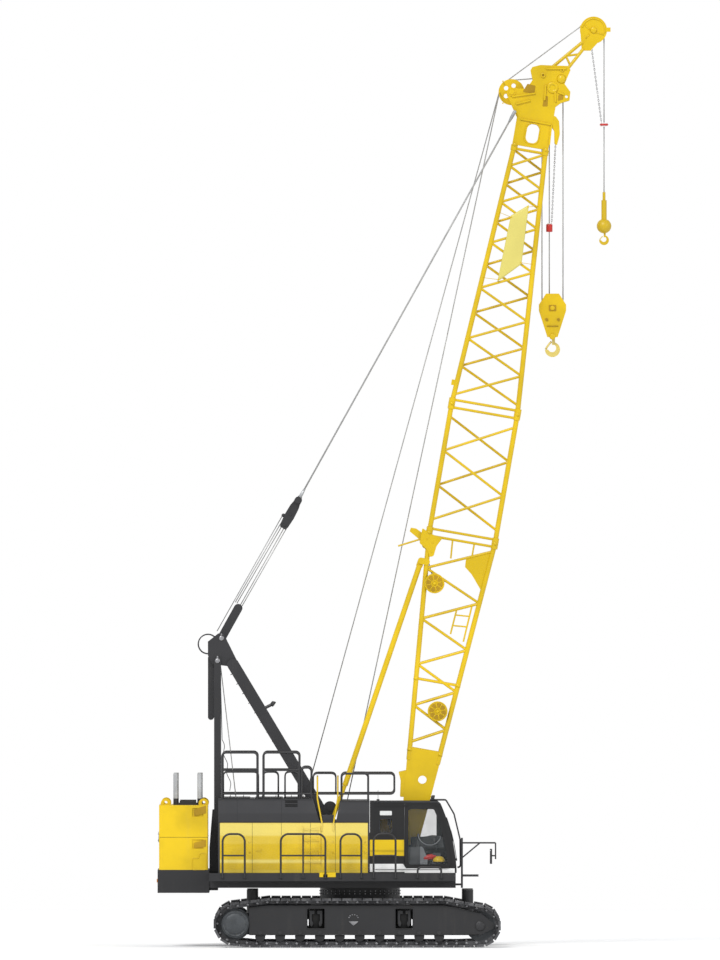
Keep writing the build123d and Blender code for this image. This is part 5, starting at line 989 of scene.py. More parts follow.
# ------------------------------------------------------------------ houses, deck and counterweight
@dataclass
class Houses:
    """Engine houses, catwalks, rails and deck, with latches, grilles, lamps and the deck's machinery."""

    side: float = 1664.0
    latched: tuple[int, ...] = (-2565, -1213, -631, 121)
    walk_edge: float = 2120.0
    rails: tuple[int, ...] = (-3192, -2677, -1841, -1322, -804, -454, 30, 315, 827, 1340, 1887)
    roof: float = 3448.0
    lamp_way: Point = (0.8, 0.0, -0.6)
    hose_ends: tuple[float, ...] = tuple(np.linspace(-270, 270, 7))

    def latches(self) -> Grids:
        """Flush latches: a round-cornered dish with a paddle in it, on each body panel but the door's."""
        dish = ((0.0, 0.002), (0.016, 0.002), (0.02, 0.007), (0.026, 0.007), (0.028, 0.0))
        for hand in SIDES:
            y = hand * self.side
            for x in self.latched:
                for z in (2200, 2440):
                    yield turned(dish, at(x, y, z), (0, hand, 0), 20)
                    yield block((x - 8, x + 8), (y, y + hand * 9), (z - 16, z + 16), 0.002)

    def louvres(self) -> Grids:
        """Slanted slats in the grille on each house's rear wall."""
        for start in (-1500, 950):
            for z in np.arange(2060, 2860, 40):
                slat = ((-3320, 0), (-3300, 22), (-3300, 16), (-3316, -4))
                yield plate([(x, z + up) for x, up in slat], start, 0.55, 0.0)

    def air_slots(self) -> Grids:
        """Slats of the air slots high on the side of each rear house, one over another, in near-black painted
        shade.
        """
        for hand in SIDES:
            for z in (3258, 3302, 3346, 3386):
                yield block((-1746, -1450), (hand * 1630, hand * 1652.5), (z, z + 24), 0.002)

    def low_hoops(self) -> Grids:
        """Low hoops along the inner edge of the roofs, and the hoop that bridges the gap between the houses."""
        for hand in SIDES:
            for start, end, y, foot, top in ((-3185, -2369, 980, 3440, 4062), (-2253, -1903, 980, 3440, 4062),
                                             (-1747, -1437, 980, 3440, 4062), (-1088, -563, 1596, 3558, 4036)):
                arch = rounded(((start, foot - 150), (start, top), (end, top), (end, foot - 150)), 110)
                bend = [(x, z) for x, z in arch if z >= foot]
                yield bar([(start, foot), *bend, (end, foot)], hand * y, 0.017, 8)

    def roof_fittings(self) -> Grids:
        """Roof hatches with their handles, and drip edges, on both houses."""
        handle = ((-70, 3470), (-70, 3505), (70, 3505), (70, 3470))
        for hand in SIDES:
            for start, end in ((-3180, -2560), (-2440, -1800), (-1740, -1180)):
                yield block((start, end), (hand * 930, hand * 1500), (self.roof, self.roof + 24), 0.01)
                for share in (0.25, 0.75):
                    x = start + (end - start) * share
                    yield tube([at(x, hand * 1215 + across, z) for across, z in handle], 0.006)
            for start, end, low, high in ((-3297, -1110, 3418, 3452), (-460, 221, 3372, 3406),
                                          (-3297, 221, 2893, 2913)):
                yield block((start, end), (hand * 1640, hand * 1660), (low, high))

    def side_seams(self) -> Grids:
        """Pressed seams of the dark upper side: narrow upright flutes."""
        for hand in SIDES:
            for x in (-2860, -1829):
                yield block((x, x + 10), (hand * 1648, hand * 1653), (2915, 3415), 0.002)

    def deck_machinery(self) -> Grids:
        """Swing motor, valve block and their flanges on the deck between the houses."""
        motor = ((0.24, 0), (0.24, 0.04), (0.19, 0.06), (0.19, 0.3), (0.21, 0.32), (0.21, 0.36), (0.13, 0.4),
                 (0.12, 0.62), (0.1, 0.66), (0.0, 0.665))
        yield turned(motor, at(560, 0, 1538), (0, 0, 1), 32)
        for turn in ring(10):
            yield drum(at(560 + 215 * cos(turn), 215 * sin(turn), 1578), (0, 0, 1), 0.014, 0.018, 6)
        yield block((-1800, -1560), (-330, 330), (1538, 1800), 0.012)
        for y in self.hose_ends:
            yield drum(at(-1850, y, 1720), (1, 0, 0), 0.03, 0.06, 12)
            yield drum(at(-1560, y, 1660), (1, 0, 0), 0.026, 0.07, 12)

    def hoses(self) -> Grids:
        """Hydraulic hoses from the valve block to the swing motor, eased from point to point by a cubic."""
        for index, y in enumerate(self.hose_ends):
            path = np.array([at(x, y * spread, z) for x, spread, z in (
                (-1500, 1.0, 1660), (-1350, 1.0, 1640), (-1150, 1.1, 1585 + 4 * index), (-700, 1.25, 1575),
                (-200, 1.1, 1575), (250, 0.75, 1600), (360, 0.5, 1700))])
            count = np.linspace(0, len(path) - 1, 40)
            low = np.clip(count.astype(int), 0, len(path) - 2)
            share = (count - low)[:, None]
            smooth = share * share * (3 - 2 * share)
            yield tube(path[low] * (1 - smooth) + path[low + 1] * smooth, 0.014, 8)

    def lamps(self, profile: Sequence[tuple[float, float]], ahead: float = 0.0) -> Grids:
        """Turned parts of the two work lamps on the gantry.

        Args:
            profile: the part's outline.
            ahead: how far in front of the lamp's middle it is.

        Yields:
            One surface for each lamp.
        """
        for y in (-511, 511):
            centre = np.array(at(-2020, y, 5645)) + ahead * np.array(self.lamp_way)
            yield turned(profile, centre, self.lamp_way, 20)

    def rail_feet(self) -> Grids:
        """Feet of the rails on the catwalks' outer edges, each with four bolts."""
        for hand in SIDES:
            near, bolt, far = (hand * (self.walk_edge + out) for out in (0, 10, 12))
            for x in self.rails:
                yield block((x - 50, x + 50), (near, far), (1600, 1700), 0.004)
                for across in (-36, 36):
                    for z in (1617, 1683):
                        yield drum(at(x + across, bolt, z), (0, hand, 0), 0.008, 0.009, 6)

    def step_edges(self) -> Grids:
        """Yellow step edge over the outer lip of each catwalk."""
        for hand in SIDES:
            for inner, low in ((1, 1631), (-160, 1735)):
                yield block((-943, -564), (hand * (self.walk_edge + inner), hand * (self.walk_edge + 12)),
                            (low, 1747), 0.004)

    def build(self) -> None:
        """Makes the fittings and dresses the nodes."""
        dress(Finish.DARK_PAINT, "upper_frame", "handrails", "roof_rails")
        dress(Finish.HOUSE_PAINT, "house_shell_right", "house_shell_left")
        dress(Finish.TREAD_PAINT, "catwalks")
        dress(Finish.PANEL_YELLOW, "house_panels", "house_door_right", "house_door_left")
        dress(Finish.MACHINERY, "engine")
        bodies = self.lamps(((0.0, -0.06), (0.03, -0.058), (0.05, -0.03), (0.06, 0.0), (0.064, 0.03),
                             (0.056, 0.032)))
        glasses = self.lamps(((0.056, 0), (0.05, 0.008), (0.03, 0.014), (0.0, 0.016)), 0.026)
        for name, grids, finish, slot, smooth in (
                ("panel_latches", self.latches(), Finish.PANEL_YELLOW, "yellow_paint", True),
                ("air_louvres", self.louvres(), Finish.DARK_PAINT, "dark_paint", False),
                ("roof_air_slots", self.air_slots(), Finish.SHADE_BLACK, "dark_paint", False),
                ("roof_low_hoops", self.low_hoops(), Finish.DARK_PAINT, "dark_paint", True),
                ("roof_hatches", self.roof_fittings(), Finish.DARK_PAINT, "dark_paint", False),
                ("roof_side_seams", self.side_seams(), Finish.DARK_PAINT, "dark_paint", False),
                ("deck_machinery", self.deck_machinery(), Finish.MACHINERY, "machinery", True),
                ("deck_hoses", self.hoses(), Finish.RUBBER, "console_plastic", True),
                ("work_lamps", bodies, Finish.RUBBER, "console_plastic", True),
                ("lamp_lenses", glasses, Finish.LENS, "window", True),
                ("rail_feet", self.rail_feet(), Finish.DARK_PAINT, "dark_paint", False),
                ("step_edges", self.step_edges(), Finish.YELLOW_PAINT, "yellow_paint", False)):
            fit(name, grids, finish, "upper", slot, smooth)


@dataclass
class Counterweight:
    """Cast counterweight blocks on their tray, with the pale lifting posts and dark cap."""

    half: float = 1650.0
    joint: float = 2.551

    def rims(self) -> Grids:
        """Step-shaped mark cast in the blocks' sides."""
        mark = ((-3900, 1800), (-3580, 1800), (-3580, 2176), (-3720, 2176), (-3760, 2060), (-3900, 2060))
        for y in (-self.half, self.half):
            yield bead(mark, y, 0.012, 30)

    def pocket_shade(self) -> Grids:
        """Painted shade on the floors of the lifting pockets: brown plates on the slanted cast faces."""
        for hand in SIDES:
            for shape in (((-3860, 2290), (-3580, 2330), (-3580, 2500), (-3860, 2420)),
                          ((-3860, 3050), (-3580, 3110), (-3580, 3290), (-3860, 3200))):
                yield plate(shape, hand * self.half, hand * 0.006, 0.002, 20)

    def seam(self) -> Grids:
        """Painted shadow in the joint between the two cast blocks, down both sides and across the rear."""
        low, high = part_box("counterweight_upper")
        under, over, half = self.joint - 0.003, self.joint + 0.004, self.half * MM
        for y in (-half, half):
            yield box((low.x + 0.01, y - 0.002, under), (high.x - 0.01, y + 0.002, over), 0.0005)
        yield box((low.x - 0.002, 0.02 - half, under), (low.x + 0.002, half - 0.02, over), 0.0005)

    def ties(self) -> Grids:
        """Tie bolts between the blocks on the rear face, with their plates."""
        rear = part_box("counterweight_upper")[0].x
        for y in np.linspace(-1.35, 1.35, 4):
            yield box((rear - 0.014, y - 0.09, self.joint - 0.12), (rear, y + 0.09, self.joint + 0.12))
            for across in (-0.05, 0.05):
                for up in (-0.08, 0.08):
                    yield drum((rear - 0.012, y + across, self.joint + up), (-1, 0, 0), 0.02, 0.016, 6)

    def lamps(self) -> Grids:
        """Tail lamps on the tray's rear face."""
        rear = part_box("counterweight_tray")[0].x
        for y in (-1.4, 1.4):
            yield box((rear - 0.02, y - 0.12, 1.5), (rear, y + 0.12, 1.58), 0.01)

    def build(self) -> None:
        """Makes the fittings and dresses the nodes."""
        dress(Finish.FRAME_PAINT, "counterweight_tray")
        dress(Finish.WEIGHT_YELLOW, "counterweight_lower", "counterweight_upper")
        dress(Finish.LIFT_POSTS, "lift_posts")
        for name, grids, finish, slot in (("pocket_rims", self.rims(), Finish.WEIGHT_YELLOW, "yellow_paint"),
                                          ("pocket_shade_plates", self.pocket_shade(), Finish.SHADE_BROWN, ""),
                                          ("weight_seam", self.seam(), Finish.SHADE_BLACK, ""),
                                          ("weight_ties", self.ties(), Finish.BOLT_STEEL, "post_steel"),
                                          ("tail_lamps", self.lamps(), Finish.AMBER_LENS, "")):
            fit(name, grids, finish, "upper", slot)


# ------------------------------------------------------------------ cab
def bent(value: np.ndarray, power: float) -> np.ndarray:
    """A power that keeps the sign."""
    return np.sign(value) * np.abs(value) ** power


def cushion(centre: Point, half: Point, tilt: float = 0.0, channels: int = 2) -> Grid:
    """A stuffed pad: a squarish closed form whose sides pull in between its corners.

    Each point is the sign and a power of the sine and cosine of two angles, which makes a rounded block; the
    sides are drawn in where a side's middle is, and sewn channels press in across the top.

    Args:
        centre: middle of the pad.
        half: half its length, width and thickness.
        tilt: how far it leans back, in radians.
        channels: how many sewn channels cross it.

    Returns:
        The pad's surface.
    """
    around, over = ring(56)[None, :], np.linspace(-pi / 2 + 0.02, pi / 2 - 0.02, 29)[:, None]
    flat = bent(np.cos(over), 0.5)
    pull = 1 - 0.05 * np.cos(2 * around) ** 2 * np.cos(over) ** 2
    x = half[0] * flat * bent(np.cos(around), 0.42) * pull
    y = half[1] * flat * bent(np.sin(around), 0.42) * pull
    z = half[2] * bent(np.sin(over), 0.75)
    for index in range(channels):
        line = half[1] * (2 * (index + 1) / (channels + 1) - 1)
        z = z - np.sign(z) * 0.012 * np.exp(-(((y - line) / 0.012) ** 2)) * (np.abs(z) > half[2] * 0.3)
    return Grid(np.stack([centre[0] + x * cos(tilt) - z * sin(tilt), centre[1] + y,
                          centre[2] + x * sin(tilt) + z * cos(tilt)], -1))


@dataclass
class Cab:
    """Operator's cab: painted shell, glass, seat, consoles, wiper, lamps and mirror."""

    seat: Point = (980.0, -1230.0, 1764.0)
    outer: float = -1650.0
    nose: tuple[Place, ...] = ((2248, 1790), (2130, 2586), (1876, 3332))

    def by_seat(self, x: float, y: float, z: float) -> Point:
        """A point ahead of the seat's middle, to the left of it and above the floor."""
        return at(self.seat[0] + x, self.seat[1] + y, self.seat[2] + z)

    def seat_pads(self) -> Grids:
        """Seat, back and head cushions and the armrests' pads."""
        yield cushion(self.by_seat(15, 0, 372), (0.25, 0.245, 0.062))
        yield cushion(self.by_seat(-226, 0, 745), (0.3, 0.225, 0.055), 1.40)
        yield cushion(self.by_seat(-300, 0, 1140), (0.085, 0.125, 0.038), 1.45, channels=0)
        for y in (-232, 232):
            yield cushion(self.by_seat(10, y, 585), (0.15, 0.02, 0.024), channels=0)

    def seat_frame(self) -> Grids:
        """Bellows between plates under the seat, the armrests' bars and the head cushion's post."""
        skirt = [(0.16 + 0.014 * cos(wave * 2 * pi * 5), 0.03 + 0.2 * wave) for wave in np.linspace(0, 1, 25)]
        yield turned(skirt, self.by_seat(10, 0, 0), (0, 0, 1), 32)
        for low, high, size in ((2, 30, 170), (232, 262, 190), (270, 305, 210)):
            yield box(self.by_seat(10 - size, -size, low), self.by_seat(10 + size, size, high), 0.006)
        for y in (-232, 232):
            yield tube([self.by_seat(x, y, z) for x, z in ((-160, 480), (-150, 555), (150, 560))], 0.014, 8)
        yield tube([self.by_seat(-280, 0, 980), self.by_seat(-296, 0, 1120)], 0.012, 8)

    def controls(self) -> Grids:
        """Joysticks with gaiters, switch rows and pedals."""
        gaiter = [(0.05 * (1 - 0.6 * wave) + 0.005 * cos(wave * 2 * pi * 4), 0.09 * wave)
                  for wave in np.linspace(0, 1, 17)]
        knob = ((0.0, -0.03), (0.018, -0.03), (0.026, 0.0), (0.03, 0.05), (0.026, 0.08), (0.012, 0.094),
                (0.0, 0.096))
        for y in (-306, 306):
            yield turned(gaiter, self.by_seat(340, y, 560), (0.13, 0, 1), 20)
            yield turned(knob, self.by_seat(372, y, 770), (0.13, 0, 1), 18)
            for x in range(-60, 270, 55):
                yield box(self.by_seat(x - 12, y - 20, 561), self.by_seat(x + 12, y + 20, 573))
        for y in (-180, -60, 60, 180):
            pedal = ((600, 40), (690, 110), (690, 125), (600, 55))
            yield slab([self.by_seat(x, y - 38, z) for x, z in pedal], (0, 0.076, 0), 0.003)

    def display(self) -> Grids:
        """Load display on a bent stalk over the front console."""
        yield tube([self.by_seat(x, 180, z) for x, z in ((800, 420), (800, 560), (770, 620))], 0.012, 8)
        yield box(self.by_seat(725, 50, 590), self.by_seat(770, 310, 770), 0.01)

    def hard_hat(self) -> Grids:
        """Yellow hard hat on the front tray: a dome with a rim and ridges, as a turned grid."""
        centre = at(1830, -1500, 1990)
        over, around = np.linspace(0.05, pi / 2, 12)[::-1][:, None], ring(40)[None, :]
        ridge = 1 + 0.03 * np.exp(-((np.sin(around) / 0.16) ** 2)) * np.sin(over)
        radius = 0.115 * np.cos(pi / 2 - over) * ridge
        yield Grid(np.stack([centre[0] + 1.25 * radius * np.cos(around), centre[1] + radius * np.sin(around),
                             centre[2] + 0.13 * np.cos(over) * ridge], -1))
        rim = ((0.0, 0), (0.125, 0.0), (0.14, -0.008), (0.142, -0.004), (0.12, 0.008), (0.0, 0.008))
        yield turned(rim, centre, (0, 0, 1), 40)

    def nose_line(self, share: float, out: float) -> Place:
        """A side-view place on the windscreen's curve, some share of the way up and out from it.

        The curve is the circle through the nose's three points, whose centre is as far from all of them.

        Args:
            share: 0 at the curve's foot and 1 at its top.
            out: how far outside the curve.

        Returns:
            The place.
        """
        foot, middle, top = np.array(self.nose)
        centre = np.linalg.solve(2 * np.array([middle - foot, top - foot]),
                                 [middle @ middle - foot @ foot, top @ top - foot @ foot])
        low, high = (atan2(end[1] - centre[1], end[0] - centre[0]) for end in (foot, top))
        turn = low + (high - low) * share
        radius = float(np.linalg.norm(foot - centre)) + out
        return centre[0] + radius * cos(turn), centre[1] + radius * sin(turn)

    def wiper(self) -> Grids:
        """Wiper arm and blade on the windscreen, following its curve, and the arm's hub."""
        arm = [(*self.nose_line(share, 16), share) for share in np.linspace(0.16, 0.58, 10)]
        yield tube([at(x, -1230 + 140 * share, z) for x, z, share in arm], 0.008)
        yield bar([self.nose_line(share, 9) for share in np.linspace(0.42, 0.78, 12)], -1140, 0.009)
        x, z = self.nose_line(0.15, 2)
        yield drum(at(x, -1210, z), (1, 0, 0.15), 0.03, 0.03, 20)

    def roof_lamps(self) -> Grids:
        """Work lamps on the front of the cab roof and an aerial behind them."""
        lamp = ((0.0, -0.05), (0.04, -0.045), (0.056, -0.01), (0.06, 0.03), (0.05, 0.034), (0.0, 0.03))
        for y in (-1500, -960):
            yield turned(lamp, at(1700, y, 3470), (1, 0, -0.25), 20)
            yield block((1680, 1720), (y - 20, y + 20), (3402, 3440))
        yield drum(at(420, -1000, 3402), (0, 0, 1), 0.035, 0.03, 20)
        yield tube([at(420, -1000, 3430), at(420, -1000, 3640)], 0.005)

    def build(self) -> None:
        """Makes the fittings and dresses the nodes."""
        dress(Finish.CAB_PAINT, "cab_side", "cab_door", "cab_inner_side")
        dress(Finish.DARK_PAINT, "cab_roof", "cab_guard", "front_post")
        dress(Finish.CAB_DARK, "cab_rear", "cab_front")
        dress(Finish.TREAD_PAINT, "cab_floor")
        dress(Finish.WINDOW, "cab_glass", "cab_door_glass")
        dress(Finish.CONSOLE, "cab_console")
        pads = fit("seat_cushions", self.seat_pads(), Finish.SEAT_FABRIC, "upper", "seat_fabric")
        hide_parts("cab_seat")
        cover = ((1130, 1790), (1570, 1790), (1570, 2060), (1460, 2330), (1280, 2330), (1180, 2080))
        bottle = ((0.0, 0), (0.05, 0.004), (0.066, 0.03), (0.066, 0.2), (0.045, 0.24), (0.022, 0.26),
                  (0.02, 0.3), (0.0, 0.302))
        trim = ((1180, 2300), (1960, 2300), (1900, 2560), (1700, 2600), (1500, 2560), (1180, 2560))
        hoop = arc((1619, 2640, 270), pi * 1.02, pi * 1.92, 26)
        gutter, strip = ((236, 3372), (1780, 3372), (1870, 3320)), (self.outer - 3, self.outer + 10)
        plastic = "console_plastic"
        for name, grids, finish, slot in (
                ("seat_frame", self.seat_frame(), Finish.CONSOLE, plastic),
                ("cab_controls", self.controls(), Finish.RUBBER, plastic),
                ("load_display", self.display(), Finish.CONSOLE, plastic),
                ("display_screen", [box(self.by_seat(721, 70, 610), self.by_seat(726, 290, 750), 0.001)],
                 Finish.SCREEN, "window"),
                ("console_cover", [plate(cover, self.seat[1] - 345, 0.06, 0.008, 50)],
                 Finish.CONSOLE_GREY, plastic),
                ("fire_bottle", [turned(bottle, at(1470, -1520, 2060), (1, 0, 0.2))], Finish.RED_PAINT, ""),
                # Dark brownish yellow panel inside the cab: painted shade, yellow as seen in shadow through the
                # window.
                ("cab_locker", [plate(rect(430, 790, 2620, 3010), -940, -0.006, 0.002, 30),
                                bead(rect(480, 740, 2670, 2960), -946, 0.012, 24)], Finish.SHADE_BROWN, ""),
                ("inner_trim", [plate(trim, -930, -0.02, 0.006, 60)], Finish.CONSOLE, plastic),
                ("grab_hoop", [bar(hoop, -1570, 0.011, 8)], Finish.CONSOLE_GREY, plastic),
                ("hard_hat", self.hard_hat(), Finish.YELLOW_PAINT, "yellow_paint"),
                ("windscreen_wiper", self.wiper(), Finish.RUBBER, plastic),
                ("cab_side_plate", [plate(rect(462, 741, 3064, 3165), self.outer, -0.001, 0.0003, 20)],
                 Finish.PALE_PLATE, ""),
                ("cab_seals", [bead(rect(454, 757, 2656, 2982), self.outer + 11, 0.012, 60, 8)], Finish.RUBBER,
                 plastic),
                ("cab_gutters", [bar(gutter, self.outer - 6, 0.014, 8),
                                 block((1024, 1056), strip, (1960, 3330), 0.001)],
                 Finish.HOUSE_PAINT, "dark_paint"),
                ("cab_roof_lamps", self.roof_lamps(), Finish.RUBBER, plastic),
                ("mirror_face", [block((3018, 3022), (-1710, -1470), (1950, 2270))], Finish.MIRROR, "window")):
            fit(name, grids, finish, "upper", slot)


# ------------------------------------------------------------------ ropes
def tangent(first: Wheel, second: Wheel, side: int) -> tuple[Place, Place]:
    """Where a rope leaves one wheel and meets another on the same side of both.

    The rope's normal leans from square to the line of centres by the angle whose sine is the difference of
    the radii over the distance.

    Args:
        first: the wheel it leaves.
        second: the wheel it meets.
        side: 1 for the left of the way from first to second, -1 for its right.

    Returns:
        The two touching points in side view.
    """
    (x1, z1, r1), (x2, z2, r2) = first, second
    run = hypot(x2 - x1, z2 - z1)
    ux, uz = (x2 - x1) / run, (z2 - z1) / run
    lean = (r1 - r2) / run
    square = (1 - lean * lean) ** 0.5
    nx, nz = ux * lean - uz * side * square, uz * lean + ux * side * square
    return (x1 + nx * r1, z1 + nz * r1), (x2 + nx * r2, z2 + nz * r2)


def wrap(wheel: Wheel, start: Place, end: Place, y: float, turn: int, short: float = 0.03) -> list[Point]:
    """Points of a rope round a wheel from one touching point to another.

    Args:
        wheel: the wheel's place and the rope's radius.
        start: the touching point it starts at.
        end: the touching point it goes to.
        y: how far to the left it runs.
        turn: 1 with the angle rising, -1 with it falling.
        short: angle it stops short of the end.

    Returns:
        The points.
    """
    low, high = (atan2(place[1] - wheel[1], place[0] - wheel[0]) for place in (start, end))
    if (high - low) * turn < 0:
        high += turn * 2 * pi
    return [at(x, y, z) for x, z in arc(wheel, low, high - turn * short, 25)]


def scallops(share: np.ndarray) -> np.ndarray:
    """Heights along a row of half circles, one from each whole number to the next."""
    return np.sqrt(np.clip(1 - (2 * (share % 1) - 1) ** 2, 0, 1))


@dataclass
class Ropes:
    """Hoist ropes, falls and boom-hoist reeving, and the rope wound on the three drums."""

    front: Wheel = (-102, 2300, 420)
    rear: Wheel = (-1235, 2300, 343)
    luffing: Wheel = (-2480, 2300, 273)
    fall_y: float = 60.0
    thin: float = 0.0105
    becket: Place = (4411, 19690)
    becket_foot: float = 15190
    aux_end: float = 17.55
    winding_half: float = 0.484
    turns: int = 36
    sunk: float = 0.006

    def laid(self, name: str, paths: Iterable[Sequence[Point]], radius: float = ROPE,
             sides: int = 12) -> bpy.types.Object:
        """One piece of rope along some paths."""
        return surface(name, [tube(path, radius, sides) for path in paths], Finish.WIRE)

    def hoist(self) -> None:
        """Both hoist ropes from their drums up behind the boom, over the idler and on to their sheaves."""
        for name, reel, y, lean, last in (("aux_hoist", self.rear, self.fall_y, 0.0, JIB_SHEAVE),
                                          ("main_hoist", self.front, -self.fall_y, -self.fall_y, POINT_SHEAVE)):
            low, high = tangent(reel, IDLER, 1)
            start, end = at(low[0], y, low[1]), at(high[0], y, high[1])
            stretch(self.laid(f"{name}_rope", [[start, end]]), "upper", "boom", start, end)
            leave, meet = tangent(IDLER, last, 1)
            path = [*wrap(IDLER, high, leave, y, -1), at(meet[0], lean, meet[1]),
                    *wrap(last, meet, (last[0] + last[2], last[1]), lean, -1)[1:]]
            ride(self.laid(f"{name}_over", [path]), "boom", "rope_steel")

    def point_turn(self) -> None:
        """The turn of rope over the second point sheave."""
        x, z, radius = POINT_SHEAVE
        path = wrap(POINT_SHEAVE, (x - radius, z), (x + radius, z), self.fall_y, -1)
        ride(self.laid("point_rope_turn", [path]), "boom", "rope_steel")

    def falls(self) -> None:
        """The main hook's four falls and the auxiliary hook's single rope."""
        (x, z, radius), foot = POINT_SHEAVE, BLOCK_SHEAVE[1]
        paths = [[at(x + ahead, y, foot), at(x + ahead, y, z)] for y in (-self.fall_y, self.fall_y)
                 for ahead in (-radius, radius)]
        falls = self.laid("main_rope_falls", paths)
        stretch(falls, "main_line", "hook_block", at(x, 0, z), at(x, 0, foot))
        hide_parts("main_falls")
        x, z = self.becket
        top, bottom = at(x, 0, z), at(x, 0, self.becket_foot)
        stretch(self.laid("main_becket_rope", [[bottom, top]]), "main_line", "hook_block", top, bottom)
        anchor = tube([at(x, y, z + 10) for y in (-45, 45)], 0.03, 16)
        fit("main_becket_anchor", [anchor], Finish.ROPE_STEEL, "main_line", "rope_steel")
        low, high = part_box("aux_rope")
        middle = (low.x + high.x) / 2
        rope = self.laid("aux_rope_fall", [[(middle, 0, low.z), (middle, 0, high.z)]])
        stretch(rope, "aux_line", "aux_hook", (low.x, 0, high.z), (low.x, 0, low.z))
        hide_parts("aux_rope")
        end = self.laid("aux_rope_end", [[(middle, 0, self.aux_end), (middle, 0, low.z + 0.02)]])
        ride(end, "aux_hook", "rope_steel")

    def reeving(self) -> None:
        """Ropes between the two spreaders, on both sides of their sheaves."""
        low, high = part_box("reeving")
        foot, run = np.array([low.x, 0.0, low.z]), (high.z - low.z) / STAY_UP[2]
        offsets = ((-0.06, -0.085), (0.12, 0.09), (-0.015, -0.03), (0.075, 0.035))
        paths = []
        for index, y in enumerate(np.linspace(-0.1638, 0.1638, 12)):
            start, end = offsets[index % len(offsets)]
            beside_foot = foot + [0.0, y, 0.0]
            paths.append([beside_foot + STAY_ACROSS * start, beside_foot + STAY_UP * run + STAY_ACROSS * end])
        ropes = self.laid("stay_reeving", paths, self.thin, 8)
        stretch(ropes, "stay_arm", "stay_rods", tuple(foot), tuple(foot + STAY_UP * run))
        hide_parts("reeving")
        leads = [[on_stay(0.09, 0.17, y), on_stay(3.2, 0.15, y)] for y in (-0.13, 0.13)]
        stretch(self.laid("stay_lead_ropes", leads, self.thin, 8), "stay_arm", "stay_rods",
                tuple(on_stay(0.09, 0, 0)), tuple(on_stay(3.2, 0, 0)))

    def pendants(self) -> None:
        """Pendant ropes of the stay with a socket and an eye at each end, in place of the plain rods."""
        low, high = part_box("pendants")
        run = (high.z - low.z) / STAY_UP[2] - 0.06
        socket = ((0.0, -0.03), (0.03, -0.03), (0.038, 0.0), (0.038, 0.14), (0.024, 0.26), (0.0, 0.262))
        paths, ends = [], []
        for y in (-430, 430):
            end = np.array(at(3600.4, y, 19431.5))
            start = end - STAY_UP * run
            paths.append([start, end])
            for place, way in ((start, STAY_UP), (end, -STAY_UP)):
                ends += [turned(socket, place, way, 16), drum(place - [0, 0.03, 0], (0, 1, 0), 0.042, 0.06, 20)]
        ropes = ride(self.laid("pendant_ropes", paths, 0.019, 10), "stay_rods", "rope_steel")
        fit("pendant_sockets", ends, Finish.ROPE_STEEL, "stay_rods", "post_steel")
        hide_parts("pendants")

    def boom_hoist(self) -> None:
        """Rope from the luffing drum up between the gantry's legs to its head."""
        ends = tangent(self.luffing, GANTRY_HEAD, 1)
        paths = [[at(x, y, z) for x, z in ends] for y in (-130, 130)]
        ride(self.laid("boom_hoist_rope", paths, self.thin, 10), "upper", "rope_steel")

    def windings(self) -> None:
        """Rope lying in turns on each drum: a profile of half circles, a rope's width apart, turned round."""
        half, share = self.winding_half, np.linspace(0, self.turns, self.turns * 6 + 1)
        for name, body, (x, z, radius) in (("front_drum_rope", "hoist_drum_front", self.front),
                                           ("rear_drum_rope", "hoist_drum_rear", self.rear),
                                           ("luffing_drum_rope", "luffing_drum", self.luffing)):
            turns = np.stack([radius * MM - self.sunk + ROPE * scallops(share),
                              half * (2 * share / self.turns - 1)], -1)
            inner = radius * MM - 0.1
            layer = turned([(inner, -half), *turns, (inner, half)], at(x, 0, z), (0, 1, 0), 48)
            layer.length = 0.3
            fit(name, [layer], Finish.WIRE, body, "rope_steel")

    def build(self) -> None:
        """Makes every rope."""
        self.hoist()
        self.point_turn()
        self.falls()
        self.reeving()
        self.pendants()
        self.boom_hoist()
        self.windings()


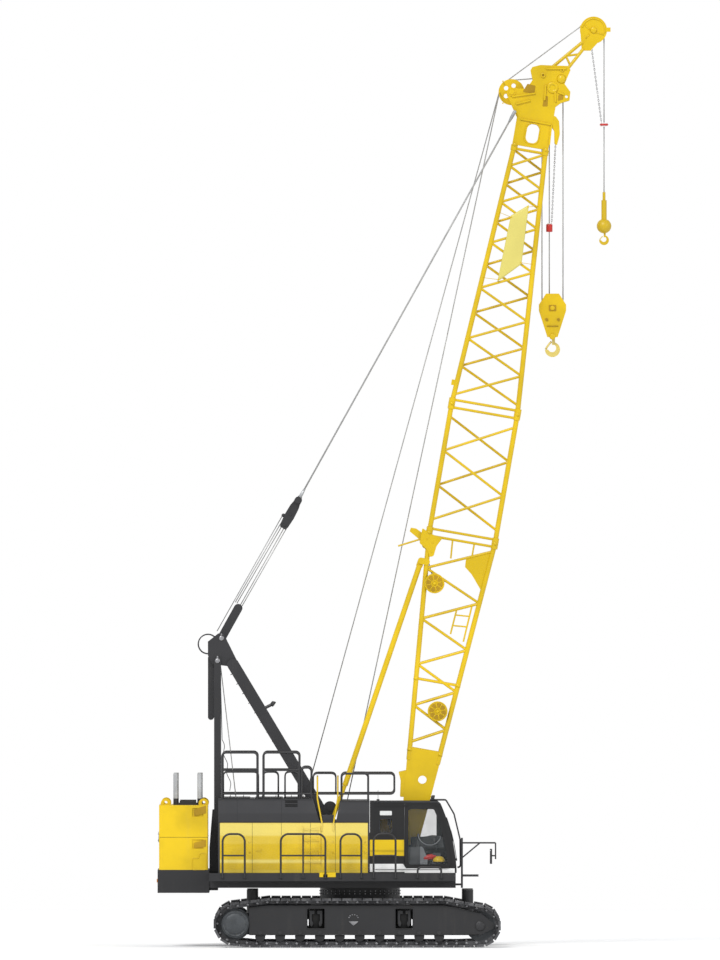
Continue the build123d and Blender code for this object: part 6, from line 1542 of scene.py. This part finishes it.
@dataclass
class Gantry:
    """Gantry legs and head, boom stay with its spreaders, and the gantry's small fittings."""

    def sheaves(self) -> Grids:
        """Rope sheaves on the gantry's head pin: grooved turned wheels."""
        groove = ((0.0, -0.012), (0.094, -0.012), (0.094, -0.009), (0.078, 0.0), (0.094, 0.009), (0.094, 0.012),
                  (0.0, 0.012))
        for y in np.linspace(-150, 150, 5):
            yield turned(groove, at(GANTRY_HEAD[0], y, GANTRY_HEAD[1]), (0, 1, 0), 32)

    def pins(self) -> Grids:
        """Pin heads with keeper plates at the gantry's joints and the stay's ends."""
        for x, z, out in ((-3227, 7176, 474), (-3318, 6650, 553), (-3318, 2950, 553), (-757, 2889, 610)):
            for hand in SIDES:
                y = hand * out
                yield turned(pin_head(0.05, 0.058, 0.022, 0.008), at(x, y, z), (0, hand, 0), 28)
                yield block((x - 20, x + 20), (y, y + hand * 12), (z + 50, z + 110))
                yield drum(at(x, y + hand * 10, z + 85), (0, hand, 0), 0.011, 0.012, 6)

    def foot_lugs(self) -> Grids:
        """Upright lugs on the feet of the front legs: plates from the foot pin to a round eye with its pin."""
        foot, eye = (-757, 2889, 95), (-699, 3216, 155)
        shape = arc(eye, -0.1, pi + 0.1, 16) + arc(foot, pi + 0.1, 2 * pi - 0.1, 12)
        for hand in SIDES:
            yield plate(shape, hand * 555, hand * 0.03, 0.004)
            yield drum(at(eye[0], hand * 585, eye[1]), (0, hand, 0), 0.07, 0.02)

    def bridle_cheeks(self) -> Grids:
        """Spindle-shaped cheek plates of the upper bridle, with their pins."""
        shape = ((2.93, -0.07), (3.0, -0.1), (3.25, -0.118), (3.5, -0.108), (3.78, -0.045), (3.8, 0.0),
                 (3.78, 0.045), (3.5, 0.108), (3.25, 0.118), (3.0, 0.1), (2.93, 0.07))
        for hand in SIDES:
            y = hand * 0.236
            yield slab([on_stay(up, across, y) for up, across in shape], (0, hand * 0.014, 0), 0.003)
            yield drum(on_stay(3.2, 0.13, y), (0, -hand, 0), 0.045, 0.12, 20)
            for up in (3.02, 3.3, 3.7):
                yield drum(on_stay(up, 0, hand * 0.25), (0, hand, 0), 0.035, 0.016, 16)

    def cable(self) -> Grids:
        """Thin lamp cable down the gantry's rear leg, in slack waves between its clips."""
        z = np.linspace(4800, 3620, 60)
        x = -3204 + (4800 - z) * 0.167 + 26 * np.sin((4800 - z) / 70)
        yield bar([(-3255, 6500), (-3232, 5700), (-3210, 4800), *zip(x, z)], -480, 0.008)

    def rungs(self) -> Grids:
        """Rungs on the inside of the right front leg, up to the head."""
        foot, knee = np.array(at(-757, -445, 2889)), np.array(at(-3040, -445, 6560))
        way = unit(knee - foot)
        side = np.array([way[2], 0.0, -way[0]]) * 0.1
        for share in np.linspace(0.1, 0.95, 15):
            middle = foot + (knee - foot) * share
            yield tube([middle + side * across + [0, y, 0]
                        for across, y in ((-1, -0.02), (-1, 0.13), (1, 0.13), (1, -0.02))], 0.009)

    def build(self) -> None:
        """Makes the fittings and dresses the nodes."""
        dress(Finish.DARK_PAINT, "gantry_rear_legs", "gantry_front_legs", "gantry_head", "lower_spreader",
              "upper_bridle")
        dress(Finish.MACHINERY, "luffing_drum", "hoist_drum_front", "hoist_drum_rear")
        fit("stay_sheaves", self.sheaves(), Finish.MACHINERY, "stay_arm", "machinery")
        fit("bridle_cheeks", self.bridle_cheeks(), Finish.DARK_PAINT, "stay_rods", "dark_paint")
        fit("gantry_pins", self.pins(), Finish.BOLT_STEEL, "upper", "post_steel")
        fit("gantry_foot_lugs", self.foot_lugs(), Finish.DARK_PAINT, "upper", "dark_paint")
        fit("gantry_cable", self.cable(), Finish.RUBBER, "upper", "console_plastic")
        fit("gantry_rungs", self.rungs(), Finish.DARK_PAINT, "upper", "dark_paint")


# ------------------------------------------------------------------ boom
@dataclass
class Boom:
    """Lattice boom, head and auxiliary jib: paint, pins, banner, reels' cable and the boom's small fittings."""

    base: float = 7620.0
    insert: float = 10668.0
    tip: float = 16858.0
    half: float = 660.0
    depth: float = 776.0
    foot_depth: float = 147.0
    head_half: float = 325.0
    head_depth: float = 367.0
    reels: tuple[Place, ...] = ((3545, 128), (6467, -453))
    reel_out: float = -782.0
    root_out: float = 700.0
    head_out: float = 350.0
    aux_out: float = 100.0
    banner: tuple[Place, ...] = ((15528, 201), (15210, -173), (13631, -219), (14137, 267))
    banner_out: float = 62.0
    banner_bow: float = 12.0
    banner_thick: float = 0.006
    rib_half: float = 17.0
    rib_rise: float = 0.035
    head_ribs: tuple[tuple[Place, Place], ...] = (
        ((3630, 19619), (3963, 19700)), ((3540, 19790), (4090, 19870)), ((4300, 19700), (4330, 20060)),
        ((4560, 19660), (4540, 19900)), ((4600, 19900), (4750, 19835)), ((4330, 20440), (4810, 20440)),
        ((3730, 19269), (4460, 19136)), ((4462, 19130), (4411, 18660)))

    def taper(self, u: Any) -> Any:
        """How far up the boom's tapered tip a station is, from 0 at its foot to 1 at its end."""
        return np.clip((u - self.insert) / (self.tip - self.insert), 0, 1)

    def width_at(self, u: Any) -> Any:
        """Half the boom's width between chord centres at a station."""
        return self.half - (self.half - self.head_half) * self.taper(u)

    def depth_at(self, u: Any) -> Any:
        """Half the boom's depth between chord centres at a station, from the base's end up."""
        return self.depth - (self.depth - self.head_depth) * self.taper(u)

    def banner_panel(self) -> Grids:
        """Bare panel on the boom's near side: straight between four corners, a little proud in its middle."""
        corner = np.array(self.banner, float)
        s, t = np.linspace(0, 1, 25)[:, None, None], np.linspace(0, 1, 17)[None, :, None]
        plan = (1 - s) * ((1 - t) * corner[0] + t * corner[1]) + s * ((1 - t) * corner[3] + t * corner[2])
        u, v = plan[..., 0], plan[..., 1]
        bow = self.banner_bow * (np.sin(pi * s) * np.sin(pi * t))[..., 0]
        front = np.stack(on_boom(u, v, -(self.width_at(u) + self.banner_out + bow)), -1)
        through = np.array([0.0, self.banner_thick, 0.0])
        yield Grid(front, round_columns=False, cap=False)
        yield Grid((front + through)[::-1], round_columns=False, cap=False)
        edges = (front[0], front[:, -1], front[-1][::-1], front[:, 0][::-1])
        rim = np.concatenate([edge[:-1] for edge in edges])
        yield Grid(np.stack([rim, rim + through]), cap=False)

    def banner_clips(self) -> Grids:
        """Clips and hooked bands that hold the banner to the chords and lacing."""
        middle = np.array(self.banner, float).mean(0)
        for u, v in self.banner:
            y = -(self.width_at(u) + self.banner_out + 4)
            clip = on_boom(*(middle + (np.array([u, v]) - middle) * 0.94), y)
            yield drum(clip, (0, -1, 0), 0.02, 0.01, 12)
            yield tube([clip, on_boom(u + 40, np.sign(v) * (self.depth_at(u) + 30), y + 20)], 0.006)

    def section_pins(self) -> Grids:
        """Connecting pins through the sections' lugs, each with a head and a tapered nose."""
        profile = ((0.0, 0), (0.03, 0.0), (0.034, 0.006), (0.034, 0.024), (0.026, 0.028), (0.026, 0.182),
                   (0.018, 0.208), (0.0, 0.21))
        for u in (self.base, self.insert, self.tip):
            for front in (-1, 1):
                for left in SIDES:
                    centre = on_boom(u, front * self.depth_at(u), left * self.width_at(u) - 105)
                    yield turned(profile, centre, (0, 1, 0), 18)

    def chord_collars(self) -> Grids:
        """Ends of the lacing: small collars where the cross frames meet the chords."""
        for u in (2560, 4214, 7540, 7710, 10578, 10758, 16768):
            depth = self.depth_at(u)
            if u < self.base:
                depth = self.foot_depth + (self.depth - self.foot_depth) * u / self.base
            for front in (-1, 1):
                for left in SIDES:
                    yield tube([on_boom(u + end, front * depth, left * self.width_at(u)) for end in (-40, 40)],
                               0.061, 20)

    def bracket_plates(self) -> Grids:
        """Plates on the rear chords beside the backstops' upper ends."""
        shape = ((1456, 9739), (1666, 9600), (1922, 9506), (1782, 9320), (1713, 9087), (1619, 9064),
                 (1573, 9227), (1386, 9390))
        for hand in SIDES:
            yield plate(shape, hand * 719, hand * 0.014, 0.003, 30, 4)
            for x, z in ((1560, 9480), (1690, 9400), (1660, 9180)):
                yield drum(at(x, hand * 731, z), (0, hand, 0), 0.018, 0.014, 6)

    def foot_heads(self) -> Grids:
        """Boom foot pins' outer heads with their bolts."""
        for hand in SIDES:
            centre = at(1072, hand * 765, 2004)
            yield turned(pin_head(0.07, 0.08), centre, (0, hand, 0), 32)
            yield from bolts(centre, hand, 0.056, 6, (0.009, 0.01), 0.028)

    def reel_faces(self) -> Grids:
        """Rim, hub and spokes standing out of each cable reel's face."""
        for u, v in self.reels:
            centre = on_boom(u, v, self.reel_out)
            for radius in (0.222, 0.052):
                yield tube([beside(centre, radius, turn) for turn in ring(36)], 0.011, 8, closed=True)
            for turn in ring(8, 0.2):
                yield tube([beside(centre, radius, turn, -0.002) for radius in (0.05, 0.218)], 0.009)
            yield drum(beside(centre, 0.0, 0.0, 0.004), (0, -1, 0), 0.036, 0.03, 20)

    def reel_openings(self) -> Grids:
        """Windows between the spokes, with the wound cable behind them: thin wedge plates in brown painted
        shade.
        """
        wedge = ((0.085, -0.2), (0.19, -0.3), (0.2, 0.0), (0.19, 0.3), (0.085, 0.2))
        for u, v in self.reels:
            centre = on_boom(u, v, self.reel_out + 0.5)
            for turn in ring(8, 0.2 + pi / 8):
                path = [beside(centre, radius, turn + lean) for radius, lean in wedge]
                yield slab(path, (0, -0.004, 0), 0.0015)

    def reel_cable(self) -> Grids:
        """Cable wound on the boom's reels, and its run up the boom to the head."""
        share = np.linspace(0, 5, 31)
        profile = np.stack([0.19 + 0.01 * scallops(share), 0.015 + 0.018 * share], -1)
        for u, v in self.reels:
            yield turned(profile, on_boom(u, v, self.reel_out + 5), (0, 1, 0), 32)
        run = [on_boom(u, -self.depth_at(u), 90 - self.width_at(u)) for u in np.linspace(7800, 16780, 12)]
        yield tube([on_boom(6640, -540, -700), on_boom(7000, -700, -600), *run], 0.008)

    def root_borders(self) -> Grids:
        """Raised edge round the boom root's side plates."""
        for hand in SIDES:
            corners = ((250, -120), (930, -178), (930, 178), (250, 120))
            yield tube([on_boom(u, v, hand * self.root_out) for u, v in corners], 0.012, closed=True)

    def root_wings(self) -> Grids:
        """Stiffening wings behind the boom root's side plates: they widen it towards the rear."""
        shape = ((1090, 4100), (900, 4058), (948, 3854), (932, 3484), (1120, 3470))
        for hand in SIDES:
            yield plate(shape, hand * (self.root_out - 30), hand * 0.02, 0.004, 24)

    def head_relief(self) -> Grids:
        """Beads, ribs and bosses on both cheeks of the boom head."""
        opening = rounded(((16940, -180), (16940, 158), (17416, 158), (17416, -180)), 140, 9)
        dome = ((0.0, 0.06), (0.05, 0.052), (0.09, 0.03), (0.11, 0.0))
        for hand in SIDES:
            y = hand * self.head_out
            for x, z, radius in ((4266, 20285, 0.06), (4709, 20411, 0.045), (4485, 19999, 0.13)):
                boss = ((0.45 * radius, 0.004), (0.45 * radius, 0.03), (0.9 * radius, 0.03), (radius, 0.02),
                        (radius, -0.002))
                yield turned(boss, at(x, y, z), (0, hand, 0), 28)
            yield turned(dome, at(4692, y, 20200), (0, hand, 0), 32)
            for low, high in np.array(self.head_ribs, float):
                side = unit(high - low)[::-1] * (-self.rib_half, self.rib_half)
                yield plate((low - side, high - side, high + side, low + side), y, hand * self.rib_rise, 0.006)
            yield tube([on_boom(u, v, y) for u, v in opening], 0.016, 8, closed=True)

    def head_shade_patches(self) -> Grids:
        """Painted shade in the pockets between the head's cheek ribs and in the bores of two bosses."""
        for hand in SIDES:
            y = hand * self.head_out
            for shape in (((3790, 19900), (4060, 19850), (4090, 20040), (3900, 20090)),
                          ((4250, 19560), (4370, 19560), (4380, 19800), (4290, 19800)),
                          ((4610, 19690), (4735, 19720), (4730, 19850), (4620, 19820))):
                yield plate(shape, y, hand * 0.005, 0.002, 25)
            for x, z in ((4266, 20285), (4709, 20411)):
                yield drum(at(x, y, z), (0, hand, 0), 0.022, 0.008, 16)

    def aux_relief(self) -> Grids:
        """Edge beads, ribs and the pin boss on both cheeks of the auxiliary jib's head."""
        x, z, _ = JIB_SHEAVE
        boss = ((0.0, 0.03), (0.06, 0.03), (0.072, 0.018), (0.072, -0.002))
        for hand in SIDES:
            y = hand * self.aux_out
            yield bar(arc((x, z, 268), -0.25, 2.9, 30), y, 0.016, 8)
            yield turned(boss, at(x, y, z), (0, hand, 0), 28)
            for rib in (((-60, -30), (-215, 130)), ((40, -50), (235, -110)), ((-90, -90), (-180, -190))):
                yield bar([(x + ahead, z + up) for ahead, up in rib], y, 0.014, 8)

    def head_fittings(self) -> Grids:
        """Rope guards over the head's wheels, bolts round its bosses and the hanging bracket in front."""
        bracket = ((4395, 19360), (4560, 19330), (4640, 19215), (4655, 18910), (4590, 18660), (4530, 18690),
                   (4525, 18990), (4400, 19180))
        for y in (-345, 305):
            yield plate(bracket, y, 0.04, 0.004, 24)
        yield tube([at(4590, y, 18760) for y in (-325, 325)], 0.02, 12)
        for x, z, _ in (IDLER, POINT_SHEAVE):
            for hand in SIDES:
                yield from bolts(at(x, hand * 362, z), hand, 0.084, 8, (0.011, 0.012))
        for x, z in ((3330, 20150), (3245, 19900), (3330, 19640), (4730, 20230)):
            yield tube([at(x, y, z) for y in (-300, 300)], 0.016, 10)

    def build(self) -> None:
        """Makes the fittings and dresses the nodes."""
        dress(Finish.YELLOW_PAINT, "boom_base", "boom_insert", "boom_tip", "boom_head", "aux_jib", "backstops",
              "head_idler")
        dress(Finish.MACHINERY, "point_sheaves", "aux_sheave")
        yellow = "yellow_paint"
        for name, grids, finish, body, slot in (
                ("boom_banner", self.banner_panel(), Finish.BANNER, "boom", yellow),
                ("banner_clips", self.banner_clips(), Finish.YELLOW_PAINT, "boom", "post_steel"),
                ("section_pins", self.section_pins(), Finish.YELLOW_PAINT, "boom", "post_steel"),
                ("chord_collars", self.chord_collars(), Finish.YELLOW_PAINT, "boom", yellow),
                ("bracket_plates", self.bracket_plates(), Finish.YELLOW_PAINT, "boom", yellow),
                ("boom_foot_heads", self.foot_heads(), Finish.BOLT_STEEL, "upper", "post_steel"),
                ("reel_cable", self.reel_cable(), Finish.RUBBER, "boom", "console_plastic"),
                ("reel_faces", self.reel_faces(), Finish.YELLOW_PAINT, "boom", yellow),
                ("reel_openings", self.reel_openings(), Finish.SHADE_BROWN, "boom", ""),
                ("root_wings", self.root_wings(), Finish.YELLOW_PAINT, "boom", yellow),
                ("root_borders", self.root_borders(), Finish.YELLOW_PAINT, "boom", yellow),
                ("head_relief", self.head_relief(), Finish.YELLOW_PAINT, "boom", yellow),
                ("head_shade_patches", self.head_shade_patches(), Finish.SHADE_BROWN, "boom", ""),
                ("aux_head_relief", self.aux_relief(), Finish.YELLOW_PAINT, "boom", yellow),
                ("head_fittings", self.head_fittings(), Finish.YELLOW_PAINT, "boom", yellow)):
            fit(name, grids, finish, body, slot)


# ------------------------------------------------------------------ hooks
def chain(start: Point, end: Point, pitch: float = 0.045, wire: float = 0.006) -> Grids:
    """Oval links from one point to another, each a quarter turn from the last.

    A link is a tube round a stretched circle: a cosine along the chain and a sine across it.

    Args:
        start: where the chain starts.
        end: where it ends.
        pitch: distance from link to link.
        wire: radius of the links' wire.

    Returns:
        One surface for each link.
    """
    low, run = np.array(start), np.array(end) - np.array(start)
    way = unit(run)
    sides = frame_of(way)
    count = max(2, int(np.linalg.norm(run) / pitch))
    angle, turn = ring(10), ring(5)[None, :, None]
    for index in range(count):
        across = sides[1 - index % 2]
        middle = low + run * (index + 0.5) / count
        oval = (middle + np.outer(np.cos(angle) * pitch * 0.68, way)
                + np.outer(np.sin(angle) * pitch * 0.36, across))
        line = unit(np.roll(oval, -1, 0) - np.roll(oval, 1, 0))
        side = np.cross(way, across)
        wires = side * np.cos(turn) + np.cross(line, side)[:, None] * np.sin(turn)
        yield Grid(oval[:, None] + wire * wires, round_rows=True)


@dataclass
class Hooks:
    """Hook block, hooks and the hoist-limit weights on their chains."""

    main_weight: Place = (4411.0, 16729.0)
    aux_weight: Place = (5686.4, 19139.0)
    block_out: float = 160.0
    hole: float = 0.022

    def limit_weight(self, place: Place, up: float, outer: float, half: float) -> Grids:
        """A weight with a hole for the rope: an outline round the hole's edge turned about the rope.

        Args:
            place: middle of the weight it belongs to.
            up: how far above that it is, in millimetres.
            outer: its radius.
            half: half its height.

        Yields:
            Its one surface.
        """
        outline = ((self.hole, -half), (outer - 0.01, -half), (outer, -half + 0.01), (outer, half - 0.01),
                   (outer - 0.01, half), (self.hole, half))
        grid = turned(outline, at(place[0], 0, place[1] + up), (0, 0, 1), 32)
        grid.round_rows = True
        yield grid

    def limit_gear(self) -> None:
        """Both hoist-limit weights, their bands and their chains."""
        main, aux = self.main_weight, self.aux_weight
        for name, place, up, outer, half, finish, body in (
                ("main_limit_weight", main, 0, 0.075, 0.09, Finish.RED_PAINT, "main_line"),
                ("main_limit_cap", main, 100, 0.05, 0.012, Finish.WHITE_PAINT, "main_line"),
                ("aux_limit_weight", aux, 0, 0.1, 0.02, Finish.RED_PAINT, "aux_line"),
                ("aux_limit_cap", aux, 33, 0.085, 0.013, Finish.WHITE_PAINT, "aux_line"),
                ("aux_limit_base", aux, -33, 0.085, 0.013, Finish.WHITE_PAINT, "aux_line")):
            fit(name, self.limit_weight(place, up, outer, half), finish, body)
        for name, body, start, end in (
                ("main_limit_chain", "main_line", at(4560, 0, 18776), at(main[0] + 55, 0, main[1] + 108)),
                ("aux_limit_chain", "aux_line", at(5394, 0, 20947), at(aux[0] - 60, 0, aux[1] + 46))):
            links = surface(name, chain(start, end), Finish.CHAIN_STEEL)
            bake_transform(links)
            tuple(start)
            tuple(end)

    def block_covers(self) -> Grids:
        """The pins' covers on the main block's cheeks, with the lower one's bolts."""
        low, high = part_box("main_block")
        for hand in SIDES:
            for z, size, count in ((14.8645, 0.055, 0), (14.2, 0.07, 6)):
                centre = ((low.x + high.x) / 2, hand * self.block_out * MM, z)
                yield turned(pin_head(size - 0.02, size, foot=-0.004), centre, (0, hand, 0), 32)
                yield from bolts(centre, hand, size - 0.03, count, (0.009, 0.01), 0.016)

    def block_shade_marks(self) -> Grids:
        """Square keeper pocket, two bolt heads and a seam on each of the block's cheeks, all in brown painted
        shade.
        """
        x, z, _ = BLOCK_SHEAVE
        for hand in SIDES:
            y = hand * self.block_out
            yield plate(rect(x - 85, x + 85, z - 70, z + 70), y, hand * 0.012, 0.003, 20)
            for side in (-1, 1):
                yield drum(at(x + side * 136, y, 14597), (0, hand, 0), 0.034, 0.022, 16)
            yield block((4350, 4620), (y, y + hand * 24), (14440, 14452))

    def block_turns(self) -> Grids:
        """Rope under the block's sheaves."""
        x, z, radius = BLOCK_SHEAVE
        for y in (-60, 60):
            yield tube(wrap(BLOCK_SHEAVE, (x - radius, z), (x + radius, z), y, 1), ROPE, 10)

    def latches(self) -> None:
        """Spring latches across both hooks' mouths: a strip that bows between the shank and the tip."""
        share = np.linspace(0, 1, 9)
        for name, body, shank, tip, wide in (
                ("main_hook_latch", "main_hook", (4462, 14085), (4325, 13905), 0.024),
                ("aux_hook_latch", "aux_hook", (5655, 16535), (5585, 16450), 0.012)):
            x = shank[0] + (tip[0] - shank[0]) * share
            z = shank[1] + (tip[1] - shank[1]) * share + 14 * np.sin(pi * share)
            fit(name, [bar(zip(x, z), 0, wide, 8)], Finish.HOOK_STEEL, body)

    def build(self) -> None:
        """Makes the fittings and dresses the nodes."""
        dress(Finish.YELLOW_PAINT, "main_block")
        dress(Finish.HOOK_STEEL, "main_hook")
        dress(Finish.BALL_HOOK, "ball_hook")
        self.limit_gear()
        fit("block_covers", self.block_covers(), Finish.YELLOW_PAINT, "hook_block", "yellow_paint")
        fit("block_shade_marks", self.block_shade_marks(), Finish.SHADE_BROWN, "hook_block")
        fit("block_rope_turns", self.block_turns(), Finish.WIRE, "hook_block", "rope_steel")
        self.latches()


# ------------------------------------------------------------------ studio
@dataclass
class Studio:
    """Plain pale floor, white surround, soft lamps and the camera, square to the crane's right side."""

    lens: float = 1200.0
    sensor: float = 36.0
    view_height: float = 22.37
    under_ground: float = 0.326
    floor_half: float = 60.0
    floor_colour: Colour = (0.96, 0.96, 0.96)
    world_light: float = 0.52
    sun: float = 1.75

    def floor(self) -> None:
        """A wide level floor a little under the soles, which takes the crane's shadow."""
        half = self.floor_half
        points = np.array([[(-half, -half, 0), (half, -half, 0)], [(-half, half, 0), (half, half, 0)]], float)
        shader = Shader("studio_floor")
        tone = shader.blend(shader.noise(0.4), self.floor_colour, scaled(self.floor_colour, 1.03))
        shader.finish(Base_Color=tone, Roughness=0.8, Emission_Color=(1.0, 1.0, 1.0, 1.0),
                      Emission_Strength=0.16)
        piece = surface("studio_floor", [Grid(points, round_columns=False, cap=False)], Finish.WHITE_PAINT)
        piece.data.materials.clear()
        piece.data.materials.append(shader.material)

    def world(self) -> None:
        """White where the camera, a reflection or a pane sees it, and an even soft light for the crane."""
        world = bpy.data.worlds.new("studio_sky")
        bpy.context.scene.world = world
        nodes = Nodes(world)
        rays = nodes.node("ShaderNodeLightPath").outputs
        through = nodes.math("MAXIMUM", rays["Is Transmission Ray"], rays["Is Glossy Ray"])
        seen = nodes.math("MAXIMUM", rays["Is Camera Ray"], through)
        shades = (((0.95, 0.97, 1.0), self.world_light), ((1.0, 1.0, 1.0), 1.0))
        light, white = (nodes.node("ShaderNodeBackground", sockets={"Color": colour, "Strength": strength})
                        for colour, strength in shades)
        mix = nodes.node("ShaderNodeMixShader", sockets={0: seen, 1: light.outputs[0], 2: white.outputs[0]})
        nodes.node("ShaderNodeOutputWorld", sockets={"Surface": mix.outputs[0]})

    def lamps(self) -> None:
        """A soft high sun from behind the camera's left, and a weak one from its right."""
        for name, strength, way in (("key_light", self.sun, (0.35, 0.8, -0.75)),
                                    ("fill_light", self.sun * 0.3, (-0.8, 0.7, -0.3))):
            lamp = bpy.data.lights.new(name, "SUN")
            lamp.energy = strength
            lamp.angle = radians(18)
            piece = bpy.data.objects.new(name, lamp)
            piece.rotation_euler = Vector(way).to_track_quat("-Z", "Y").to_euler()
            bpy.context.scene.collection.objects.link(piece)

    def camera(self) -> None:
        """A long lens level with the middle of the view."""
        low, high = CAD_BOX
        data = bpy.data.cameras.new("view")
        data.lens = self.lens
        data.sensor_fit = "VERTICAL"
        data.sensor_height = self.sensor
        data.clip_end = 2000.0
        distance = self.view_height * self.lens / self.sensor
        camera = bpy.data.objects.new("view", data)
        camera.location = (SLEW_X, -distance, self.view_height / 2 - self.under_ground)
        camera.rotation_euler = (pi / 2, 0.0, 0.0)
        bpy.context.scene.collection.objects.link(camera)
        bpy.context.scene.camera = camera
        LOG.info("camera %.1f m away, crane %.2f m high", distance, high.z - low.z)

    def build(self) -> None:
        """Makes the stage."""
        self.floor()
        self.world()
        self.lamps()
        self.camera()
        bpy.context.scene.view_settings.view_transform = "Standard"


def main() -> None:
    """Builds every sub-assembly in order."""
    logging.basicConfig(level=logging.INFO, format="%(message)s")
    parts = (Studio(), Undercarriage(), Houses(), Counterweight(), Cab(), Gantry(), Ropes(), Boom(), Hooks())
    for part in parts:
        part.build()
        LOG.info("%s done", type(part).__name__)
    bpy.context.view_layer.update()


if __name__ == "__main__":
    main()
